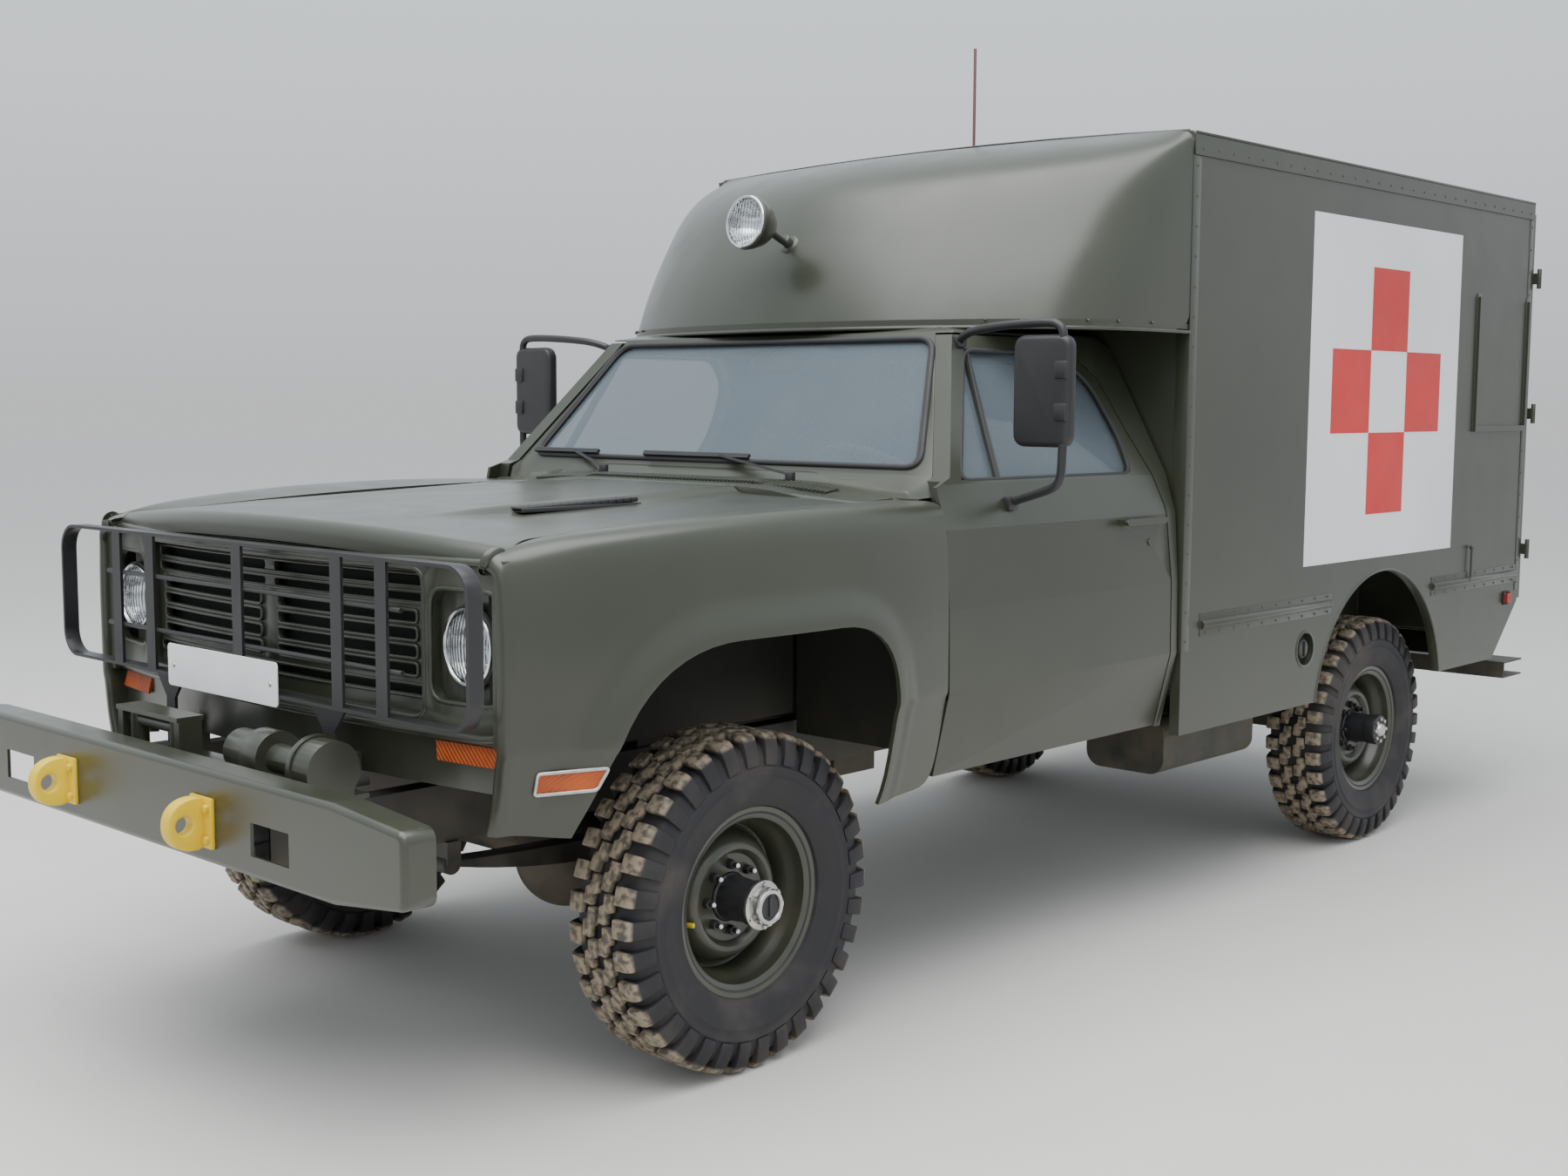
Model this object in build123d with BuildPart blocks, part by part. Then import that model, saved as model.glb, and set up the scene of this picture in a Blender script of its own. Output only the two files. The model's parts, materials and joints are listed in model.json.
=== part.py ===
from build123d import *
from math import atan2, cos, degrees, hypot, radians, sin
import os

# Military ambulance truck at its real size, in millimetres.
# +X points forward, +Y to the left side, +Z up. The origin is on the ground, on the centre line,
# halfway between the towing eyes' tips and the rear step.
# Distances called "ahead" are measured forward from the front axle, so those behind it are negative.

os.makedirs("parts", exist_ok=True)

# Clearances
seat_gap = 0.3
panel_gap = 6.0

# Driving dimensions along the truck
wheelbase = 3327.0
nose_reach = 690.0
bumper_set = 429.0
eye_reach = 96.0
tail_reach = 1123.0
step_reach = 230.0
front_axle = (wheelbase + tail_reach + step_reach - nose_reach - bumper_set - eye_reach) / 2
rear_axle = front_axle - wheelbase
nose_plane = front_axle + nose_reach
bumper_face = nose_plane + bumper_set
body_rear = rear_axle - tail_reach

# Tyres and wheels
tyre_radius = 421.0
hub_height = tyre_radius
tyre_width = 232.0
tread_width = 208.0
lug_depth = 22.0
lug_pairs = 30
wheel_track = 1630.0
rim_radius = 232.0
rim_seat = 208.0
rim_width = 176.0
rim_wall = 7.0
drum_radius = 155.0
hub_radius = 58.0
hub_face = 161.0
wheel_y = wheel_track / 2
kingpin_y = 668.0

# Chassis
rail_top = 735.0
rail_height = 140.0
rail_width = 60.0
rail_wall = 8.0
rail_y = 430.0
rail_rear_gap = 44.0
cross_depth = 90.0

# Bumper, winch and brush guard
bumper_half = 1065.0
bumper_low = 620.0
bumper_high = 830.0
bumper_depth = 78.0
bumper_wall = 8.0

# Cab
cab_half = 1003.0
cab_wall = 28.0
cab_rear = front_axle - 1786.0
door_front = front_axle - 650.0
door_rear = front_axle - 1745.0
fender_rear = front_axle - 644.0
bonnet_rear = front_axle - 494.0

# Ambulance body
body_half = 1010.0
body_front = front_axle - 1798.0
body_low = 607.0
tail_z = 828.0
tail_run = 234.0
tail_x = body_rear + tail_run
tail_slope = tail_run / (tail_z - body_low)
tail_sheet = 16.0
body_top = 2450.0
body_floor_top = 800.0
body_wall = 34.0
roof_thickness = 32.0
crown = 28.0
nose_bottom = 1862.0


def ahead(distance):
    """Place along X of a point a distance ahead of the front axle."""
    return front_axle + distance


def side_plane(y):
    """Plane facing the truck's right side at a given Y: local x is forward, local y is up."""
    return Plane(origin=(0, y, 0), x_dir=(1, 0, 0), z_dir=(0, -1, 0))


def cross_plane(x):
    """Plane across the truck at a given X: local x is to the left, local y is up."""
    return Plane(origin=(x, 0, 0), x_dir=(0, 1, 0), z_dir=(1, 0, 0))


def outline(points, mode=Mode.ADD):
    """Closed face through points in the current sketch."""
    edges = Wire.make_polygon([Vector(*point) for point in points], close=True).edges()
    make_face(edges, mode=mode)


def finish(part, name):
    """Labels a finished piece and writes it to its own file."""
    part.label = name
    export_step(part, f"parts/{name}.step")


# Tyre: a carcass turned about the axle, with two staggered rows of shoulder lugs
tyre_base = tyre_radius - lug_depth
shoulder_drop = 58.0
lug_angle = 360.0 / lug_pairs
lug_share = 0.6
lug_inner = 14.0
lug_half = tread_width / 2
bead_half = rim_width / 2 - rim_wall


def lug_ring(low_y, high_y, turn, bore):
    """Toothed ring between two planes, its teeth reaching the tread and its bore in the carcass."""
    tooth = radians(lug_angle * lug_share)
    pitch = radians(lug_angle)
    points = []
    for count in range(lug_pairs):
        start = radians(turn) + count * pitch
        for angle, radius in (
            (start, tyre_radius),
            (start + tooth, tyre_radius),
            (start + tooth, tyre_base),
            (start + pitch, tyre_base),
        ):
            points.append((radius * cos(angle), radius * sin(angle)))
    with BuildPart() as ring:
        with BuildSketch(side_plane(high_y)):
            outline(points)
            Circle(bore, mode=Mode.SUBTRACT)
        extrude(amount=high_y - low_y)
    return ring.part


outer_ring = lug_ring(lug_inner, lug_half, 0.0, tyre_base - shoulder_drop)
inner_ring = lug_ring(-lug_half, -lug_inner, lug_angle / 2, tyre_base - shoulder_drop)
tread_cover = tyre_base - 3.0
bulge_radius = rim_radius + 70.0
carcass_half = (
    # distance from the middle, radius
    (bead_half, rim_seat + seat_gap),
    (bead_half, rim_radius + 4.0),
    (tyre_width / 2, bulge_radius),
    (lug_half - 6.0, tyre_base - shoulder_drop / 2),
    (lug_half - 30.0, tread_cover),
)
with BuildPart() as tyre:
    with BuildSketch(Plane.YZ):
        outline(list(carcass_half) + [(-y, z) for y, z in reversed(carcass_half)])
    revolve(axis=Axis.Y)
    add(outer_ring)
    add(inner_ring)

# Wheel: rim, dished disc, brake drum and hub turned about the axle, outer side towards +Y
lip_y = rim_width / 2
disc_y = 18.0
drum_inner_y = -86.0
drum_outer_y = -10.0
nave_radius = 132.0
lock_radius = 42.0
rim_under = rim_seat - rim_wall

with BuildPart() as wheel:
    with BuildSketch(Plane.YZ):
        outline(
            (
                (lip_y, rim_radius),
                (lip_y - rim_wall, rim_radius),
                (lip_y - rim_wall, rim_seat),
                (-lip_y + rim_wall, rim_seat),
                (-lip_y + rim_wall, rim_radius),
                (-lip_y, rim_radius),
                (-lip_y, rim_under),
                (disc_y - 52, rim_under),
                (disc_y - 36, rim_under - 25),
                (disc_y + 8, nave_radius),
                (disc_y - 12, nave_radius - 22),
                (drum_outer_y, nave_radius - 22),
                (drum_outer_y, drum_radius),
                (drum_inner_y, drum_radius),
                (drum_inner_y, 0.0),
                (hub_face, 0.0),
                (hub_face, lock_radius),
                (hub_face - 20, lock_radius + 8),
                (hub_face - 26, hub_radius),
                (disc_y, hub_radius),
                (disc_y, nave_radius - 20),
                (disc_y + 22, nave_radius),
                (disc_y - 20, rim_under - 21),
                (disc_y - 38, rim_under),
                (lip_y, rim_under),
            )
        )
    revolve(axis=Axis.Y)

# The four wheels and tyres stand at the axles, their outer sides turned outwards
for end, axle_x in (("front", front_axle), ("rear", rear_axle)):
    for side, sign, turn in (("left", 1, 0), ("right", -1, 180)):
        place = Location((axle_x, sign * wheel_y, hub_height), (0, 0, turn))
        finish(place * tyre.part, f"tyre_{end}_{side}")
        finish(place * wheel.part, f"wheel_{end}_{side}")


# Frame: two channel rails with crossmembers, the rear step and its arms
rail_rear = body_rear + rail_rear_gap
rail_front = bumper_face - bumper_depth
step_high = 558.0
step_low = 489.0
step_half = 955.0
step_depth = step_reach - 40.0
step_wall = 7.0
rail_inner = rail_y - rail_width / 2
rail_bottom = rail_top - rail_height
cross_stations = (ahead(520), ahead(-1240), ahead(-1700), ahead(-2560), ahead(-3900), rail_rear + 26)

with BuildPart() as frame:
    with BuildSketch(cross_plane(rail_rear)):
        for sign in (1, -1):
            with Locations((sign * rail_y, rail_top - rail_height / 2)):
                Rectangle(rail_width, rail_height)
            with Locations((sign * (rail_y - rail_wall), rail_top - rail_height / 2)):
                Rectangle(rail_width, rail_height - 2 * rail_wall, mode=Mode.SUBTRACT)
    extrude(amount=rail_front - rail_rear)
    for station in cross_stations:
        with Locations((station, 0, rail_top - cross_depth / 2 - rail_wall)):
            Box(cross_depth, 2 * (rail_y + rail_width / 2 - rail_wall), cross_depth)
    for sign in (1, -1):
        with BuildSketch(side_plane(sign * rail_y + 20)):
            outline(
                (
                    (rail_rear, rail_top - 62),
                    (rail_rear, rail_bottom),
                    (body_rear - step_reach + step_depth, step_low + step_wall),
                    (body_rear - step_reach + step_depth, step_high - step_wall),
                )
            )
        extrude(amount=40)
    with BuildSketch(side_plane(step_half)):
        outline(
            (
                (body_rear - step_reach, step_low),
                (body_rear - step_reach + step_depth, step_low),
                (body_rear - step_reach + step_depth, step_high),
                (body_rear - step_reach, step_high),
                (body_rear - step_reach, step_high - step_wall),
                (body_rear - step_reach + step_depth - step_wall, step_high - step_wall),
                (body_rear - step_reach + step_depth - step_wall, step_low + step_wall),
                (body_rear - step_reach, step_low + step_wall),
            )
        )
    extrude(amount=2 * step_half)
finish(frame.part, "frame")

# Front bumper: a channel with tapered, rounded ends, open towards the rear
bumper_taper = 250.0
taper_drop = 22.0
slot_in, slot_out = 511.0, 660.0
slot_low, slot_high = 669.0, 741.0

with BuildPart() as front_bumper:
    with BuildSketch(cross_plane(bumper_face - bumper_depth)):
        outline(
            [
                (bumper_half - bumper_taper, bumper_low),
                (bumper_half, bumper_low + taper_drop + 10),
                (bumper_half, bumper_high - taper_drop),
                (bumper_half - bumper_taper, bumper_high),
                (-bumper_half + bumper_taper, bumper_high),
                (-bumper_half, bumper_high - taper_drop),
                (-bumper_half, bumper_low + taper_drop + 10),
                (-bumper_half + bumper_taper, bumper_low),
            ]
        )
    extrude(amount=bumper_depth)
    upright = front_bumper.edges().filter_by(Axis.X).group_by(Axis.Y)
    fillet(upright[0] + upright[-1], radius=26)
    fillet(front_bumper.faces().sort_by(Axis.X)[-1].edges(), radius=14)
    offset(amount=-bumper_wall, openings=front_bumper.faces().sort_by(Axis.X)[0])
    for sign in (1, -1):
        with Locations((bumper_face, sign * (slot_in + slot_out) / 2, (slot_low + slot_high) / 2)):
            Box(4 * bumper_wall, slot_out - slot_in, slot_high - slot_low, mode=Mode.SUBTRACT)
finish(front_bumper.part, "front_bumper")

# Towing eyes: upright plates with a rounded nose and a hole, each on a pad against the bumper face
eye_y = 320.0
eye_height = 88.0
eye_middle = 714.0
eye_thickness = 42.0
eye_hole = 21.0
pad_size = 118.0
pad_thickness = 10.0

with BuildPart() as towing_eyes:
    for sign in (1, -1):
        with BuildSketch(side_plane(sign * eye_y + eye_thickness / 2)):
            with Locations((bumper_face + eye_reach - eye_height / 2, eye_middle)):
                Circle(eye_height / 2)
            with Locations((bumper_face + (eye_reach - eye_height / 2) / 2, eye_middle)):
                Rectangle(eye_reach - eye_height / 2, eye_height)
            with Locations((bumper_face + eye_reach - eye_height / 2, eye_middle)):
                Circle(eye_hole, mode=Mode.SUBTRACT)
        extrude(amount=eye_thickness)
        with Locations((bumper_face + pad_thickness / 2, sign * eye_y, eye_middle)):
            Box(pad_thickness, pad_size, pad_size)
finish(towing_eyes.part, "towing_eyes")

# Winch: bed plate on the rails, rope drum with end housings, and a roller fairlead at its side
bed_thickness = 12.0
bed_top = rail_top + bed_thickness
bed_rear = nose_plane + 96
bed_front = rail_front - 4.0
guard_x = nose_plane + 132
drum_x = (guard_x + bed_front) / 2
drum_z = rail_top + 92.0
drum_length = 150.0
fair_x = bed_front - 72
fair_inner, fair_outer = -10.0, -307.0
fair_low, fair_high = bed_top, 886.0
roller = 22.0

with BuildPart() as winch:
    with Locations(((bed_rear + bed_front) / 2, 0, rail_top + bed_thickness / 2)):
        Box(bed_front - bed_rear, 2 * rail_y + rail_width, bed_thickness)
    for start, length, radius in (
        (250.0, 70.0, 62.0),
        (320.0, drum_length, 34.0),
        (320.0 + drum_length - 8, 16.0, 74.0),
        (320.0 + drum_length, 70.0, 68.0),
        (250.0 - 90, 100.0, 50.0),
    ):
        with BuildSketch(side_plane(start + length)):
            with Locations((drum_x, drum_z)):
                Circle(radius)
        extrude(amount=length)
    for foot_y in (285.0, 505.0):
        with Locations((drum_x, foot_y, bed_top + 30)):
            Box(110, 60, 60)
    for post_y in (fair_inner - 12, fair_outer + 12):
        with Locations((fair_x, post_y, (fair_low + fair_high) / 2)):
            Box(60, 24, fair_high - fair_low)
    for bar_z in (fair_high - 6, fair_low + 8):
        with Locations((fair_x, (fair_inner + fair_outer) / 2, bar_z)):
            Box(70, fair_inner - fair_outer, 12)
    for roller_y in (fair_inner - 52, fair_outer + 52):
        with BuildSketch(Plane.XY.offset(fair_low)):
            with Locations((fair_x, roller_y)):
                Circle(roller)
        extrude(amount=fair_high - fair_low)
    for roller_z in (fair_low + 36, fair_high - 34):
        with BuildSketch(side_plane(fair_inner)):
            with Locations((fair_x, roller_z)):
                Circle(roller * 0.7)
        extrude(amount=fair_inner - fair_outer)
finish(winch.part, "winch")

# Brush guard: a bent flat-bar loop with upright bars, rods and two legs down to the winch bed
guard_depth = 40.0
guard_bar = 8.0
guard_half = 908.0
guard_low, guard_high = 937.0, 1295.0
guard_round = 70.0
leg_y = 360.0
bar_width = 42.0
rod = 6.0

with BuildPart() as brush_guard:
    with BuildSketch(cross_plane(guard_x - guard_depth / 2)):
        with Locations((0, (guard_low + guard_high) / 2)):
            RectangleRounded(2 * guard_half, guard_high - guard_low, guard_round)
            RectangleRounded(
                2 * guard_half - 2 * guard_bar,
                guard_high - guard_low - 2 * guard_bar,
                guard_round - guard_bar,
                mode=Mode.SUBTRACT,
            )
    extrude(amount=guard_depth)
    for bar_y in (-597.0, -423.0, 0.0, 423.0, 597.0):
        with Locations((guard_x + guard_depth / 2 - guard_bar / 2, bar_y, (guard_low + guard_high) / 2)):
            Box(guard_bar, bar_width, guard_high - guard_low - guard_bar)
    for rod_z in (1046.0, 1183.0):
        with BuildSketch(side_plane(660.0)):
            with Locations((guard_x + guard_depth / 2 - guard_bar - rod / 2, rod_z)):
                Circle(rod)
        extrude(amount=1320.0)
    for sign in (1, -1):
        with Locations((guard_x, sign * leg_y, (guard_low + bed_top) / 2 + 2)):
            Box(guard_bar, bar_width, guard_low - bed_top + 4)
        with BuildSketch(cross_plane(guard_x - guard_bar / 2)):
            outline(
                (
                    (sign * leg_y - 70, guard_low + 2),
                    (sign * leg_y + 70, guard_low + 2),
                    (sign * leg_y + 20, guard_low - 60),
                    (sign * leg_y - 20, guard_low - 60),
                )
            )
        extrude(amount=guard_bar)
        with Locations((guard_x + 6, sign * leg_y, bed_top + 5)):
            Box(60, 60, 10)
finish(brush_guard.part, "brush_guard")

# Front wings: a lofted skin with a trapezoid wheel arch and a soft flare round it
skin = 14.0
crease_z = 870.0
wing_sections = (
    # station, inner y, inner z, crest y, crest z, shoulder y, shoulder z, crease y, bottom y, bottom z
    (nose_plane, 764.0, 1322.0, 858.0, 1332.0, 898.0, 1290.0, 912.0, 896.0, 700.0),
    (ahead(250), 780.0, 1350.0, 945.0, 1368.0, 985.0, 1318.0, 1003.0, 962.0, 640.0),
    (fender_rear, 816.0, 1372.0, 958.0, 1374.0, 985.0, 1325.0, 1003.0, 948.0, 624.0),
)
arch_corners = ((ahead(702), 560.0), (ahead(385), 1085.0), (ahead(-394), 1092.0), (ahead(-397), 560.0))
arch_round = 145.0
lamp_y = 740.0
lamp_z = 1100.0
lamp_radius = 87.0


def wing_section(row, inset):
    """Outline of the wing across the truck at one station, as a face, moved inwards by an inset."""
    station, in_y, in_z, crest_y, crest_z, side_y, side_z, crease_y, low_y, low_z = row
    opening = 90.0 if inset else 0.0
    return (
        (in_y - opening, low_z - opening),
        (in_y - opening, in_z - inset),
        (crest_y - inset * 0.6, crest_z - inset),
        (side_y - inset, side_z - inset * 0.4),
        (crease_y - inset, crease_z),
        (low_y - inset, low_z - opening),
    )


def wing_loft(rows, inset):
    """Solid wing through its stations."""
    with BuildPart() as solid:
        for row in rows:
            with BuildSketch(cross_plane(row[0])):
                outline(wing_section(row, inset))
        loft(ruled=False)
    return solid.part


def arch_sketch(y, grow):
    """Sketch of the front wheel arch on a plane at a given Y, grown outwards by a distance."""
    with BuildSketch(side_plane(y)) as arch:
        outline(arch_corners)
        fillet(arch.vertices().sort_by(Axis.Y)[-2:], arch_round)
        if grow:
            offset(amount=grow, kind=Kind.ARC)
    return arch.sketch


wing_outer = wing_loft(wing_sections, 0.0)
front_row = (nose_plane - skin,) + wing_sections[0][1:]
rear_row = (fender_rear + 40,) + wing_sections[2][1:]
wing_inner = wing_loft((front_row, wing_sections[1], rear_row), skin)
with BuildPart() as fender_left:
    add(wing_outer)
    add(wing_inner, mode=Mode.SUBTRACT)
    extrude(arch_sketch(cab_half + 60, 0.0), amount=400, mode=Mode.SUBTRACT)
    with BuildSketch(cross_plane(nose_plane - 2 * skin)):
        with Locations((lamp_y, lamp_z)):
            Circle(lamp_radius + 12)
    extrude(amount=3 * skin, mode=Mode.SUBTRACT)
with BuildPart() as fender_right:
    mirror(fender_left.part, about=Plane.XZ)
finish(fender_left.part, "fender_left")
finish(fender_right.part, "fender_right")

# Bonnet: a pan with a raised centre, its front bowed in plan, resting on the grille and the cowl
bonnet_front = nose_plane + 103
bonnet_corner = nose_plane + 32
bonnet_skin = 22.0
bonnet_lip = 56.0
bonnet_front_half, bonnet_rear_half = 752.0, 798.0
bonnet_rows = (
    # station, centre z, edge y
    (nose_plane + 110, 1358.0, bonnet_front_half),
    (bonnet_rear, 1402.0, bonnet_rear_half),
)
bonnet_profile = ((0.0, 0.0), (335.0, 0.0), (400.0, -15.0), (600.0, -30.0))
bonnet_edge_drop = 36.0


def bonnet_section(centre_z, edge_y, thickness, drop):
    """Closed outline of the bonnet across the truck, its top moved down by a drop."""
    right = [(-y, centre_z + z - drop) for y, z in reversed(bonnet_profile) if y]
    left = [(y, centre_z + z - drop) for y, z in bonnet_profile]
    low = centre_z - bonnet_edge_drop - thickness
    return (
        [(-edge_y, low), (-edge_y, centre_z - bonnet_edge_drop - drop)]
        + right
        + left
        + [(edge_y, centre_z - bonnet_edge_drop - drop), (edge_y, low)]
    )


def bonnet_plan(inset):
    """Plan outline of the bonnet, moved inwards at the front and sides."""
    with BuildSketch(Plane.XY.offset(1100)) as plan:
        with BuildLine():
            front_edge = ThreePointArc(
                (bonnet_corner - inset, bonnet_front_half - inset),
                (bonnet_front - inset, 0),
                (bonnet_corner - inset, -bonnet_front_half + inset),
            )
            Polyline(
                front_edge @ 1,
                (bonnet_rear, -bonnet_rear_half + inset),
                (bonnet_rear, bonnet_rear_half - inset),
                front_edge @ 0,
            )
        make_face()
    return plan.sketch


with BuildPart() as bonnet_core:
    for station, centre_z, edge_y in bonnet_rows:
        with BuildSketch(cross_plane(station)):
            outline(bonnet_section(centre_z, edge_y, 90.0, bonnet_skin))
    loft(ruled=True)
    extrude(bonnet_plan(26.0), amount=600, mode=Mode.INTERSECT)
# Bonnet hinges: a knuckle on the bonnet between two on the cowl, each pair in a notch of both edges
pin_x, pin_z = bonnet_rear - panel_gap / 2, bonnet_rows[1][1] - 8.0
pin_knuckle = 6.0
knuckle_run = 60.0
cowl_knuckle_run = 30.0
notch_reach = 9.0
bonnet_hinges = (250.0, -250.0)
notch_run = knuckle_run + 2 * (cowl_knuckle_run + seat_gap) + 10.0


def hinge_notches():
    """Blocks that clear the bonnet and the cowl round each hinge."""
    with BuildPart() as blocks:
        for middle in bonnet_hinges:
            with Locations((pin_x, middle, pin_z)):
                Box(2 * notch_reach, notch_run, 4 * notch_reach)
    return blocks.part


def hinge_knuckle(middle, run, leaf_end):
    """Knuckle on the bonnet's pin line, with a leaf that reaches to a place along the truck."""
    with BuildPart() as knuckle:
        with BuildSketch(side_plane(middle + run / 2)):
            with Locations((pin_x, pin_z)):
                Circle(pin_knuckle)
        extrude(amount=run)
        with Locations(((pin_x + leaf_end) / 2, middle, pin_z - pin_knuckle / 2)):
            Box(abs(leaf_end - pin_x), run, pin_knuckle)
    return knuckle.part


hinge_gap = hinge_notches()
with BuildPart() as bonnet:
    for station, centre_z, edge_y in bonnet_rows:
        with BuildSketch(cross_plane(station)):
            outline(bonnet_section(centre_z, edge_y, bonnet_lip - bonnet_edge_drop, 0.0))
    loft(ruled=True)
    extrude(bonnet_plan(0.0), amount=600, mode=Mode.INTERSECT)
    add(bonnet_core.part, mode=Mode.SUBTRACT)
    add(hinge_gap, mode=Mode.SUBTRACT)
    for middle in bonnet_hinges:
        add(hinge_knuckle(middle, knuckle_run, pin_x + notch_reach + 4))
finish(bonnet.part, "bonnet")

# Grille: a bowed surround with deep recesses, and a slotted panel set back inside it
grille_low, grille_high = 890.0, 1297.0
grille_front = nose_plane + 90
grille_corner = nose_plane + 14
grille_half = 884.0
surround_depth = 30.0
insert_depth = 14.0
valance_low, valance_high = 782.0, 890.0
valance_set = 14.0
centre_half, centre_low, centre_high = 612.0, 935.0, 1262.0
lamp_square = 206.0
slot_rows = (
    # middle z, height, inner y, outer y
    (1235.0, 24.0, 20.0, 590.0),
    (1196.0, 18.0, 20.0, 590.0),
    (1152.0, 24.0, 40.0, 560.0),
    (1112.0, 24.0, 40.0, 560.0),
    (1072.0, 24.0, 40.0, 560.0),
    (1032.0, 24.0, 40.0, 560.0),
    (985.0, 18.0, 20.0, 590.0),
)


def bowed_plan(front, corner, half, depth, z):
    """Plan sketch of a strip bowed forwards between two sides, of a given depth."""
    with BuildSketch(Plane.XY.offset(z)) as plan:
        with BuildLine():
            outer_arc = ThreePointArc((corner, half), (front, 0), (corner, -half))
            inner_arc = ThreePointArc((corner - depth, half), (front - depth, 0), (corner - depth, -half))
            Line(outer_arc @ 0, inner_arc @ 0)
            Line(outer_arc @ 1, inner_arc @ 1)
        make_face()
    return plan.sketch


with BuildPart() as surround:
    extrude(bowed_plan(grille_front, grille_corner, grille_half, surround_depth, grille_low),
            amount=grille_high - grille_low)
    with BuildSketch(cross_plane(nose_plane)):
        with Locations((0, (centre_low + centre_high) / 2)):
            RectangleRounded(2 * centre_half, centre_high - centre_low, 30)
        with Locations((lamp_y, lamp_z), (-lamp_y, lamp_z)):
            RectangleRounded(lamp_square, lamp_square + 40, 40)
    extrude(amount=200, mode=Mode.SUBTRACT)
with BuildPart() as grille:
    extrude(bowed_plan(grille_front - surround_depth, grille_corner - surround_depth, grille_half - 4,
                       insert_depth, grille_low), amount=grille_high - grille_low)
    extrude(bowed_plan(grille_front - valance_set, grille_corner - valance_set, grille_half, insert_depth,
                       valance_low), amount=valance_high - valance_low + 2)
    with BuildSketch(cross_plane(nose_plane - 60)):
        for middle_z, height, inner_y, outer_y in slot_rows:
            for sign in (1, -1):
                with Locations((sign * (inner_y + outer_y) / 2, middle_z)):
                    RectangleRounded(outer_y - inner_y, height, height / 2 - 1)
        with Locations((lamp_y, lamp_z), (-lamp_y, lamp_z)):
            Circle(lamp_radius + seat_gap)
    extrude(amount=300, mode=Mode.SUBTRACT)
    add(surround.part)
    with Locations((nose_plane - 100, 0, 1000)):
        Box(200, 2000, 1000, mode=Mode.SUBTRACT)
    for sign in (1, -1):
        with Locations((nose_plane + 20, sign * (grille_half - 20), (grille_low + grille_high) / 2)):
            Box(40, 40, grille_high - grille_low)
        with Locations((nose_plane + 60, sign * leg_y, (rail_top + bed_thickness + valance_low) / 2 + 20)):
            Box(40, 40, valance_low - bed_top + 44)
finish(grille.part, "grille")

# Headlamps: bowls with a domed lens in the recesses of the grille
lamp_face = nose_plane + 22
lamp_depth = 70.0
lens_bulge = 16.0
dome_radius = (lamp_radius**2 + lens_bulge**2) / (2 * lens_bulge)
dome_centre = lamp_face + lens_bulge - dome_radius
dome_half = atan2(lamp_radius, dome_radius - lens_bulge) / 2

with BuildPart() as headlamps:
    for sign in (1, -1):
        with BuildSketch(side_plane(sign * lamp_y)):
            with BuildLine():
                dome = ThreePointArc(
                    (lamp_face, lamp_z + lamp_radius),
                    (dome_centre + dome_radius * cos(dome_half), lamp_z + dome_radius * sin(dome_half)),
                    (lamp_face + lens_bulge, lamp_z),
                )
                Polyline(
                    dome @ 1,
                    (lamp_face - lamp_depth, lamp_z),
                    (lamp_face - lamp_depth, lamp_z + 40),
                    (lamp_face - 20, lamp_z + lamp_radius),
                    dome @ 0,
                )
            make_face()
        revolve(axis=Axis((0, sign * lamp_y, lamp_z), (1, 0, 0)))
finish(headlamps.part, "headlamps")

# Amber lamps: turn lamps in the valance and long side lamps on the wings
turn_low, turn_high = 855.0, 888.0
turn_inner, turn_outer = 645.0, 837.0
turn_proud = 8.0
side_lamp_rear, side_lamp_front = ahead(480), ahead(655)
side_lamp_z, side_lamp_height = 812.0, 46.0
lamp_proud = 9.0

lamp_shell = wing_loft(wing_sections, -lamp_proud)
with BuildPart() as side_lamp:
    with BuildSketch(side_plane(cab_half + 2 * lamp_proud)):
        with Locations(((side_lamp_rear + side_lamp_front) / 2, side_lamp_z)):
            RectangleRounded(side_lamp_front - side_lamp_rear, side_lamp_height, 12)
    extrude(amount=200)
    add(wing_outer, mode=Mode.SUBTRACT)
    add(lamp_shell, mode=Mode.INTERSECT)


def valance_block(proud):
    """Block behind the valance's face, or a distance in front of it."""
    face, corner = grille_front - valance_set + proud, grille_corner - valance_set + proud
    with BuildPart() as block:
        extrude(bowed_plan(face, corner, grille_half, 200, valance_low), amount=valance_high - valance_low)
    return block.part


valance_solid = valance_block(0.0)
valance_cover = valance_block(turn_proud)
with BuildPart() as turn_lamps:
    with BuildSketch(cross_plane(nose_plane - 60)):
        for sign in (1, -1):
            with Locations((sign * (turn_inner + turn_outer) / 2, (turn_low + turn_high) / 2)):
                RectangleRounded(turn_outer - turn_inner, turn_high - turn_low, 12)
    extrude(amount=200)
    add(valance_cover, mode=Mode.INTERSECT)
    add(valance_solid, mode=Mode.SUBTRACT)
with BuildPart() as amber_lamps:
    add(side_lamp.part)
    mirror(side_lamp.part, about=Plane.XZ)
    add(turn_lamps.part)
finish(amber_lamps.part, "amber_lamps")

# Cab: a hollow shell from a side profile and a cross-section
belt_z = 1418.0
roof_z = 1838.0
roof_half = 716.0
cowl_high = 1400.0
screen_low = (ahead(-728), 1437.0)
screen_high = (ahead(-1011), 1836.0)
cab_profile = (
    (fender_rear, 635.0),
    (fender_rear, 1330.0),
    (bonnet_rear - panel_gap, 1352.0),
    (bonnet_rear - panel_gap, cowl_high),
    (ahead(-690), cowl_high + 10),
    screen_low,
    screen_high,
    (ahead(-1100), 1856.0),
    (ahead(-1700), 1856.0),
    (cab_rear, 1800.0),
    (cab_rear, 635.0),
)
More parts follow.
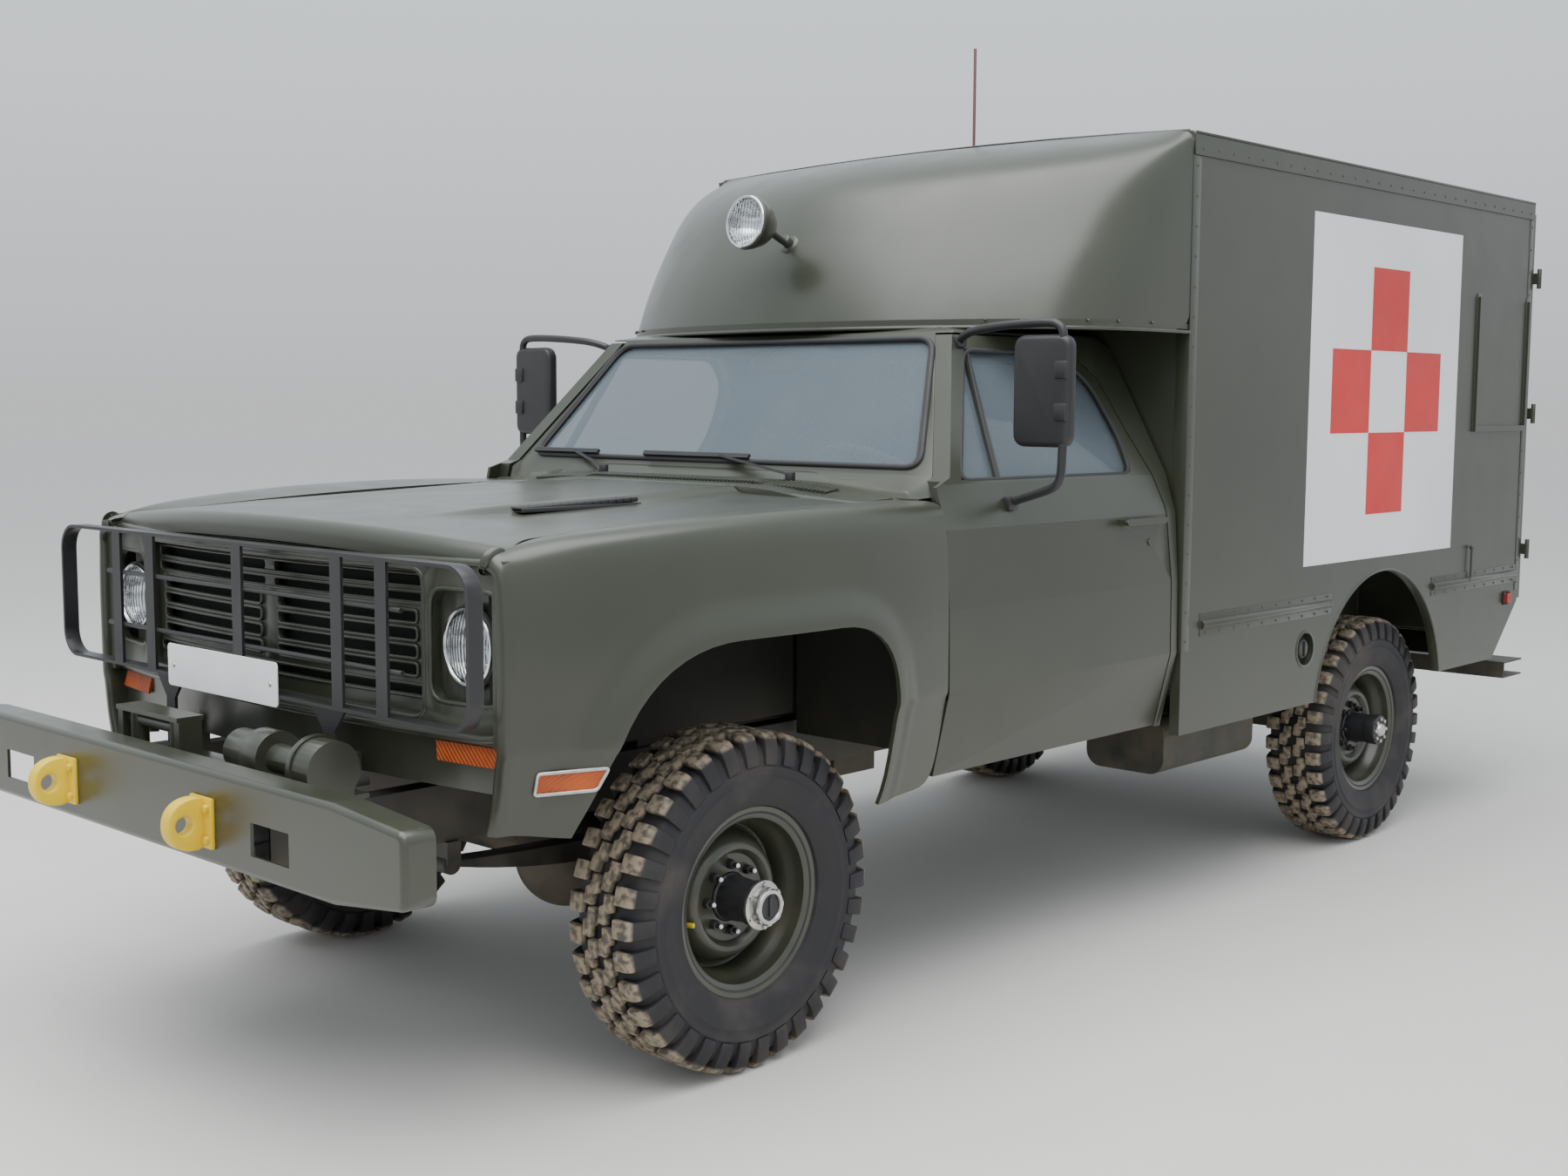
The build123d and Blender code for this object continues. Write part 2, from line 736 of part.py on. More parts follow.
# Half cross-section of the cab's sides, as y and z
side_points = (
    (948.0, 635.0),
    (cab_half, crease_z),
    (1000.0, 1090.0),
    (985.0, 1300.0),
    (948.0, belt_z),
    (roof_half, roof_z),
)
cowl_half = 808.0
ledge_reach = 46.0
ledge_half = 320.0
ledge_depth = 22.0
ledge_top = bonnet_rows[1][1] - bonnet_skin - 1.8
tunnel_half = 870.0
floor_thickness = 28.0


def cab_outline(drop):
    """Closed cross-section of the cab, its sides moved inwards by a distance."""
    left = [(y - drop, z) for y, z in side_points]
    left += [(roof_half - 130 - drop, 1856.0 - drop)]
    right = [(-y, z) for y, z in reversed(left)]
    return left + right


def side_band(outer_drop, inner_drop, start, length):
    """Solid band of the cab's left side between two depths behind its outer surface."""
    outer_edge = [(y - outer_drop, z) for y, z in side_points]
    inner_edge = [(y - inner_drop, z) for y, z in reversed(side_points)]
    with BuildPart() as band:
        with BuildSketch(cross_plane(start)):
            outline(outer_edge + inner_edge)
        extrude(amount=length)
    return band.part


# Door outline from the front of its sill, clockwise seen from the left, as ahead and z
door_points = (
    (-650.0, 641.0),
    (-650.0, 1412.0),
    (-722.0, 1436.0),
    (-998.0, 1826.0),
    (-1495.0, 1826.0),
    (-1632.0, 1712.0),
    (-1668.0, 1545.0),
    (-1730.0, 1330.0),
    (-1745.0, 1100.0),
    (-1745.0, 641.0),
)
window_points = (
    (-766.0, 1428.0),
    (-1026.0, 1786.0),
    (-1482.0, 1786.0),
    (-1592.0, 1694.0),
    (-1622.0, 1540.0),
    (-1604.0, 1426.0),
)
door_depth = 58.0
glass_drop = 24.0
glass_thickness = 6.0
vent_bar = 22.0


def placed(points):
    """Points given as ahead and z, placed along the truck."""
    return [(ahead(x), z) for x, z in points]


band_start = cab_rear - 114.0
band_length = fender_rear + 144.0 - band_start
door_skin = 12.0
door_step = 40.0
handle_front, handle_rear = ahead(-1464), ahead(-1680)
handle_y, handle_z = 1016.0, 1285.0
handle_stand = 20.0
lock_x, lock_z = ahead(-1634), 1219.0
lock_face, lock_button = 995.0, 11.0
cut_band = side_band(-60.0, door_depth + panel_gap, band_start, band_length)
skin_band = side_band(0.0, door_skin, band_start, band_length)
inner_band = side_band(door_skin - 1, door_depth, band_start, band_length)
glass_band = side_band(glass_drop, glass_drop + glass_thickness, band_start, band_length)
vent_band = side_band(glass_drop - 12, glass_drop - 0.6, band_start, band_length)

with BuildPart() as door_band_cut:
    with BuildSketch(side_plane(cab_half + 100)):
        outline(placed(door_points))
        offset(amount=panel_gap, kind=Kind.INTERSECTION)
    extrude(amount=600)
    add(cut_band, mode=Mode.INTERSECT)

# Hidden door hinges: a knuckle on the door turns between two bent leaves on the front pillar
hinge_line_x, hinge_line_y = ahead(-700), 988.0
knuckle_radius = 8.0
knuckle_height = 36.0
leaf_thickness = 9.0
leaf_half = 7.0
leaf_inner = 914.0
leaf_turn = 20.0
cab_hinge_heights = (884.0, 1066.0)
pillar_face = fender_rear - cab_wall

with BuildPart() as hinge_leaves:
    for height in cab_hinge_heights:
        for low in (height - knuckle_height / 2 - seat_gap - leaf_thickness, height + knuckle_height / 2 + seat_gap):
            with BuildSketch(Plane.XY.offset(low)):
                with Locations((hinge_line_x, hinge_line_y)):
                    Circle(leaf_half)
                outline(
                    (
                        (hinge_line_x + leaf_half, hinge_line_y),
                        (hinge_line_x - leaf_half, hinge_line_y),
                        (hinge_line_x - leaf_half, leaf_inner),
                        (pillar_face, leaf_inner),
                        (pillar_face, leaf_inner + leaf_turn),
                        (hinge_line_x + leaf_half, leaf_inner + leaf_turn),
                    )
                )
            extrude(amount=leaf_thickness)

with BuildPart() as cab_hollow:
    with BuildSketch(side_plane(cab_half)):
        outline(cab_profile)
        offset(amount=-cab_wall, kind=Kind.INTERSECTION)
    extrude(amount=2 * cab_half)
    with BuildSketch(cross_plane(ahead(-1900))):
        outline(cab_outline(cab_wall))
    extrude(amount=1500, mode=Mode.INTERSECT)
    with Locations((ahead(-1200), 0, (rail_top + floor_thickness) / 2)):
        Box(2000, 3000, rail_top + floor_thickness, mode=Mode.SUBTRACT)

screen_length = hypot(screen_high[0] - screen_low[0], screen_high[1] - screen_low[1])
screen_lean = atan2(screen_high[1] - screen_low[1], screen_low[0] - screen_high[0])
screen_plane = Plane(
    origin=((screen_low[0] + screen_high[0]) / 2, 0, (screen_low[1] + screen_high[1]) / 2),
    x_dir=(0, 1, 0),
    z_dir=(sin(screen_lean), 0, cos(screen_lean)),
)
screen_foot, screen_head = 822.0, 660.0
screen_border = 26.0
screen_round = 55.0


def screen_sketch(plane, inset):
    """Sketch of the windscreen opening on a plane, moved inwards by an inset."""
    half = screen_length / 2 - screen_border
    with BuildSketch(plane) as sketch:
        outline(((screen_foot, -half), (screen_head, half), (-screen_head, half), (-screen_foot, -half)))
        fillet(sketch.vertices(), screen_round)
        if inset:
            offset(amount=-inset)
    return sketch.sketch


with BuildPart() as cab:
    with BuildSketch(side_plane(cab_half)):
        outline(cab_profile)
    extrude(amount=2 * cab_half)
    with BuildSketch(cross_plane(ahead(-1900))):
        outline(cab_outline(0.0))
    extrude(amount=1500, mode=Mode.INTERSECT)
    add(cab_hollow.part, mode=Mode.SUBTRACT)
    with Locations((ahead(-1215), 0, rail_top / 2)):
        Box(2000, 2 * tunnel_half, rail_top, mode=Mode.SUBTRACT)
    for sign in (1, -1):
        with Locations((fender_rear + 200, sign * (cowl_half + 200), 1000)):
            Box(400, 400, 2000, mode=Mode.SUBTRACT)
    add(door_band_cut.part, mode=Mode.SUBTRACT)
    mirror(door_band_cut.part, about=Plane.XZ, mode=Mode.SUBTRACT)
    add(hinge_leaves.part)
    mirror(hinge_leaves.part, about=Plane.XZ)
    extrude(screen_sketch(screen_plane.offset(60), 0.0), amount=-150, mode=Mode.SUBTRACT)
    with BuildSketch(cross_plane(cab_rear - 20)):
        with Locations((0, 1590)):
            RectangleRounded(1150, 330, 60)
    extrude(amount=80, mode=Mode.SUBTRACT)
    with Locations((bonnet_rear - panel_gap, 0, ledge_top)):
        Box(ledge_reach, 2 * ledge_half, ledge_depth, align=(Align.MIN, Align.CENTER, Align.MAX))
    add(hinge_gap, mode=Mode.SUBTRACT)
    for middle in bonnet_hinges:
        for side in (1, -1):
            beside = middle + side * ((knuckle_run + cowl_knuckle_run) / 2 + seat_gap)
            add(hinge_knuckle(beside, cowl_knuckle_run, pin_x - notch_reach - 4))
finish(cab.part, "cab")

with BuildPart() as windscreen:
    extrude(screen_sketch(screen_plane.offset(-8), seat_gap), amount=-glass_thickness)
finish(windscreen.part, "windscreen")

# Doors, each with a window opening split by a vent bar; the glass stands in it as its own piece
with BuildPart() as window_cut:
    with BuildSketch(side_plane(cab_half + 100)) as window:
        outline(placed(window_points))
        fillet(window.vertices().sort_by(Axis.X)[:3], 30)
    extrude(amount=700)
with BuildPart() as window_glass_cut:
    with BuildSketch(side_plane(cab_half + 100)) as window_small:
        outline(placed(window_points))
        fillet(window_small.vertices().sort_by(Axis.X)[:3], 30)
        offset(amount=-seat_gap)
    extrude(amount=700)
with BuildPart() as vent:
    with BuildSketch(side_plane(cab_half + 100)):
        outline(placed(((-930.0, 1400.0), (-1042.0, 1800.0), (-1042.0 - vent_bar, 1800.0), (-930.0 - vent_bar, 1400.0))))
    extrude(amount=700)
    add(vent_band, mode=Mode.INTERSECT)
with BuildPart() as door_shape:
    with BuildSketch(side_plane(cab_half + 100)):
        outline(placed(door_points))
    extrude(amount=600)
with BuildPart() as door_body:
    add(door_shape.part)
    add(inner_band, mode=Mode.INTERSECT)
    with Locations((door_front - door_step, 0, 1000)):
        Box(400, 3000, 2000, align=(Align.MIN, Align.CENTER, Align.CENTER), mode=Mode.SUBTRACT)
    notch_rear = hinge_line_x - knuckle_radius - 4
    for height in cab_hinge_heights:
        with Locations((notch_rear, hinge_line_y + knuckle_radius + 1, height)):
            Box(200, 200, knuckle_height + 2 * (leaf_thickness + panel_gap),
                align=(Align.MIN, Align.MAX, Align.CENTER), mode=Mode.SUBTRACT)
with BuildPart() as door_left:
    add(door_shape.part)
    add(skin_band, mode=Mode.INTERSECT)
    for height in cab_hinge_heights:
        with Locations((notch_rear, hinge_line_y + knuckle_radius + 1, height)):
            Box(200, 200, knuckle_height + 2 * (leaf_thickness + panel_gap),
                align=(Align.MIN, Align.MAX, Align.CENTER), mode=Mode.SUBTRACT)
    add(door_body.part)
    add(window_cut.part, mode=Mode.SUBTRACT)
    add(vent.part)
    for height in cab_hinge_heights:
        with Locations((hinge_line_x, hinge_line_y, height)):
            Cylinder(knuckle_radius, knuckle_height)
        with Locations((notch_rear - 1, hinge_line_y, height)):
            Box(hinge_line_x - notch_rear + 1, 12, knuckle_height, align=(Align.MIN, Align.CENTER, Align.CENTER))
    for post_x in (handle_front - 12, handle_rear + 12):
        with Locations((post_x, handle_y - handle_stand, handle_z)):
            Box(18, 2 * handle_stand, 16)
    with BuildSketch(side_plane(handle_y + 7)):
        with Locations(((handle_front + handle_rear) / 2, handle_z)):
            SlotOverall(handle_front - handle_rear, 20)
    extrude(amount=14)
    with BuildSketch(side_plane(lock_face)):
        with Locations((lock_x, lock_z)):
            Circle(lock_button)
    extrude(amount=24)
with BuildPart() as door_glass_left:
    add(glass_band)
    add(window_glass_cut.part, mode=Mode.INTERSECT)
with BuildPart() as door_right:
    mirror(door_left.part, about=Plane.XZ)
with BuildPart() as door_glass_right:
    mirror(door_glass_left.part, about=Plane.XZ)
finish(door_left.part, "door_left")
finish(door_right.part, "door_right")
finish(door_glass_left.part, "door_glass_left")
finish(door_glass_right.part, "door_glass_right")

# Mirrors: a bent tube from the top of the door out to the head and back to a foot on the door
mirror_x = ahead(-950)
tube_radius = 12.0
head_inner, head_outer = 979.0, 1164.0
head_low, head_high = 1516.0, 1816.0
head_depth = 58.0
tube_points = (
    (ahead(-1012), 736.0, 1806.0),
    (ahead(-975), 800.0, 1868.0 - 30),
    (mirror_x, 1120.0, 1850.0),
    (mirror_x, 1138.0, 1420.0),
    (mirror_x, 966.0, 1362.0),
)
with BuildPart() as door_solid:
    with BuildSketch(cross_plane(ahead(-1900))):
        outline([(0.0, 635.0)] + list(side_points) + [(0.0, roof_z)])
    extrude(amount=1400)
with BuildPart() as mirror_left:
    with BuildLine():
        route = FilletPolyline(*tube_points, radius=45)
    with BuildSketch(Plane(origin=route @ 0, z_dir=route % 0)):
        Circle(tube_radius)
    sweep()
    for point in (tube_points[0], tube_points[-1]):
        with Locations(point):
            Box(46, 40, 46)
    with BuildSketch(Plane.XY.offset(head_low)):
        with Locations((mirror_x, (head_inner + head_outer) / 2)):
            RectangleRounded(head_depth, head_outer - head_inner, 20)
    extrude(amount=head_high - head_low)
    add(door_solid.part, mode=Mode.SUBTRACT)
with BuildPart() as mirror_right:
    mirror(mirror_left.part, about=Plane.XZ)
finish(mirror_left.part, "mirror_left")
finish(mirror_right.part, "mirror_right")

# Dashboard with its steering column and wheel, and the seats
dash_front = fender_rear - cab_wall
dash_rear = ahead(-905)
wheel_centre = (ahead(-1085), 390.0, 1375.0)
wheel_lean = 52.0
wheel_rim_radius = 205.0
wheel_rim_section = 13.0
column_length = (fender_rear - cab_wall - wheel_centre[0]) / cos(radians(wheel_lean)) + 40

with BuildPart() as dashboard:
    with BuildSketch(side_plane(860)):
        outline(
            (
                (dash_front, 1120.0),
                (dash_front, 1352.0),
                (ahead(-700), 1372.0),
                (ahead(-880), 1372.0),
                (dash_rear, 1330.0),
                (ahead(-850), 1130.0),
            )
        )
    extrude(amount=1720)
finish(dashboard.part, "dashboard")

wheel_plane = Plane(
    origin=wheel_centre, x_dir=(0, 1, 0), z_dir=(-cos(radians(wheel_lean)), 0, sin(radians(wheel_lean)))
)
with BuildPart() as steering_wheel:
    with BuildSketch(Plane(origin=wheel_centre, x_dir=wheel_plane.z_dir, z_dir=(0, 1, 0))):
        with Locations((0, wheel_rim_radius)):
            RegularPolygon(wheel_rim_section, 10)
    revolve(axis=Axis(wheel_centre, wheel_plane.z_dir))
    with BuildSketch(wheel_plane):
        Circle(48)
        Rectangle(2 * wheel_rim_radius - 4, 30)
    extrude(amount=9, both=True)
    with BuildSketch(wheel_plane):
        Circle(24)
    extrude(amount=-column_length)
    add(dashboard.part, mode=Mode.SUBTRACT)
    with Locations((fender_rear - cab_wall, wheel_centre[1], wheel_centre[2] - column_length)):
        Box(400, 200, 800, align=(Align.MIN, Align.CENTER, Align.CENTER), mode=Mode.SUBTRACT)
finish(steering_wheel.part, "steering_wheel")

seat_floor = rail_top + floor_thickness
seat_width = 500.0
riser_high = seat_floor + 190.0
cushion_front, cushion_rear = ahead(-1105), ahead(-1560)
cushion_thickness = 130.0
back_foot, back_head = ahead(-1575), ahead(-1680)
back_high = seat_floor + 850.0
back_thickness = 105.0
cushion_round = 34.0
# Each cushion's outline from its lower front corner, upwards
cushion_outline = (
    (cushion_front, riser_high + seat_gap),
    (cushion_front + 10, riser_high + cushion_thickness + 14),
    (cushion_rear, riser_high + cushion_thickness - 12),
    (cushion_rear, riser_high + seat_gap),
)
back_outline = (
    (back_foot - seat_gap, riser_high + seat_gap),
    (back_foot - seat_gap, riser_high + cushion_thickness),
    (back_head + back_thickness, back_high - 20),
    (back_head, back_high),
    (back_foot - back_thickness, riser_high + seat_gap),
)
with BuildPart() as seats:
    for seat_y in (390.0, -390.0):
        with Locations(((cushion_front + back_foot - back_thickness) / 2, seat_y, (seat_floor + riser_high) / 2)):
            Box(cushion_front - back_foot + back_thickness - 20, seat_width - 60, riser_high - seat_floor)
        for shape in (cushion_outline, back_outline):
            with BuildSketch(side_plane(seat_y + seat_width / 2)) as cushion:
                outline(shape)
                fillet(cushion.vertices(), cushion_round)
            extrude(amount=seat_width)
finish(seats.part, "seats")

# Engine block on its arms, and the radiator on the crossmember behind the grille
engine_front, engine_back = ahead(330), ahead(-600)
engine_half = 235.0
engine_low, engine_high = 640.0, 1215.0
gearbox_back = ahead(-1080)
gearbox_half = 150.0
radiator_x = ahead(520)

with BuildPart() as engine:
    with Locations(((engine_front + engine_back) / 2, 0, (engine_low + engine_high) / 2)):
        Box(engine_front - engine_back, 2 * engine_half, engine_high - engine_low)
    with Locations((ahead(-100), 0, rail_top + 25)):
        Box(110, 2 * rail_y + 40, 50)
finish(engine.part, "engine")
with BuildPart() as radiator:
    with Locations((radiator_x, 0, rail_top - rail_wall)):
        Box(70, 720, 520, align=(Align.CENTER, Align.CENTER, Align.MIN))
finish(radiator.part, "radiator")

# Front axle: tube, drive casing, leaf springs and the yokes that hold the kingpins
tube_bore = 42.0
casing_radius = 140.0
casing_y = 215.0
spring_half = 560.0
spring_width = 64.0
spring_pack = 56.0
yoke_top, yoke_low = hub_height + 84.0, hub_height - 84.0
yoke_plate = 28.0
pin_radius = 28.0
eye_radius = 26.0


def axle_part(axle_x, tube_half, casing_at):
    """Axle tube with its casing and two leaf springs hung from the rails."""
    spring_foot = hub_height + tube_bore
    with BuildPart() as axle:
        with BuildSketch(side_plane(tube_half)):
            with Locations((axle_x, hub_height)):
                Circle(tube_bore)
        extrude(amount=2 * tube_half)
        with Locations((axle_x, casing_at, hub_height)):
            Sphere(casing_radius)
        for sign in (1, -1):
            with BuildSketch(side_plane(sign * rail_y + spring_width / 2)):
                with BuildLine():
                    low = ThreePointArc(
                        (axle_x - spring_half, rail_bottom - 62),
                        (axle_x, spring_foot + 6),
                        (axle_x + spring_half, rail_bottom - 62),
                    )
                    high = ThreePointArc(
                        (axle_x - spring_half, rail_bottom - 50),
                        (axle_x, spring_foot + 6 + spring_pack),
                        (axle_x + spring_half, rail_bottom - 50),
                    )
                    Line(low @ 0, high @ 0)
                    Line(low @ 1, high @ 1)
                make_face()
                with Locations(
                    (axle_x - spring_half, rail_bottom - 56), (axle_x + spring_half, rail_bottom - 56)
                ):
                    Circle(eye_radius)
            extrude(amount=spring_width)
            for spring_end in (-spring_half, spring_half):
                with Locations((axle_x + spring_end, sign * rail_y, rail_bottom - 28)):
                    Box(40, spring_width + 16, 56)
            with Locations((axle_x, sign * rail_y, spring_foot + 6)):
                Box(110, spring_width + 20, 44)
    return axle.part


front_base = axle_part(front_axle, 606.0, casing_y)
with BuildPart() as front_axle_part:
    add(front_base)
    for sign in (1, -1):
        with Locations((front_axle, sign * 600, hub_height)):
            Box(2 * pin_radius, 24, yoke_top - yoke_low + 2 * yoke_plate)
        for plate_z in (yoke_top, yoke_low - yoke_plate):
            with BuildSketch(Plane.XY.offset(plate_z)):
                with Locations((front_axle, sign * kingpin_y)):
                    Circle(pin_radius)
                with Locations((front_axle, sign * (kingpin_y + 600) / 2)):
                    Rectangle(2 * pin_radius, kingpin_y - 600)
            extrude(amount=yoke_plate)
finish(front_axle_part.part, "front_axle")

drum_plane_y = wheel_y + drum_inner_y
rear_base = axle_part(rear_axle, drum_plane_y - seat_gap, 0.0)
finish(rear_base, "rear_axle")

# Steering knuckles: a post between the yoke plates, a stub towards the hub and a backing plate
stub_radius = 30.0
backing_radius = 140.0
backing_y = kingpin_y + 38.0
backing_thickness = 12.0

with BuildPart() as knuckle_left:
    with BuildSketch(Plane.XY.offset(yoke_low + seat_gap)):
        with Locations((front_axle, kingpin_y)):
            Circle(pin_radius + 6)
    extrude(amount=yoke_top - yoke_low - 2 * seat_gap)
    with BuildSketch(side_plane(drum_plane_y - seat_gap)):
        with Locations((front_axle, hub_height)):
            Circle(stub_radius)
    extrude(amount=drum_plane_y - seat_gap - kingpin_y)
    with BuildSketch(side_plane(backing_y + backing_thickness)):
        with Locations((front_axle, hub_height)):
            Circle(backing_radius)
    extrude(amount=backing_thickness)
with BuildPart() as knuckle_right:
    mirror(knuckle_left.part, about=Plane.XZ)
finish(knuckle_left.part, "knuckle_left")
finish(knuckle_right.part, "knuckle_right")

# Driveline: gearbox and transfer case under the cab floor, and the propeller shafts
transfer_x = ahead(-1000)
shaft_radius = 34.0
transfer_low = 500.0


def shaft_between(start, end):
    """Round shaft between two points."""
    line = Vector(*end) - Vector(*start)
    with BuildPart() as rod_part:
        with BuildSketch(Plane(origin=start, z_dir=line)):
            Circle(shaft_radius)
        extrude(amount=line.length)
    return rod_part.part


front_shaft = shaft_between((transfer_x, casing_y, transfer_low + 60), (ahead(-60), casing_y, hub_height + 8))
rear_shaft = shaft_between((transfer_x - 100, 0, transfer_low + 100), (rear_axle + 60, 0, hub_height + 8))
with BuildPart() as driveline:
    with Locations(((engine_back + transfer_x) / 2 - seat_gap / 2, 0, 620)):
        Box(engine_back - transfer_x - seat_gap, 2 * gearbox_half, 200)
    with Locations((transfer_x - 60, 40, (transfer_low + 722) / 2)):
        Box(190, 560, 722 - transfer_low)
    with Locations((transfer_x - 175, 0, 680)):
        Box(40, 120, 50)
    add(front_shaft)
    add(rear_shaft)
    add(front_base, mode=Mode.SUBTRACT)
    add(rear_base, mode=Mode.SUBTRACT)
finish(driveline.part, "driveline")

# Fuel tank on straps from the left rail, and the exhaust on hangers from the right rail
tank_rear, tank_front = ahead(-2650), ahead(-2059)
tank_inner, tank_outer = 500.0, 800.0
tank_low, tank_high = 410.0, 592.0
rail_outer = rail_y + rail_width / 2
with BuildPart() as fuel_tank:
    with Locations(((tank_rear + tank_front) / 2, (tank_inner + tank_outer) / 2, (tank_low + tank_high) / 2)):
        Box(tank_front - tank_rear, tank_outer - tank_inner, tank_high - tank_low)
    fillet(fuel_tank.edges().filter_by(Axis.X), 55)
    for strap_x in (tank_rear + 130, tank_front - 130):
        with Locations((strap_x, (rail_outer + tank_outer) / 2 - 40, tank_high - 18)):
            Box(46, tank_outer - rail_outer - 80, 44)
        with Locations((strap_x, rail_outer + 6, tank_high + 30)):
            Box(46, 12, 100)
finish(fuel_tank.part, "fuel_tank")

muffler_y, muffler_z = -600.0, 520.0
muffler_width, muffler_height, muffler_round = 240.0, 150.0, 72.0
pipe_radius = 26.0
with BuildPart() as exhaust:
    with BuildSketch(cross_plane(ahead(-2250))):
        with Locations((muffler_y, muffler_z)):
            RectangleRounded(muffler_width, muffler_height, muffler_round)
    extrude(amount=600)
    with BuildLine():
        pipe = FilletPolyline(
            (ahead(-2200), muffler_y, muffler_z), (ahead(-2480), muffler_y, muffler_z),
            (ahead(-2620), -900, muffler_z), (ahead(-2640), -990, muffler_z), radius=60,
        )
    with BuildSketch(Plane(origin=pipe @ 0, z_dir=pipe % 0)):
        Circle(pipe_radius)
    sweep()
    for hanger_x in (ahead(-1750), ahead(-2150)):
        with Locations((hanger_x, -(rail_outer + 6), rail_bottom + 20)):
            Box(30, 12, 80)
        with Locations((hanger_x, -(rail_outer + 60), rail_bottom - 14)):
            Box(30, 120, 12)
finish(exhaust.part, "exhaust")

# Ambulance body: floor on bearers, with the wheel boxes
side_inner = body_half - body_wall
bearer_top = body_floor_top - 34.0
wheel_box_front, wheel_box_rear = ahead(-2640), ahead(-3750)
wheel_box_inner = 640.0
wheel_box_top = 1056.0
box_sheet = 16.0
floor_front = body_front - body_wall
floor_rear = body_rear + (tail_z - bearer_top) * tail_slope + 2 * tail_sheet
bearer_stations = (ahead(-1950), ahead(-2450), ahead(-3950), ahead(-4260))

with BuildPart() as body_floor:
    with Locations(((floor_front + floor_rear) / 2, 0, (bearer_top + body_floor_top) / 2)):
        Box(floor_front - floor_rear, 2 * side_inner, body_floor_top - bearer_top)
    for station in bearer_stations:
        with Locations((station, 0, (rail_top + bearer_top) / 2)):
            Box(80, 2 * side_inner - 60, bearer_top - rail_top)
    for sign in (1, -1):
        middle = ((wheel_box_front + wheel_box_rear) / 2, sign * (wheel_box_inner + side_inner) / 2)
        with Locations((*middle, (bearer_top + wheel_box_top) / 2)):
            Box(wheel_box_front - wheel_box_rear, side_inner - wheel_box_inner, wheel_box_top - bearer_top)
        with Locations((middle[0], sign * ((wheel_box_inner + side_inner) / 2 + box_sheet),
                        (bearer_top + wheel_box_top) / 2 - box_sheet)):
            Box(wheel_box_front - wheel_box_rear - 2 * box_sheet, side_inner - wheel_box_inner,
                wheel_box_top - bearer_top, mode=Mode.SUBTRACT)
finish(body_floor.part, "body_floor")

# Body sides: a panel with its wheel arch, mouldings and the channel frame of the shutter
arch_centre = (ahead(-3200), 520.0)
body_arch_radius = 512.0
side_top = body_top - roof_thickness
moulding_low, moulding_high = 930.0, 958.0
moulding_proud = 14.0
mouldings = ((ahead(-1911), ahead(-2784)), (ahead(-3611), ahead(-4413)))
shutter_front, shutter_rear = ahead(-3940), ahead(-4430)
shutter_low, shutter_high = 1540.0, 2050.0
shutter_bar = 22.0
filler = (ahead(-2609), 801.0)
filler_radius = 58.0

with BuildPart() as body_side_left:
    with BuildSketch(side_plane(body_half)):
        outline(
            (
                (body_front, body_low),
                (body_front, side_top),
                (body_rear, side_top),
                (body_rear, tail_z),
                (tail_x, body_low),
            )
        )
        with Locations(arch_centre):
            Circle(body_arch_radius, mode=Mode.SUBTRACT)
        with Locations(filler):
            Circle(filler_radius, mode=Mode.SUBTRACT)
    extrude(amount=body_wall)
    with BuildSketch(side_plane(body_half - body_wall + 6)):
        with Locations(filler):
            Circle(filler_radius + 4)
    extrude(amount=6)
    with BuildSketch(side_plane(body_half - body_wall + 30)):
        with Locations(filler):
            Circle(26)
    extrude(amount=30)
    for start, end in mouldings:
        with BuildSketch(cross_plane(end)):
            with Locations((body_half, (moulding_low + moulding_high) / 2)):
                Circle(moulding_proud)
        extrude(amount=start - end)
    for bar_x in (shutter_front, shutter_rear):
        with Locations((bar_x, body_half + 6, (shutter_low + shutter_high) / 2)):
            Box(shutter_bar, 12, shutter_high - shutter_low)
    with Locations(((shutter_front + shutter_rear) / 2, body_half + 6, shutter_low)):
        Box(shutter_front - shutter_rear + shutter_bar, 12, shutter_bar)
with BuildPart() as body_side_right:
    mirror(body_side_left.part, about=Plane.XZ)
finish(body_side_left.part, "body_side_left")
finish(body_side_right.part, "body_side_right")

# Roof with a low crown and a flange down over each side
flange_depth = 70.0
flange_wall = 6.0
with BuildPart() as body_roof:
    with BuildSketch(cross_plane(body_rear)):
        edge = body_half + flange_wall
        outline(
            (
                (-edge, body_top - flange_depth),
                (-edge, body_top - 8),
                (-edge + 14, body_top + 2),
                (0, body_top + crown),
                (edge - 14, body_top + 2),
                (edge, body_top - 8),
                (edge, body_top - flange_depth),
                (body_half + seat_gap, body_top - flange_depth),
                (body_half + seat_gap, side_top),
                (-body_half - seat_gap, side_top),
                (-body_half - seat_gap, body_top - flange_depth),
            )
        )
    extrude(amount=body_front - body_rear)
finish(body_roof.part, "body_roof")

# Over-cab nose: a lofted shell, open towards the load space
nose_wall = 26.0
nose_sections = (
    # station, half width, top z, corner radius
    (ahead(-1798), 1010.0, 2472.0, 34.0),
    (ahead(-1500), 1008.0, 2424.0, 130.0),
    (ahead(-1370), 1002.0, 2386.0, 200.0),
    (ahead(-1270), 988.0, 2334.0, 250.0),
    (ahead(-1190), 966.0, 2262.0, 265.0),
    (ahead(-1120), 932.0, 2160.0, 245.0),
    (ahead(-1055), 880.0, 2056.0, 175.0),
    (ahead(-1000), 810.0, 1952.0, 80.0),
)


def nose_loft(inset, stations):
    """Solid nose through its sections, moved inwards by an inset."""
    with BuildPart() as solid:
        for station, half, top, corner in stations:
            height = top - nose_bottom - 2 * inset
            with BuildSketch(cross_plane(station)) as section:
                with Locations((0, nose_bottom + inset + height / 2)):
                    Rectangle(2 * (half - inset), height)
                fillet(section.vertices().group_by(Axis.Y)[-1], min(max(corner - inset, 12.0), 0.8 * height))
        loft(ruled=True)
    return solid.part


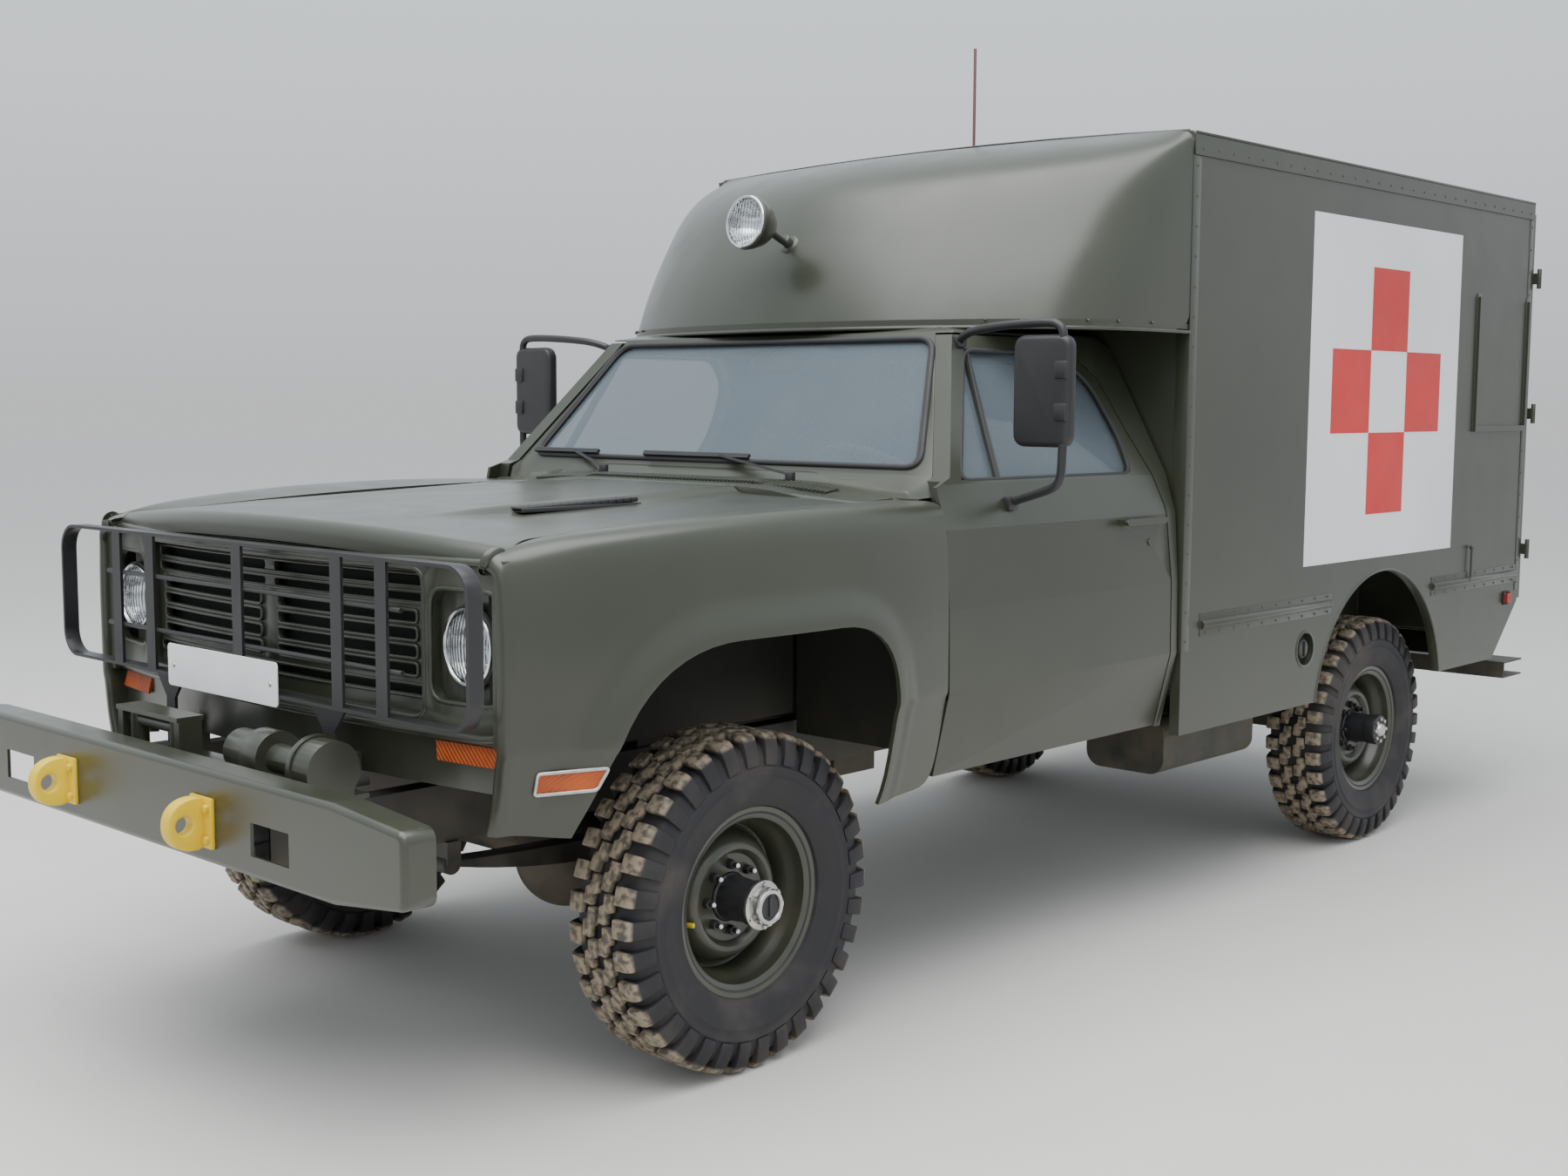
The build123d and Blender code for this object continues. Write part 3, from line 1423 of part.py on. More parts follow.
nose_outer = nose_loft(0.0, nose_sections)
inner_stations = [(x - (nose_wall * 1.3 if x > body_front else 0.0), *rest) for x, *rest in nose_sections]
nose_inner = nose_loft(nose_wall, inner_stations)
with BuildPart() as body_nose:
    add(nose_outer)
    add(nose_inner, mode=Mode.SUBTRACT)
finish(body_nose.part, "body_nose")

# Front wall of the body, open above the cab into the nose
with BuildPart() as body_front_wall:
    with Locations((body_front - body_wall / 2, 0, (bearer_top + side_top) / 2)):
        Box(body_wall, 2 * side_inner, side_top - bearer_top)
    with BuildSketch(cross_plane(body_front - 2 * body_wall)):
        with Locations((0, (nose_bottom + 60 + 2360) / 2)):
            Rectangle(2 * 880, 2360 - nose_bottom - 60)
    extrude(amount=3 * body_wall, mode=Mode.SUBTRACT)
finish(body_front_wall.part, "body_front_wall")

# Rear frame round the doorway with the slanted tail panels, and the two doors against it
frame_post = 56.0
door_low = tail_z + 8.0
door_top = 2404.0
rear_door_depth = 40.0
rear_door_gap = 3.0
hinge_heights = (2147.0, 1598.0, 1039.0)
hinge_x = body_rear - 55.0
hinge_y = 1022.0
hinge_radius = 9.0
field_depth = 6.0
field_border = 170.0
rear_fields = (
    # low z, high z of each pressed field
    (door_low + 110.0, door_low + 660.0),
    (door_low + 760.0, door_top - 130.0),
)
bar_radius = 10.0
bar_y = -70.0
bar_x = body_rear - seat_gap - rear_door_depth - 16.0
bar_guides = (door_low + 60.0, door_low + 480.0, door_low + 1080.0, door_top - 60.0)
lever_z = door_low + 330.0
tail_inner = rail_outer + 16.0

with BuildPart() as body_rear_frame:
    with Locations((body_rear + body_wall / 2, 0, (body_floor_top + side_top) / 2)):
        Box(body_wall, 2 * side_inner, side_top - body_floor_top)
    with Locations((body_rear + body_wall / 2, 0, (tail_z + side_top - 50) / 2)):
        Box(2 * body_wall, 2 * (side_inner - frame_post), side_top - 50 - tail_z, mode=Mode.SUBTRACT)
    with Locations(((body_rear + floor_rear) / 2, 0, (bearer_top + tail_z) / 2)):
        Box(floor_rear - body_rear, 2 * side_inner, tail_z - bearer_top)
    for sign in (1, -1):
        start_y = side_inner if sign > 0 else -tail_inner
        with BuildSketch(side_plane(start_y)):
            outline(
                (
                    (body_rear, tail_z),
                    (tail_x, body_low),
                    (tail_x + tail_sheet, body_low),
                    (body_rear + tail_sheet * 1.5, tail_z),
                )
            )
        extrude(amount=side_inner - tail_inner)
    with BuildSketch(side_plane(side_inner)):
        outline(((body_rear - 1, tail_z), (body_rear - 1, body_low), (tail_x, body_low)))
    extrude(amount=2 * side_inner, mode=Mode.SUBTRACT)
finish(body_rear_frame.part, "body_rear_frame")

with BuildPart() as rear_door_left:
    with Locations((body_rear - seat_gap - rear_door_depth / 2, (rear_door_gap + body_half - 6) / 2,
                    (door_low + door_top) / 2)):
        Box(rear_door_depth, body_half - 6 - rear_door_gap, door_top - door_low)
    with BuildSketch(cross_plane(body_rear - seat_gap - rear_door_depth)):
        for field_low, field_high in rear_fields:
            with Locations(((rear_door_gap + body_half - 6) / 2, (field_low + field_high) / 2)):
                RectangleRounded(body_half - 6 - rear_door_gap - 2 * field_border, field_high - field_low, 40)
    extrude(amount=field_depth, mode=Mode.SUBTRACT)
    for height in hinge_heights:
        with BuildSketch(Plane.XY.offset(height - 40)):
            with Locations((hinge_x, hinge_y)):
                Circle(hinge_radius)
        extrude(amount=80)
        with Locations((hinge_x + 8, (hinge_y + body_half - 160) / 2, height)):
            Box(16, hinge_y - body_half + 160, 44)
with BuildPart() as rear_door_right:
    mirror(rear_door_left.part, about=Plane.XZ)
# The right door closes last, so it carries the locking bar with its guides and lever
with BuildPart() as rear_door_locking:
    add(rear_door_right.part)
    with BuildSketch(Plane.XY.offset(door_low + 20)):
        with Locations((bar_x, bar_y)):
            Circle(bar_radius)
    extrude(amount=door_top - door_low - 40)
    for guide_z in bar_guides:
        with Locations((bar_x + 8, bar_y, guide_z)):
            Box(28, 46, 36)
    with Locations((bar_x - 8, bar_y - 90, lever_z)):
        Box(14, 220, 26)
    with Locations((bar_x + 4, bar_y - 170, lever_z)):
        Box(38, 30, 46)
finish(rear_door_left.part, "rear_door_left")
finish(rear_door_locking.part, "rear_door_right")

# Tail lamps on the rear frame's lower panel and red markers on the sides
with BuildPart() as tail_lamps:
    for sign in (1, -1):
        with Locations((ahead(-4332), sign * (body_half + 9), 847)):
            Box(44, 18, 40)
        with Locations((body_rear + 60, sign * 780, 735)):
            Box(90, 120, 60)
    add(body_rear_frame.part, mode=Mode.SUBTRACT)
    with BuildSketch(side_plane(side_inner)):
        outline(((body_rear + 40, tail_z), (tail_x + 40, body_low), (tail_x + 400, body_low), (tail_x + 400, tail_z)))
    extrude(amount=2 * side_inner, mode=Mode.SUBTRACT)
finish(tail_lamps.part, "tail_lamps")

# Spotlight on the nose and the aerial on the roof
with BuildPart() as spotlight:
    with BuildSketch(Plane(origin=(ahead(-1150), 0, 2110), x_dir=(0, 1, 0), z_dir=(0.85, 0, 0.5))):
        Circle(45)
    extrude(amount=75)
    with BuildSketch(Plane(origin=(ahead(-1110), 0, 2130), x_dir=(0, 1, 0), z_dir=(0.85, 0, 0.5))):
        Circle(14)
    extrude(amount=130)
    with BuildSketch(Plane(origin=(ahead(-1000), 0, 2185), x_dir=(0, 1, 0), z_dir=(1, 0, 0))) as cup_back:
        Circle(40)
    with BuildSketch(Plane(origin=(ahead(-890), 0, 2185), x_dir=(0, 1, 0), z_dir=(1, 0, 0))) as cup_front:
        Circle(82)
    loft(sections=[cup_back.sketch, cup_front.sketch])
    add(nose_outer, mode=Mode.SUBTRACT)
finish(spotlight.part, "spotlight")

aerial_x = ahead(-2034)
with BuildPart() as aerial:
    with BuildSketch(Plane.XY.offset(body_top + crown - 6)):
        with Locations((aerial_x, 0)):
            Circle(22)
    extrude(amount=36)
    with BuildSketch(Plane.XY.offset(body_top + crown + 20)):
        with Locations((aerial_x, 0)):
            Circle(5)
    extrude(amount=350)
    add(body_roof.part, mode=Mode.SUBTRACT)
finish(aerial.part, "aerial")

# Wipers: arms from the cowl with blades along the foot of the windscreen
blade_rise = 34.0
blade_gap = 10.0
blade_depth = 10.0
spindle_x = ahead(-655)
spindle_low, spindle_high = 1395.0, 1436.0
spindle_radius = 15.0
arm_width, arm_thickness = 15.0, 7.0
wiper_rows = (
    # pivot y, arm end y, blade left end y, blade right end y
    (420.0, 60.0, 180.0, -275.0),
    (-375.0, -600.0, -490.0, -805.0),
)
with BuildPart() as wipers:
    for pivot_y, arm_y, blade_left, blade_right in wiper_rows:
        with BuildSketch(screen_plane.offset(blade_gap)):
            with Locations(((blade_left + blade_right) / 2, -screen_length / 2 + blade_rise)):
                Rectangle(blade_left - blade_right, blade_depth + 4)
        extrude(amount=blade_depth)
        with BuildSketch(Plane.XY.offset(spindle_low)):
            with Locations((spindle_x, pivot_y)):
                Circle(spindle_radius)
        extrude(amount=spindle_high - spindle_low)
        arm_start = Vector(spindle_x, pivot_y, spindle_high - arm_thickness)
        arm_end = screen_plane.from_local_coords(
            Vector(arm_y, -screen_length / 2 + blade_rise, blade_gap + blade_depth / 2)
        )
        with BuildSketch(Plane(origin=arm_start, x_dir=(0.3, 0.3, -0.9), z_dir=arm_end - arm_start)):
            Rectangle(arm_thickness, arm_width)
        extrude(amount=(arm_end - arm_start).length)
    add(cab.part, mode=Mode.SUBTRACT)
finish(wipers.part, "wipers")
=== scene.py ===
"""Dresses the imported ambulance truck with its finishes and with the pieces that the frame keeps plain."""

import json
import logging
import math
from dataclasses import dataclass, field
from enum import Enum
from typing import Callable, Iterable, Sequence, Union

import bmesh
import bpy
from mathutils import Matrix, Vector

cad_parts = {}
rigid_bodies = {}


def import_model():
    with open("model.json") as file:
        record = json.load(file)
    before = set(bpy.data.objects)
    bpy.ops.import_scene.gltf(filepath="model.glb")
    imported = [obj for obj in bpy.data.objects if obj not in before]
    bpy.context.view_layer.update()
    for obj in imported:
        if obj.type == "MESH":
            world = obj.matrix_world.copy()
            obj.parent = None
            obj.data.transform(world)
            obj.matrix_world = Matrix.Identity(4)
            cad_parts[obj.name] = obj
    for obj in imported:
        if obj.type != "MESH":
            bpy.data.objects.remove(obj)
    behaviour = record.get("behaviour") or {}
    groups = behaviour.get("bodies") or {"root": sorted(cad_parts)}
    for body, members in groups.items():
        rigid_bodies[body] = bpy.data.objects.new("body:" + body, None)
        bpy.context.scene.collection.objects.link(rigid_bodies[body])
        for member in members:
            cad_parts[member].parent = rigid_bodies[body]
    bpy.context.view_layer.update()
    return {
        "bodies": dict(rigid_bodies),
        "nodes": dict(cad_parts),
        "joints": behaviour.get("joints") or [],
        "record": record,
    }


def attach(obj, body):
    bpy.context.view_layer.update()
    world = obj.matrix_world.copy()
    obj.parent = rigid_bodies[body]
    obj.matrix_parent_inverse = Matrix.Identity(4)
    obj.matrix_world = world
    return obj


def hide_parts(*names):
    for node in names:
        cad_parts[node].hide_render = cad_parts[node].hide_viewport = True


LOG = logging.getLogger("truck")
Colour = tuple[float, float, float]
Point = tuple[float, float, float]
Value = Union[float, tuple, bpy.types.NodeSocket]

AXLE = 1.7325
WHEELBASE = 3.327
HUB_HEIGHT = 0.421
WHEEL_Y = 0.815
BODY_HALF = 1.010
FULL_TURN = 2 * math.pi
WELD_DISTANCE = 0.00002
CREASE_ANGLE = math.radians(38)
EDGE_RADIUS = 0.0022


def ahead(distance: float) -> float:
    """Place along X of a point a distance in front of the front axle."""
    return AXLE + distance


class Socket(Enum):
    """Principled shader inputs that the finishes set."""

    COLOUR = "Base Color"
    ROUGHNESS = "Roughness"
    METAL = "Metallic"
    NORMAL = "Normal"
    GLASS = "Transmission Weight"
    ALPHA = "Alpha"


class Sheet:
    """Node tree of one material, built up from small steps."""

    def __init__(self, name: str) -> None:
        """Starts an empty material with its shader.

        Args:
            name: Name of the material.
        """
        self.material = bpy.data.materials.new(name)
        self.material.use_nodes = True
        self.tree = self.material.node_tree
        self.tree.nodes.clear()
        out = self.tree.nodes.new("ShaderNodeOutputMaterial")
        self.shader = self.tree.nodes.new("ShaderNodeBsdfPrincipled")
        self.tree.links.new(self.shader.outputs[0], out.inputs[0])
        self.place = self.tree.nodes.new("ShaderNodeTexCoord").outputs["Object"]

    def node(self, kind: str, **settings) -> bpy.types.Node:
        """Adds a node and sets its properties.

        Args:
            kind: Type of the node.
            **settings: Properties to set on it.

        Returns:
            The new node.
        """
        made = self.tree.nodes.new(kind)
        for key, value in settings.items():
            setattr(made, key, value)
        return made

    def feed(self, socket: bpy.types.NodeSocket, value: Value) -> None:
        """Links a socket to another, or sets its value.

        Args:
            socket: Input to feed.
            value: Another socket, a number or a colour.
        """
        if isinstance(value, bpy.types.NodeSocket):
            self.tree.links.new(value, socket)
        elif isinstance(value, tuple) and len(value) == 3 and socket.type == "RGBA":
            socket.default_value = (*value, 1.0)
        else:
            socket.default_value = value

    def set(self, socket: Socket, value: Value) -> "Sheet":
        """Feeds one of the shader's inputs."""
        self.feed(self.shader.inputs[socket.value], value)
        return self

    def noise(self, scale: float, detail: float = 4.0, stretch: Point = (1.0, 1.0, 1.0),
              shift: float = 0.0) -> bpy.types.NodeSocket:
        """Noise over the object's own coordinates.

        Args:
            scale: How fine the noise is.
            detail: Octaves of the noise.
            stretch: Scale along each axis.
            shift: Offset that makes one noise differ from another.

        Returns:
            The noise's factor socket.
        """
        mapping = self.node("ShaderNodeMapping")
        mapping.inputs["Scale"].default_value = stretch
        mapping.inputs["Location"].default_value = (shift, shift * 0.7, shift * 0.3)
        self.feed(mapping.inputs["Vector"], self.place)
        made = self.node("ShaderNodeTexNoise")
        made.inputs["Scale"].default_value = scale
        made.inputs["Detail"].default_value = detail
        self.feed(made.inputs["Vector"], mapping.outputs[0])
        return made.outputs[0]

    def ramp(self, value: Value, start: float, end: float, low: float = 0.0,
             high: float = 1.0) -> bpy.types.NodeSocket:
        """Maps a value from one range to another, clamped.

        Args:
            value: What is mapped.
            start: Start of the first range.
            end: End of the first range.
            low: Start of the second range.
            high: End of the second range.

        Returns:
            The mapped value.
        """
        made = self.node("ShaderNodeMapRange")
        for name, number in (("From Min", start), ("From Max", end), ("To Min", low), ("To Max", high)):
            made.inputs[name].default_value = number
        self.feed(made.inputs["Value"], value)
        return made.outputs[0]

    def math(self, operation: str, first: Value, second: Value = 0.0) -> bpy.types.NodeSocket:
        """Arithmetic of two values.

        Args:
            operation: Name of the operation.
            first: First value.
            second: Second value.

        Returns:
            The result.
        """
        made = self.node("ShaderNodeMath", operation=operation, use_clamp=operation == "MULTIPLY")
        self.feed(made.inputs[0], first)
        self.feed(made.inputs[1], second)
        return made.outputs[0]

    def mix(self, factor: Value, first: Value, second: Value) -> bpy.types.NodeSocket:
        """Mixes two colours.

        Args:
            factor: Share of the second colour.
            first: First colour.
            second: Second colour.

        Returns:
            The mixed colour.
        """
        made = self.node("ShaderNodeMix", data_type="RGBA")
        self.feed(made.inputs[0], factor)
        self.feed(made.inputs[6], first)
        self.feed(made.inputs[7], second)
        return made.outputs[2]

    def height(self) -> bpy.types.NodeSocket:
        """Height above the floor."""
        made = self.node("ShaderNodeSeparateXYZ")
        self.feed(made.inputs[0], self.place)
        return made.outputs[2]

    def edges(self, radius: float) -> bpy.types.NodeSocket:
        """Mask that is 1 near sharp edges and 0 on flat ground.

        Args:
            radius: How far the mask reaches from an edge.

        Returns:
            The mask.
        """
        bevel = self.node("ShaderNodeBevel", samples=4)
        bevel.inputs["Radius"].default_value = radius
        facing = self.node("ShaderNodeVectorMath", operation="DOT_PRODUCT")
        self.feed(facing.inputs[0], bevel.outputs[0])
        self.feed(facing.inputs[1], self.node("ShaderNodeNewGeometry").outputs["Normal"])
        return self.ramp(facing.outputs["Value"], 0.995, 0.9)

    def bump(self, value: Value, strength: float, distance: float) -> "Sheet":
        """Adds a bump to the shader's normal, on top of one made before.

        Args:
            value: Height of the bump.
            strength: Its strength.
            distance: Its depth.

        Returns:
            This sheet.
        """
        made = self.node("ShaderNodeBump")
        made.inputs["Strength"].default_value = strength
        made.inputs["Distance"].default_value = distance
        self.feed(made.inputs["Height"], value)
        before = self.shader.inputs["Normal"]
        if before.is_linked:
            self.feed(made.inputs["Normal"], before.links[0].from_socket)
        return self.set(Socket.NORMAL, made.outputs[0])


@dataclass(frozen=True)
class Paint:
    """Brushed or sprayed paint with blotches, dust low down and worn edges."""

    name: str
    base: Colour
    shade: Colour
    rough: tuple[float, float] = (0.42, 0.56)
    dust: float = 0.35
    dust_top: float = 1.1
    wear: float = 0.35
    worn: Colour = (0.16, 0.165, 0.125)
    orange_peel: float = 0.08
    coat: float = 0.0

    def make(self) -> bpy.types.Material:
        """Builds the material.

        Returns:
            The material.
        """
        sheet = Sheet(self.name)
        sheet.shader.inputs["Specular IOR Level"].default_value = 0.4
        sheet.shader.inputs["Coat Weight"].default_value = self.coat
        sheet.shader.inputs["Coat Roughness"].default_value = 0.28
        broad = sheet.noise(1.3, 3.0)
        blotch = sheet.noise(7.0, 5.0, shift=3.1)
        colour = sheet.mix(sheet.ramp(broad, 0.35, 0.65), self.base, self.shade)
        streaks = sheet.noise(9.0, 3.0, stretch=(1.0, 1.0, 0.12), shift=7.7)
        colour = sheet.mix(sheet.ramp(streaks, 0.5, 0.8, 0.0, 0.22), colour, self.shade)
        if self.wear:
            rub = sheet.math("MULTIPLY", sheet.edges(0.004), sheet.ramp(blotch, 0.4, 0.7, 0.0, self.wear))
            colour = sheet.mix(rub, colour, self.worn)
        if self.dust:
            low = sheet.ramp(sheet.height(), 0.25, self.dust_top, self.dust, 0.0)
            cover = sheet.math("MULTIPLY", low, sheet.ramp(blotch, 0.3, 0.62))
            colour = sheet.mix(cover, colour, (0.27, 0.215, 0.15))
        sheet.set(Socket.COLOUR, colour)
        sheet.set(Socket.ROUGHNESS, sheet.ramp(blotch, 0.3, 0.7, self.rough[0], self.rough[1]))
        sheet.shader.inputs["Specular IOR Level"].default_value = 0.5
        sheet.bump(sheet.noise(420.0, 2.0), self.orange_peel, 0.0006)
        sheet.bump(broad, 0.12, 0.02)
        return sheet.material


@dataclass(frozen=True)
class Metal:
    """Bare or plated metal with fine scratches."""

    name: str
    base: Colour
    rough: tuple[float, float]
    grime: Colour = (0.08, 0.07, 0.06)
    grime_amount: float = 0.4

    def make(self) -> bpy.types.Material:
        """Builds the material.

        Returns:
            The material.
        """
        sheet = Sheet(self.name)
        marks = sheet.noise(30.0, 6.0)
        sheet.set(Socket.COLOUR, sheet.mix(sheet.ramp(marks, 0.5, 0.75, 0.0, self.grime_amount), self.base,
                                           self.grime))
        sheet.set(Socket.METAL, 1.0)
        sheet.set(Socket.ROUGHNESS, sheet.ramp(marks, 0.3, 0.7, self.rough[0], self.rough[1]))
        sheet.bump(sheet.noise(300.0, 2.0), 0.06, 0.0005)
        return sheet.material


@dataclass(frozen=True)
class Rubber:
    """Tyre or seal rubber, with sand on what touches the ground."""

    name: str
    base: Colour = (0.009, 0.008, 0.0095)
    bloom: Colour = (0.017, 0.016, 0.021)
    sand: Colour = (0.29, 0.235, 0.165)
    sand_from: float = 10.0
    sand_full: float = 11.0

    def make(self) -> bpy.types.Material:
        """Builds the material. Sand follows the attribute named "reach", the distance from the axle.

        Returns:
            The material.
        """
        sheet = Sheet(self.name)
        cloud = sheet.noise(6.0, 5.0)
        fine = sheet.noise(55.0, 6.0, shift=2.2)
        colour = sheet.mix(sheet.ramp(cloud, 0.3, 0.7), self.base, self.bloom)
        if self.sand_from < 1.0:
            reach = sheet.node("ShaderNodeAttribute", attribute_name="reach").outputs["Fac"]
            band = sheet.ramp(reach, self.sand_from, self.sand_full)
            cover = sheet.math("MULTIPLY", band, sheet.ramp(fine, 0.38, 0.56, 0.25, 0.95))
            colour = sheet.mix(cover, colour, self.sand)
            haze = sheet.ramp(cloud, 0.45, 0.8, 0.0, 0.18)
            colour = sheet.mix(haze, colour, self.sand)
        sheet.set(Socket.COLOUR, colour)
        sheet.set(Socket.ROUGHNESS, sheet.ramp(cloud, 0.3, 0.7, 0.55, 0.8))
        sheet.bump(fine, 0.25, 0.0015)
        return sheet.material


@dataclass(frozen=True)
class Clear:
    """Window or lens glass, a little dusty; with a sheen veil the window's tint is a painted reflection of
    the sky.
    """

    name: str
    tint: Colour = (0.86, 0.93, 0.95)
    haze: float = 0.10
    ribs: float = 0.0
    sheen_veil: float = 0.0

    def make(self) -> bpy.types.Material:
        """Builds the material.

        Returns:
            The material.
        """
        sheet = Sheet(self.name)
        dust = sheet.noise(5.0, 5.0)
        sheet.set(Socket.COLOUR, sheet.mix(sheet.ramp(dust, 0.4, 0.8, 0.0, self.haze), self.tint,
                                           (0.6, 0.6, 0.58)))
        sheet.set(Socket.ROUGHNESS, sheet.ramp(dust, 0.4, 0.8, 0.02, 0.02 + self.haze * 0.6))
        # Painted reflection: with a veil the glass is partly opaque, so its tint paints the sky's pale
        # reflection; the haze over it is real dust.
        if self.sheen_veil:
            sheet.set(Socket.ALPHA, sheet.ramp(dust, 0.3, 0.8, self.sheen_veil, self.sheen_veil + self.haze))
        else:
            sheet.set(Socket.GLASS, sheet.ramp(dust, 0.4, 0.8, 1.0, 1.0 - self.haze))
        sheet.shader.inputs["IOR"].default_value = 1.45
        if self.ribs:
            wave = sheet.node("ShaderNodeTexWave", wave_type="BANDS", bands_direction="Y")
            wave.inputs["Scale"].default_value = self.ribs
            sheet.feed(wave.inputs["Vector"], sheet.place)
            sheet.bump(wave.outputs[1], 0.6, 0.003)
        return sheet.material


@dataclass(frozen=True)
class Plastic:
    """Moulded plastic, enamel, reflective film, or a near-black sheet of painted shade."""

    name: str
    base: Colour
    shade: Colour
    rough: tuple[float, float] = (0.3, 0.45)
    glow: float = 0.0
    cells: float = 0.0
    dust: float = 0.0

    def make(self) -> bpy.types.Material:
        """Builds the material.

        Returns:
            The material.
        """
        sheet = Sheet(self.name)
        cloud = sheet.noise(9.0, 5.0)
        colour = sheet.mix(sheet.ramp(cloud, 0.35, 0.7), self.base, self.shade)
        if self.dust:
            spots = sheet.ramp(sheet.noise(26.0, 6.0, shift=5.0), 0.55, 0.75, 0.0, self.dust)
            colour = sheet.mix(spots, colour, (0.3, 0.25, 0.18))
        sheet.set(Socket.COLOUR, colour)
        sheet.set(Socket.ROUGHNESS, sheet.ramp(cloud, 0.3, 0.7, self.rough[0], self.rough[1]))
        if self.glow:
            sheet.set(Socket.GLASS, self.glow)
        if self.cells:
            wave = sheet.node("ShaderNodeTexWave", wave_type="BANDS", bands_direction="DIAGONAL")
            wave.inputs["Scale"].default_value = self.cells
            sheet.feed(wave.inputs["Vector"], sheet.place)
            sheet.bump(wave.outputs[1], 0.5, 0.002)
        sheet.bump(sheet.noise(260.0, 3.0), 0.06, 0.0006)
        return sheet.material


@dataclass(frozen=True)
class Vinyl:
    """Coated seat cloth with a woven grain."""

    name: str
    base: Colour = (0.035, 0.034, 0.032)
    worn: Colour = (0.085, 0.08, 0.072)

    def make(self) -> bpy.types.Material:
        """Builds the material.

        Returns:
            The material.
        """
        sheet = Sheet(self.name)
        cloud = sheet.noise(5.0, 5.0)
        sheet.set(Socket.COLOUR, sheet.mix(sheet.ramp(cloud, 0.4, 0.7), self.base, self.worn))
        sheet.set(Socket.ROUGHNESS, sheet.ramp(cloud, 0.3, 0.7, 0.5, 0.7))
        grain = sheet.node("ShaderNodeTexVoronoi")
        grain.inputs["Scale"].default_value = 320.0
        sheet.feed(grain.inputs["Vector"], sheet.place)
        sheet.bump(grain.outputs[0], 0.3, 0.001)
        return sheet.material


class Finish(Enum):
    """Every finish on the truck."""

    BODY = Paint("olive_body", (0.0345, 0.0380, 0.0245), (0.0285, 0.0315, 0.0205), rough=(0.28, 0.38),
                 dust=0.08, worn=(0.075, 0.079, 0.062), coat=0.35)
    CHASSIS = Paint("olive_chassis", (0.032, 0.034, 0.027), (0.020, 0.020, 0.017), rough=(0.55, 0.75),
                    dust=0.45, dust_top=0.9)
    BLACK = Paint("black_paint", (0.012, 0.012, 0.014), (0.022, 0.021, 0.022), rough=(0.3, 0.5), dust=0.0,
                  wear=0.5, worn=(0.09, 0.085, 0.08))
    YELLOW = Paint("yellow_enamel", (0.80, 0.56, 0.012), (0.70, 0.46, 0.01), rough=(0.35, 0.5), dust=0.12,
                   wear=0.6, worn=(0.3, 0.24, 0.1))
    WHITE = Paint("white_panel", (0.78, 0.79, 0.80), (0.70, 0.72, 0.74), rough=(0.35, 0.5), dust=0.0,
                  wear=0.0)
    RED = Paint("red_cross", (0.62, 0.022, 0.022), (0.5, 0.018, 0.018), rough=(0.35, 0.5), dust=0.0, wear=0.0)
    WHIP = Paint("aerial_whip", (0.10, 0.018, 0.012), (0.06, 0.012, 0.01), rough=(0.4, 0.5), dust=0.0,
                 wear=0.0)
    TYRE = Rubber("sandy_tyre_rubber", sand_from=0.401, sand_full=0.4095)
    SEAL = Rubber("seal_rubber", base=(0.02, 0.02, 0.02), bloom=(0.03, 0.03, 0.032))
    # Painted reflection: this bluish tint on partly opaque glass stands in for the sky reflected in the
    # windows.
    GLASS = Clear("window_glass", tint=(0.17, 0.21, 0.24), haze=0.02, sheen_veil=0.40)
    LENS = Clear("headlamp_lens", tint=(0.95, 0.97, 1.0), haze=0.04, ribs=26.0)
    CHROME = Metal("chrome", (0.78, 0.79, 0.8), (0.08, 0.2), grime_amount=0.25)
    STEEL = Metal("hub_steel", (0.55, 0.54, 0.52), (0.25, 0.5))
    CAST = Paint("cast_iron", (0.05, 0.05, 0.048), (0.03, 0.03, 0.03), rough=(0.6, 0.8), dust=0.3)
    AMBER = Plastic("amber_lamp_lens", (0.48, 0.085, 0.006), (0.30, 0.045, 0.004), rough=(0.12, 0.25),
                    glow=0.05, cells=60.0)
    RED_LENS = Plastic("red_lamp_lens", (0.55, 0.02, 0.02), (0.4, 0.015, 0.015), rough=(0.12, 0.25),
                       glow=0.3, cells=60.0)
    PLATE = Plastic("blank_plate", (0.84, 0.85, 0.85), (0.78, 0.79, 0.79), rough=(0.22, 0.32), dust=0.08)
    DARK = Plastic("dark_cab_plastic", (0.018, 0.018, 0.019), (0.03, 0.03, 0.031), rough=(0.45, 0.65))
    # Painted shade: a near-black sheet set behind the grille slots and under the cowl louvres, where only
    # shade falls.
    SHADOW = Plastic("painted_shade_black", (0.008, 0.008, 0.008), (0.012, 0.012, 0.011), rough=(0.8, 0.95))
    SEAT = Vinyl("seat_vinyl")

    def material(self) -> bpy.types.Material:
        """The built material, made once."""
        return bpy.data.materials.get(self.value.name) or self.value.make()


SLOTS = {Finish.TYRE: "tyre_rubber", Finish.BODY: "body_green", Finish.CHASSIS: "chassis_green",
         Finish.BLACK: "black_metal", Finish.STEEL: "chassis_green", Finish.DARK: "dark_plastic",
         Finish.YELLOW: "yellow_paint", Finish.SEAL: "tyre_rubber", Finish.SHADOW: "black_metal",
         Finish.CHROME: "black_metal", Finish.PLATE: "dark_plastic", Finish.AMBER: "amber_lens",
         Finish.LENS: "lamp_glass", Finish.WHITE: "body_green", Finish.RED: "body_green"}


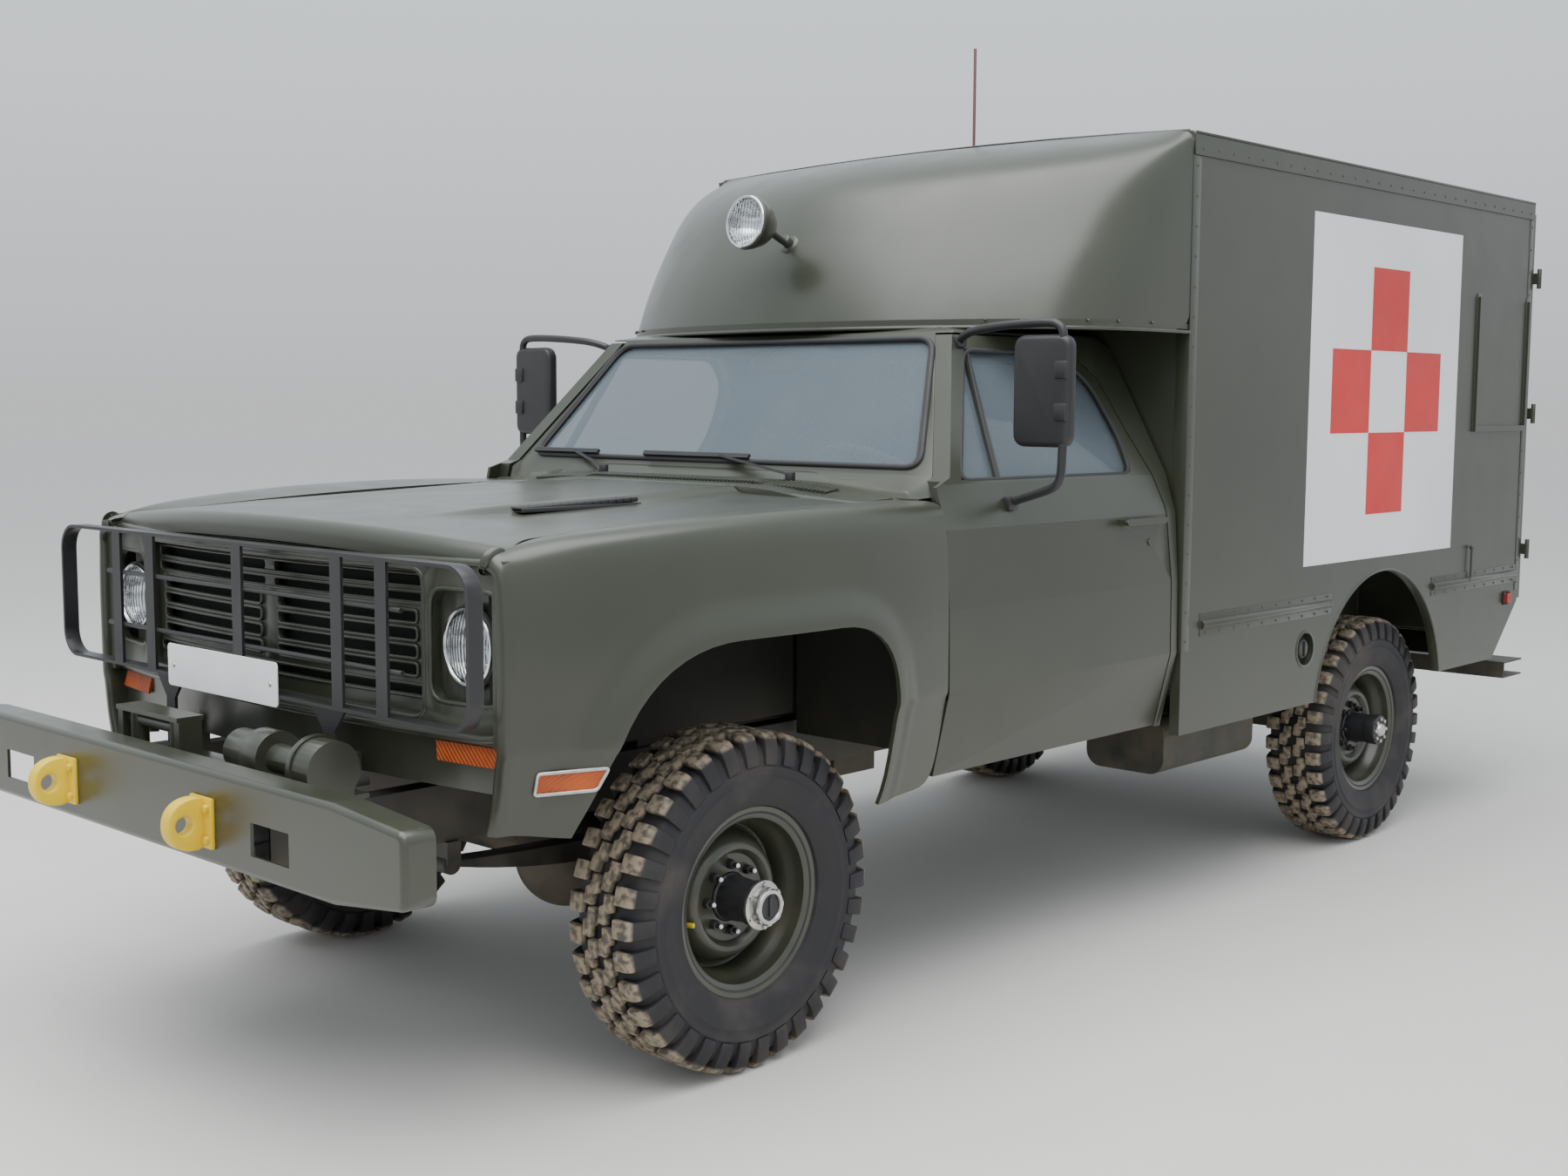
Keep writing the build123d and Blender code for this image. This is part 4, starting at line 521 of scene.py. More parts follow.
class Form:
    """A mesh shaped with operators and then made an object that rides on a body."""

    def __init__(self) -> None:
        """Starts an empty mesh."""
        self.mesh = bmesh.new()

    def _round(self, verts: Iterable[bmesh.types.BMVert], bevel: float, segments: int,
               sharp: float = 0.5) -> None:
        """Rounds the sharp edges between some vertices.

        Args:
            verts: The vertices.
            bevel: Width of the bevel.
            segments: Steps across it.
            sharp: Angle in radians above which an edge is rounded.
        """
        if not bevel:
            return
        chosen = set(verts)
        edges = [
            edge for edge in self.mesh.edges
            if edge.verts[0] in chosen and edge.verts[1] in chosen
            and len(edge.link_faces) == 2 and edge.calc_face_angle(0.0) > sharp
        ]
        bmesh.ops.bevel(self.mesh, geom=edges, offset=bevel, offset_type="OFFSET", segments=segments,
                        profile=0.5, affect="EDGES", clamp_overlap=True, material=-1)

    def block(self, low: Point, high: Point, bevel: float = 0.0, segments: int = 2,
              turn: Matrix | None = None) -> "Form":
        """Adds a box between two corners.

        Args:
            low: Lowest corner.
            high: Highest corner.
            bevel: Radius of its rounded edges.
            segments: Steps of each rounded edge.
            turn: Extra transform about the box's middle.

        Returns:
            The form itself.
        """
        low_v, high_v = Vector(low), Vector(high)
        made = bmesh.ops.create_cube(self.mesh, size=1.0)["verts"]
        bmesh.ops.scale(self.mesh, vec=high_v - low_v, verts=made)
        place = Matrix.Translation((low_v + high_v) / 2) @ (turn or Matrix.Identity(4))
        bmesh.ops.transform(self.mesh, matrix=place, verts=made)
        self._round(made, bevel, segments)
        return self

    def rod(self, start: Point, end: Point, radius: float, tip: float | None = None, sides: int = 24,
            bevel: float = 0.0) -> "Form":
        """Adds a round bar or cone between two points.

        Args:
            start: Middle of the first end.
            end: Middle of the second end.
            radius: Radius at the first end.
            tip: Radius at the second end, if it differs.
            sides: Facets round it.
            bevel: Radius of its rounded rims.

        Returns:
            The form itself.
        """
        line = Vector(end) - Vector(start)
        turn = line.to_track_quat("Z", "Y").to_matrix().to_4x4()
        place = Matrix.Translation((Vector(start) + Vector(end)) / 2) @ turn
        made = bmesh.ops.create_cone(self.mesh, cap_ends=True, segments=sides, radius1=radius,
                                     radius2=radius if tip is None else tip, depth=line.length,
                                     matrix=place)["verts"]
        self._round(made, bevel, 2, sharp=0.7)
        return self

    def ball(self, centre: Point, radius: float, stretch: Point = (1.0, 1.0, 1.0), steps: int = 12) -> "Form":
        """Adds a round or flattened ball.

        Args:
            centre: Its middle.
            radius: Its radius.
            stretch: Scale along each axis.
            steps: Rings round it.

        Returns:
            The form itself.
        """
        place = Matrix.Translation(centre) @ Matrix.Diagonal((*stretch, 1.0))
        bmesh.ops.create_uvsphere(self.mesh, u_segments=steps * 2, v_segments=steps, radius=radius,
                                  matrix=place)
        return self

    def turned(self, profile: Sequence[tuple[float, float]], steps: int, closed: bool = False) -> "Form":
        """Turns a profile about the Y axis.

        Args:
            profile: Points as distance along Y and radius.
            steps: Facets round the axis.
            closed: True if the last point joins the first.

        Returns:
            The form itself.
        """
        points = [self.mesh.verts.new((0.0, y, radius)) for y, radius in profile]
        pairs = list(zip(points, points[1:])) + ([(points[-1], points[0])] if closed else [])
        edges = [self.mesh.edges.new(pair) for pair in pairs]
        bmesh.ops.spin(self.mesh, geom=points + edges, cent=(0, 0, 0), axis=(0, 1, 0), angle=FULL_TURN,
                       steps=steps, use_merge=True, use_duplicate=False)
        bmesh.ops.remove_doubles(self.mesh, verts=self.mesh.verts[:], dist=1e-6)
        return self

    def slab(self, corners: Sequence[Point], push: Point, bevel: float = 0.0, segments: int = 2) -> "Form":
        """Adds a flat shape pushed out to a thickness.

        Args:
            corners: Its outline in order.
            push: Thickness, as a vector.
            bevel: Radius of its rounded edges.
            segments: Steps of each rounded edge.

        Returns:
            The form itself.
        """
        points = [self.mesh.verts.new(corner) for corner in corners]
        face = self.mesh.faces.new(points)
        out = bmesh.ops.extrude_face_region(self.mesh, geom=[face], use_keep_orig=True)["geom"]
        moved = [item for item in out if isinstance(item, bmesh.types.BMVert)]
        bmesh.ops.translate(self.mesh, vec=push, verts=moved)
        faces = {face for vert in points + moved for face in vert.link_faces}
        bmesh.ops.recalc_face_normals(self.mesh, faces=list(faces))
        self._round(points + moved, bevel, segments)
        return self

    def ring(self, outer: Sequence[Vector], inner: Sequence[Vector], thick: float,
             bevel: float = 0.006) -> "Form":
        """Adds a plate with a hole, as thick along Y as given.

        Args:
            outer: Points of its outline.
            inner: As many points of its hole, in the same order.
            thick: Thickness.
            bevel: Radius of its rounded edges.

        Returns:
            The form itself.
        """
        push = Vector((0, thick, 0))
        loops = [[self.mesh.verts.new(p + shift) for p in line]
                 for line, shift in ((outer, Vector()), (outer, push), (inner, push), (inner, Vector()))]
        count = len(outer)
        faces = []
        for first, second in zip(loops, loops[1:] + loops[:1]):
            for k in range(count):
                faces.append(self.mesh.faces.new((first[k], first[(k + 1) % count], second[(k + 1) % count],
                                                  second[k])))
        bmesh.ops.recalc_face_normals(self.mesh, faces=faces)
        self._round([vert for loop in loops for vert in loop], bevel, 3, sharp=0.9)
        return self

    def skin(self, across: int, along: int, place: Callable[[float, float], Vector]) -> "Form":
        """Adds a grid whose points are placed by a function.

        Args:
            across: Steps one way.
            along: Steps the other way.
            place: Function from two shares, each from 0 to 1, to a point.

        Returns:
            The form itself.
        """
        made = bmesh.ops.create_grid(self.mesh, x_segments=across, y_segments=along, size=1.0)["verts"]
        for vert in made:
            vert.co = place((vert.co.x + 1) / 2, (vert.co.y + 1) / 2)
        bmesh.ops.remove_doubles(self.mesh, verts=self.mesh.verts[:], dist=1e-5)
        return self

    def thicken(self, depth: float) -> "Form":
        """Gives an open sheet its thickness, inwards."""
        bmesh.ops.recalc_face_normals(self.mesh, faces=self.mesh.faces[:])
        return self._modified("SOLIDIFY", thickness=depth, offset=-1.0)

    def _modified(self, kind: str, **settings) -> "Form":
        """Applies one modifier to the mesh.

        Args:
            kind: Type of the modifier.
            **settings: Properties to set on it.

        Returns:
            The form itself.
        """
        mesh = bpy.data.meshes.new("working")
        self.mesh.to_mesh(mesh)
        holder = bpy.data.objects.new("working", mesh)
        bpy.context.scene.collection.objects.link(holder)
        modifier = holder.modifiers.new(kind.lower(), kind)
        for key, value in settings.items():
            setattr(modifier, key, value)
        bpy.context.view_layer.update()
        result = bpy.data.meshes.new_from_object(holder.evaluated_get(bpy.context.evaluated_depsgraph_get()))
        self.mesh.clear()
        self.mesh.from_mesh(result)
        bpy.data.objects.remove(holder)
        for block in (mesh, result):
            bpy.data.meshes.remove(block)
        return self

    def refined(self, levels: int) -> "Form":
        """Subdivides the mesh smoothly."""
        return self._modified("SUBSURF", levels=levels, render_levels=levels)

    def cut(self, cutter: "Form") -> "Form":
        """Cuts another form's volume out of this one.

        Args:
            cutter: Form whose volume is taken away.

        Returns:
            The form itself.
        """
        mesh = bpy.data.meshes.new("cutter")
        cutter.mesh.to_mesh(mesh)
        holder = bpy.data.objects.new("cutter", mesh)
        bpy.context.scene.collection.objects.link(holder)
        self._modified("BOOLEAN", operation="DIFFERENCE", solver="EXACT", object=holder)
        bpy.data.objects.remove(holder)
        bpy.data.meshes.remove(mesh)
        return self

    def tube(self, path: Sequence[Point], radius: float, smooth: bool = True, sides: int = 4,
             closed: bool = False) -> "Form":
        """Adds a tube along a path, drawn as a curve and then made a mesh.

        Args:
            path: Points along its middle.
            radius: Its radius.
            smooth: Whether it bends smoothly.
            sides: Resolution of its round.
            closed: Whether it closes on itself.

        Returns:
            The form itself.
        """
        curve = bpy.data.curves.new("tube_path", "CURVE")
        curve.dimensions = "3D"
        curve.bevel_depth = radius
        curve.bevel_resolution = sides
        curve.use_fill_caps = True
        spline = curve.splines.new("NURBS" if smooth else "POLY")
        spline.points.add(len(path) - 1)
        for point, place in zip(spline.points, path):
            point.co = (*place, 1.0)
        spline.use_cyclic_u = closed
        if smooth:
            spline.order_u = 3
            spline.use_endpoint_u = not closed
            spline.resolution_u = 8
        holder = bpy.data.objects.new("tube_path", curve)
        made = bpy.data.meshes.new_from_object(holder)
        self.mesh.from_mesh(made)
        for block, store in ((holder, bpy.data.objects), (curve, bpy.data.curves), (made, bpy.data.meshes)):
            store.remove(block)
        return self

    def bead(self, path: Iterable[Point], radius: float, sides: int = 3) -> "Form":
        """Adds a closed tube that runs straight from point to point."""
        return self.tube([tuple(point) for point in path], radius, smooth=False, sides=sides, closed=True)

    def around(self, count: int, start: int = 0) -> "Form":
        """Repeats everything from a vertex index on, evenly round the Y axis.

        Args:
            count: How many there are in all.
            start: First vertex that is repeated.

        Returns:
            The form itself.
        """
        self.mesh.verts.index_update()
        geom = [v for v in self.mesh.verts if v.index >= start]
        chosen = set(geom)
        edges = [e for e in self.mesh.edges if e.verts[0] in chosen and e.verts[1] in chosen]
        faces = [f for f in self.mesh.faces if all(v in chosen for v in f.verts)]
        bmesh.ops.spin(self.mesh, geom=geom + edges + faces, cent=(0, 0, 0), axis=(0, 1, 0),
                       angle=FULL_TURN * (count - 1) / count, steps=count - 1, use_duplicate=True)
        return self

    def move(self, matrix: Matrix, start: int = 0) -> "Form":
        """Transforms everything from a vertex index on."""
        self.mesh.verts.index_update()
        bmesh.ops.transform(self.mesh, matrix=matrix, verts=[v for v in self.mesh.verts if v.index >= start])
        return self

    def mirrored(self, keep: bool = True) -> "Form":
        """Mirrors the form to the other side of the truck, with the first side kept or not.

        Args:
            keep: Whether the first side stays.

        Returns:
            The form itself.
        """
        geom = self.mesh.verts[:] + self.mesh.edges[:] + self.mesh.faces[:]
        if keep:
            copy = bmesh.ops.duplicate(self.mesh, geom=geom)["geom"]
            verts = [item for item in copy if isinstance(item, bmesh.types.BMVert)]
        else:
            verts = self.mesh.verts[:]
        bmesh.ops.scale(self.mesh, vec=(1, -1, 1), verts=verts)
        return self

    def sided(self, sign: int) -> "Form":
        """Leaves the form on the left for 1, and moves it to the right for -1."""
        return self.mirrored(keep=False) if sign < 0 else self

    def add(self, other: "Form") -> "Form":
        """Takes in another form.

        Args:
            other: Form that is taken in.

        Returns:
            The form itself.
        """
        made = bpy.data.meshes.new("joined")
        other.mesh.to_mesh(made)
        self.mesh.from_mesh(made)
        bpy.data.meshes.remove(made)
        return self

    def done(self, name: str, finish: Finish, body: str = "truck", slot: str = "", smooth: float = 35.0,
             stands_for: Sequence[str] = (), rounds: int = 0) -> bpy.types.Object:
        """Makes the object, with its finish and body.

        Args:
            name: Name of the piece.
            finish: Its finish.
            body: Body of the frame that it rides on.
            slot: Material slot of the record, if not the one that goes with the finish; not used.
            smooth: Angle in degrees above which an edge stays sharp.
            stands_for: Nodes that it replaces.

        Returns:
            The new object.
        """
        bmesh.ops.recalc_face_normals(self.mesh, faces=self.mesh.faces[:])
        mesh = bpy.data.meshes.new(name)
        self.mesh.to_mesh(mesh)
        self.mesh.free()
        mesh.shade_smooth()
        mesh.set_sharp_from_angle(angle=math.radians(smooth))
        mesh.materials.append(finish.material())
        piece = bpy.data.objects.new(name, mesh)
        bpy.context.scene.collection.objects.link(piece)
        slot = slot or SLOTS[finish]
        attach(piece, body)
        if stands_for:
            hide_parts(*stands_for)
        if rounds:
            smoother = piece.modifiers.new("smoother", "SUBSURF")
            smoother.levels = smoother.render_levels = rounds
        LOG.info("%s: %d faces on %s", name, len(mesh.polygons), body)
        return piece


def soften(piece: bpy.types.Object, harden: bool = False) -> None:
    """Rounds a piece's sharp edges with a modifier.

    Args:
        piece: The piece.
        harden: True to keep its flat faces flat in shading.
    """
    soft = piece.modifiers.new("soft_edges", "BEVEL")
    soft.width = EDGE_RADIUS
    soft.segments = 2
    soft.limit_method = "ANGLE"
    soft.angle_limit = CREASE_ANGLE
    soft.harden_normals = harden


@dataclass
class Cladding:
    """Finishes of the frame's own nodes, with their edges softened."""

    most_faces: int = 12000
    finishes: dict[str, Finish] = field(default_factory=lambda: {
        "frame": Finish.CHASSIS, "front_bumper": Finish.BODY, "towing_eyes": Finish.YELLOW,
        "winch": Finish.BODY, "brush_guard": Finish.BLACK, "grille": Finish.BODY,
        "fender_left": Finish.BODY, "fender_right": Finish.BODY, "bonnet": Finish.BODY, "cab": Finish.BODY,
        "windscreen": Finish.GLASS, "wipers": Finish.BLACK, "dashboard": Finish.DARK,
        "steering_wheel": Finish.DARK, "engine": Finish.CAST, "radiator": Finish.BLACK,
        "door_left": Finish.BODY, "door_right": Finish.BODY, "door_glass_left": Finish.GLASS,
        "door_glass_right": Finish.GLASS, "mirror_left": Finish.BLACK, "mirror_right": Finish.BLACK,
        "body_floor": Finish.BODY, "body_side_left": Finish.BODY, "body_side_right": Finish.BODY,
        "body_roof": Finish.BODY, "body_nose": Finish.BODY, "body_front_wall": Finish.BODY,
        "body_rear_frame": Finish.BODY, "rear_door_left": Finish.BODY, "rear_door_right": Finish.BODY,
        "tail_lamps": Finish.RED_LENS, "spotlight": Finish.BODY, "aerial": Finish.WHIP,
        "fuel_tank": Finish.CHASSIS, "exhaust": Finish.CHASSIS, "front_axle": Finish.CHASSIS,
        "rear_axle": Finish.CHASSIS, "driveline": Finish.CHASSIS, "knuckle_left": Finish.CHASSIS,
        "knuckle_right": Finish.CHASSIS, "amber_lamps": Finish.AMBER, "headlamps": Finish.LENS,
        "seats": Finish.SEAT,
    })

    def build(self, nodes: dict[str, bpy.types.Object]) -> None:
        """Dresses each node.

        Args:
            nodes: The frame's nodes by name.
        """
        for name, finish in self.finishes.items():
            node = nodes[name]
            node.data.materials.clear()
            node.data.materials.append(finish.material())
            weld = node.modifiers.new("weld", "WELD")
            weld.merge_threshold = WELD_DISTANCE
            if finish not in (Finish.GLASS, Finish.LENS) and len(node.data.polygons) < self.most_faces:
                soften(node, harden=True)
        LOG.info("finished %d nodes", len(self.finishes))


@dataclass
class Tyre:
    """A cross-country tyre with staggered shoulder lugs and S-shaped centre blocks."""

    base: float = 0.398
    half: float = 0.104
    bulge: float = 0.116
    bead: float = 0.082
    seat: float = 0.2085
    lugs: int = 34
    lug_width: float = 0.045
    steps: int = 136

    def carcass(self) -> Form:
        """The turned body of the tyre, with its side ribs.

        Returns:
            The turned form.
        """
        side = [
            (0.062, self.seat + 0.001), (self.bead, self.seat + 0.0012),
            (self.bead + 0.006, self.seat + 0.012), (self.bead + 0.006, 0.234), (0.098, 0.2385),
            (0.106, 0.256), (0.1125, 0.280), (self.bulge - 0.001, 0.302),
            (self.bulge + 0.0008, 0.3055), (self.bulge + 0.0008, 0.309), (self.bulge - 0.0006, 0.3125),
            (self.bulge - 0.001, 0.328), (self.bulge + 0.0012, 0.3315), (self.bulge + 0.0012, 0.335),
            (self.bulge - 0.003, 0.340), (0.109, 0.362), (0.100, 0.383), (0.086, 0.393), (0.052, self.base),
        ]
        profile = side + [(0.0, self.base + 0.0006)] + [(-y, r) for y, r in reversed(side)]
        return Form().turned(profile, self.steps)

    def shoulder_lug(self, sign: int) -> Form:
        """One lug that runs from the tread down over the shoulder.

        Args:
            sign: 1 for the outer row, -1 for the inner row.

        Returns:
            The lug, standing at the top of the tyre.
        """
        half = self.lug_width / 2
        section = [
            (0.053, 0.388), (0.054, 0.4198), (0.080, 0.4192), (0.097, 0.4165), (0.1065, 0.408),
            (0.1135, 0.388),
            (0.1185, 0.362), (0.1192, 0.345), (0.1165, 0.338), (0.104, 0.352), (0.088, 0.38),
        ]
        lug = Form().slab([(-half, sign * y, r) for y, r in section], (self.lug_width, 0, 0), bevel=0.0032)
        narrow = 0.86
        for vert in lug.mesh.verts:
            drop = min(max((vert.co.z - 0.34) / 0.08, 0.0), 1.0)
            vert.co.x *= narrow + (1 - narrow) * drop
        return lug

    def centre_block(self, sign: int) -> Form:
        """One S-shaped block beside the middle of the tread.

        Args:
            sign: Side of the middle.

        Returns:
            The block.
        """
        shape = [(-0.036, 0.021), (-0.034, 0.048), (0.004, 0.047), (0.010, 0.033), (0.036, 0.030),
                 (0.034, 0.005), (-0.005, 0.006), (-0.011, 0.019)]
        block = Form().slab([(sign * x, sign * y, 0.3935) for x, y in shape], (0, 0, 0.0255), bevel=0.0022)
        return block

    def build(self, name: str, place: Matrix, body: str, node: str) -> None:
        """Makes one tyre.

        Args:
            name: Name of the piece.
            place: Where the tyre stands.
            body: Body that it rides on.
            node: Node that it replaces.
        """
        pitch = FULL_TURN / self.lugs
        whole = self.carcass()
        for sign, shift in ((1, 0.0), (-1, 0.5)):
            for maker, offset in ((self.shoulder_lug, 0.0), (self.centre_block, 0.5)):
                row = maker(sign).around(self.lugs)
                row.move(Matrix.Rotation(pitch * (shift + offset), 4, "Y"))
                whole.add(row)
        reach = whole.mesh.verts.layers.float.new("reach")
        for vert in whole.mesh.verts:
            vert[reach] = math.hypot(vert.co.x, vert.co.z)
        whole.move(place)
        whole.done(name, Finish.TYRE, body, smooth=40, stands_for=[node])


@dataclass
class Wheel:
    """A dished steel wheel with its studs and the hub that shows through it."""

    steps: int = 96
    stud_circle: float = 0.0825
    stud_count: int = 8

    def rim(self) -> Form:
        """Rim and disc as one turned sheet with a thickness.

        Returns:
            The rim.
        """
        profile = [
            (-0.0885, 0.2315), (-0.0885, 0.2345), (-0.084, 0.2345), (-0.081, 0.222), (-0.074, 0.2095),
            (-0.050, 0.2075),
            (-0.040, 0.190), (0.010, 0.188), (0.030, 0.196), (0.052, 0.2075), (0.074, 0.2095), (0.080, 0.216),
            (0.0825, 0.227), (0.0845, 0.2335), (0.0875, 0.236), (0.0905, 0.2345), (0.0905, 0.230),
            (0.088, 0.2225),
            (0.0845, 0.213), (0.0785, 0.2045), (0.060, 0.2015), (0.050, 0.1985), (0.036, 0.190),
            (0.016, 0.1815),
            (-0.016, 0.1805), (-0.019, 0.1765), (-0.014, 0.171), (0.004, 0.162), (0.024, 0.149),
            (0.036, 0.139),
            (0.0395, 0.131), (0.037, 0.121), (0.028, 0.113), (0.020, 0.1085), (0.018, 0.103), (0.018, 0.062),
            (0.013, 0.0605), (0.011, 0.062), (0.011, 0.105), (0.024, 0.117), (0.031, 0.127), (0.031, 0.134),
            (0.019, 0.144), (-0.002, 0.157), (-0.021, 0.166), (-0.027, 0.1765), (-0.024, 0.1825),
            (-0.046, 0.184), (-0.056, 0.2015), (-0.080, 0.2035), (-0.086, 0.217),
        ]
        return Form().turned(profile, self.steps, closed=True)

    def studs(self, tipped: bool) -> Form:
        """Ring of studs with their nuts, or their painted tips alone.

        Args:
            tipped: Whether only the painted tips are made.

        Returns:
            The ring.
        """
        radius = self.stud_circle
        if tipped:
            return Form().rod((0, 0.0465, radius), (0, 0.0500, radius), 0.0062, tip=0.0045,
                              sides=12).around(self.stud_count)
        ring = Form().rod((0, 0.0175, radius), (0, 0.034, radius), 0.0135, tip=0.0125, sides=6, bevel=0.0015)
        ring.rod((0, 0.033, radius), (0, 0.0468, radius), 0.0066, sides=10)
        return ring.around(self.stud_count)

    def build(self, name: str, place: Matrix, body: str, node: str, front: bool) -> None:
        """Makes one wheel and its hub.

        Args:
            name: Start of the names of its pieces.
            place: Where the wheel stands.
            body: Body that it rides on.
            node: Node that it replaces.
            front: True for a front wheel, which has a locking hub.
        """
        self.rim().move(place).done(f"{name}_rim", Finish.BODY, body, smooth=30,
                                    stands_for=[node])
        back = Form().turned([(-0.086, 0.0), (-0.086, 0.150), (-0.078, 0.155), (-0.018, 0.155),
                              (-0.010, 0.148), (-0.010, 0.0)], 64)
        for index in range(3):
            back.turned([(-0.072 + index * 0.02, 0.1545), (-0.069 + index * 0.02, 0.158),
                         (-0.066 + index * 0.02, 0.1545)], 64)
        back.move(place).done(f"{name}_drum", Finish.CHASSIS, body)
        end = 0.128 if front else 0.142
        hub = Form().turned([(0.0105, 0.0), (0.0105, 0.0600), (0.022, 0.0605), (0.026, 0.056),
                             (0.070, 0.0535), (0.1, 0.0525),
                             (0.104, 0.056), (end - 0.008, 0.056), (end, 0.054), (end, 0.0)], 48)
        hub.move(place).done(f"{name}_hub", Finish.BLACK, body)
        nuts = self.studs(False)
        nuts.move(place).done(f"{name}_nuts", Finish.BLACK, body)
        tips = self.studs(True)
        tips.move(place).done(f"{name}_stud_tips", Finish.PLATE if front else Finish.BLACK, body,
                              "body_green")
        if front:
            self.locking_hub().move(place).done(f"{name}_lock", Finish.STEEL, body)
            dial = Form().turned([(0.1555, 0.0), (0.1555, 0.0285), (0.1515, 0.0305)], 32)
            dial.block((-0.0045, 0.1545, -0.024), (0.0045, 0.1605, 0.024), bevel=0.0012)
            dial.move(place).done(f"{name}_dial", Finish.DARK, body)
        else:
            bolts = Form().rod((0, end - 0.002, 0.041), (0, end + 0.008, 0.041), 0.0075, sides=6,
                               bevel=0.001).around(8)
            bolts.turned([(end - 0.001, 0.0), (end + 0.014, 0.0), (end + 0.014, 0.018),
                          (end + 0.008, 0.024), (end - 0.001, 0.026)], 32)
            bolts.move(place).done(f"{name}_axle_bolts", Finish.STEEL, body)
        valve = Form().tube([(0.0, -0.012, 0.168), (0.0, 0.006, 0.164), (0.0, 0.030, 0.158)], 0.0045)
        valve.rod((0, 0.028, 0.1585), (0, 0.046, 0.154), 0.0062, sides=12, bevel=0.001)
        valve.move(place @ Matrix.Rotation(math.radians(104), 4, "Y"))
        valve.done(f"{name}_valve", Finish.YELLOW, body)

    def locking_hub(self) -> Form:
        """Free-wheeling hub: a bolted flange, a fluted body and an open hexagon end.

        Returns:
            The hub.
        """
        form = Form().turned([(0.124, 0.0), (0.124, 0.059), (0.126, 0.0605), (0.133, 0.0605), (0.135, 0.058),
                              (0.136, 0.047), (0.150, 0.0445), (0.158, 0.0435), (0.1605, 0.0415),
                              (0.1605, 0.0335), (0.158, 0.032), (0.151, 0.031), (0.151, 0.0)], 64)
        form.add(Form().rod((0, 0.1335, 0.0525), (0, 0.1410, 0.0525), 0.0062, sides=6,
                            bevel=0.0008).around(6))
        ribs = Form().block((-0.0065, 0.135, 0.0415), (0.0065, 0.1575, 0.0475), bevel=0.002).around(8)
        return form.add(ribs)


@dataclass
class RunningGear:
    """The four wheels with their tyres, each turned to a rest of its own."""

    def build(self) -> None:
        """Makes every tyre and wheel."""
        for end, x, turns in (("front", AXLE, (14.0, 40.0)), ("rear", AXLE - WHEELBASE, (67.0, 8.0))):
            for (side, sign), angle in zip((("left", 1), ("right", -1)), turns):
                place = Matrix.Translation((x, sign * WHEEL_Y, HUB_HEIGHT))
                if sign < 0:
                    place = place @ Matrix.Rotation(math.pi, 4, "Z")
                body = f"{end}_{side}_wheel"
                tread = place @ Matrix.Rotation(math.radians(angle), 4, "Y")
                Tyre().build(f"{end}_{side}_tyre", tread, body, f"tyre_{end}_{side}")
                Wheel().build(f"{end}_{side}", place, body, f"wheel_{end}_{side}", end == "front")


def rounded(corners: Sequence[Sequence[float]], radius: float, steps: int = 5) -> list[Vector]:
    """Closed outline with each of its corners rounded.

    Args:
        corners: Corners in order.
        radius: Length that each corner takes from its sides.
        steps: Steps round each corner.

    Returns:
        The points of the outline.
    """
    points = []
    count = len(corners)
    for index in range(count):
        before, here, after = (Vector(corners[(index + shift) % count]) for shift in (-1, 0, 1))
        start = here + (before - here).normalized() * min(radius, (before - here).length / 2.01)
        end = here + (after - here).normalized() * min(radius, (after - here).length / 2.01)
        for step in range(steps + 1):
            share = step / steps
            points.append(start.lerp(here, share).lerp(here.lerp(end, share), share))
    return points


def smoothstep(value: float, start: float, end: float) -> float:
    """Soft ramp from 0 at the start to 1 at the end."""
    share = min(max((value - start) / (end - start), 0.0), 1.0)
    return share * share * (3 - 2 * share)


def bow(y: float, front: float, corner: float, half: float = 0.884) -> float:
    """Place along X of a strip that is bowed forwards between two sides."""
    return front - (front - corner) * (y / half) ** 2


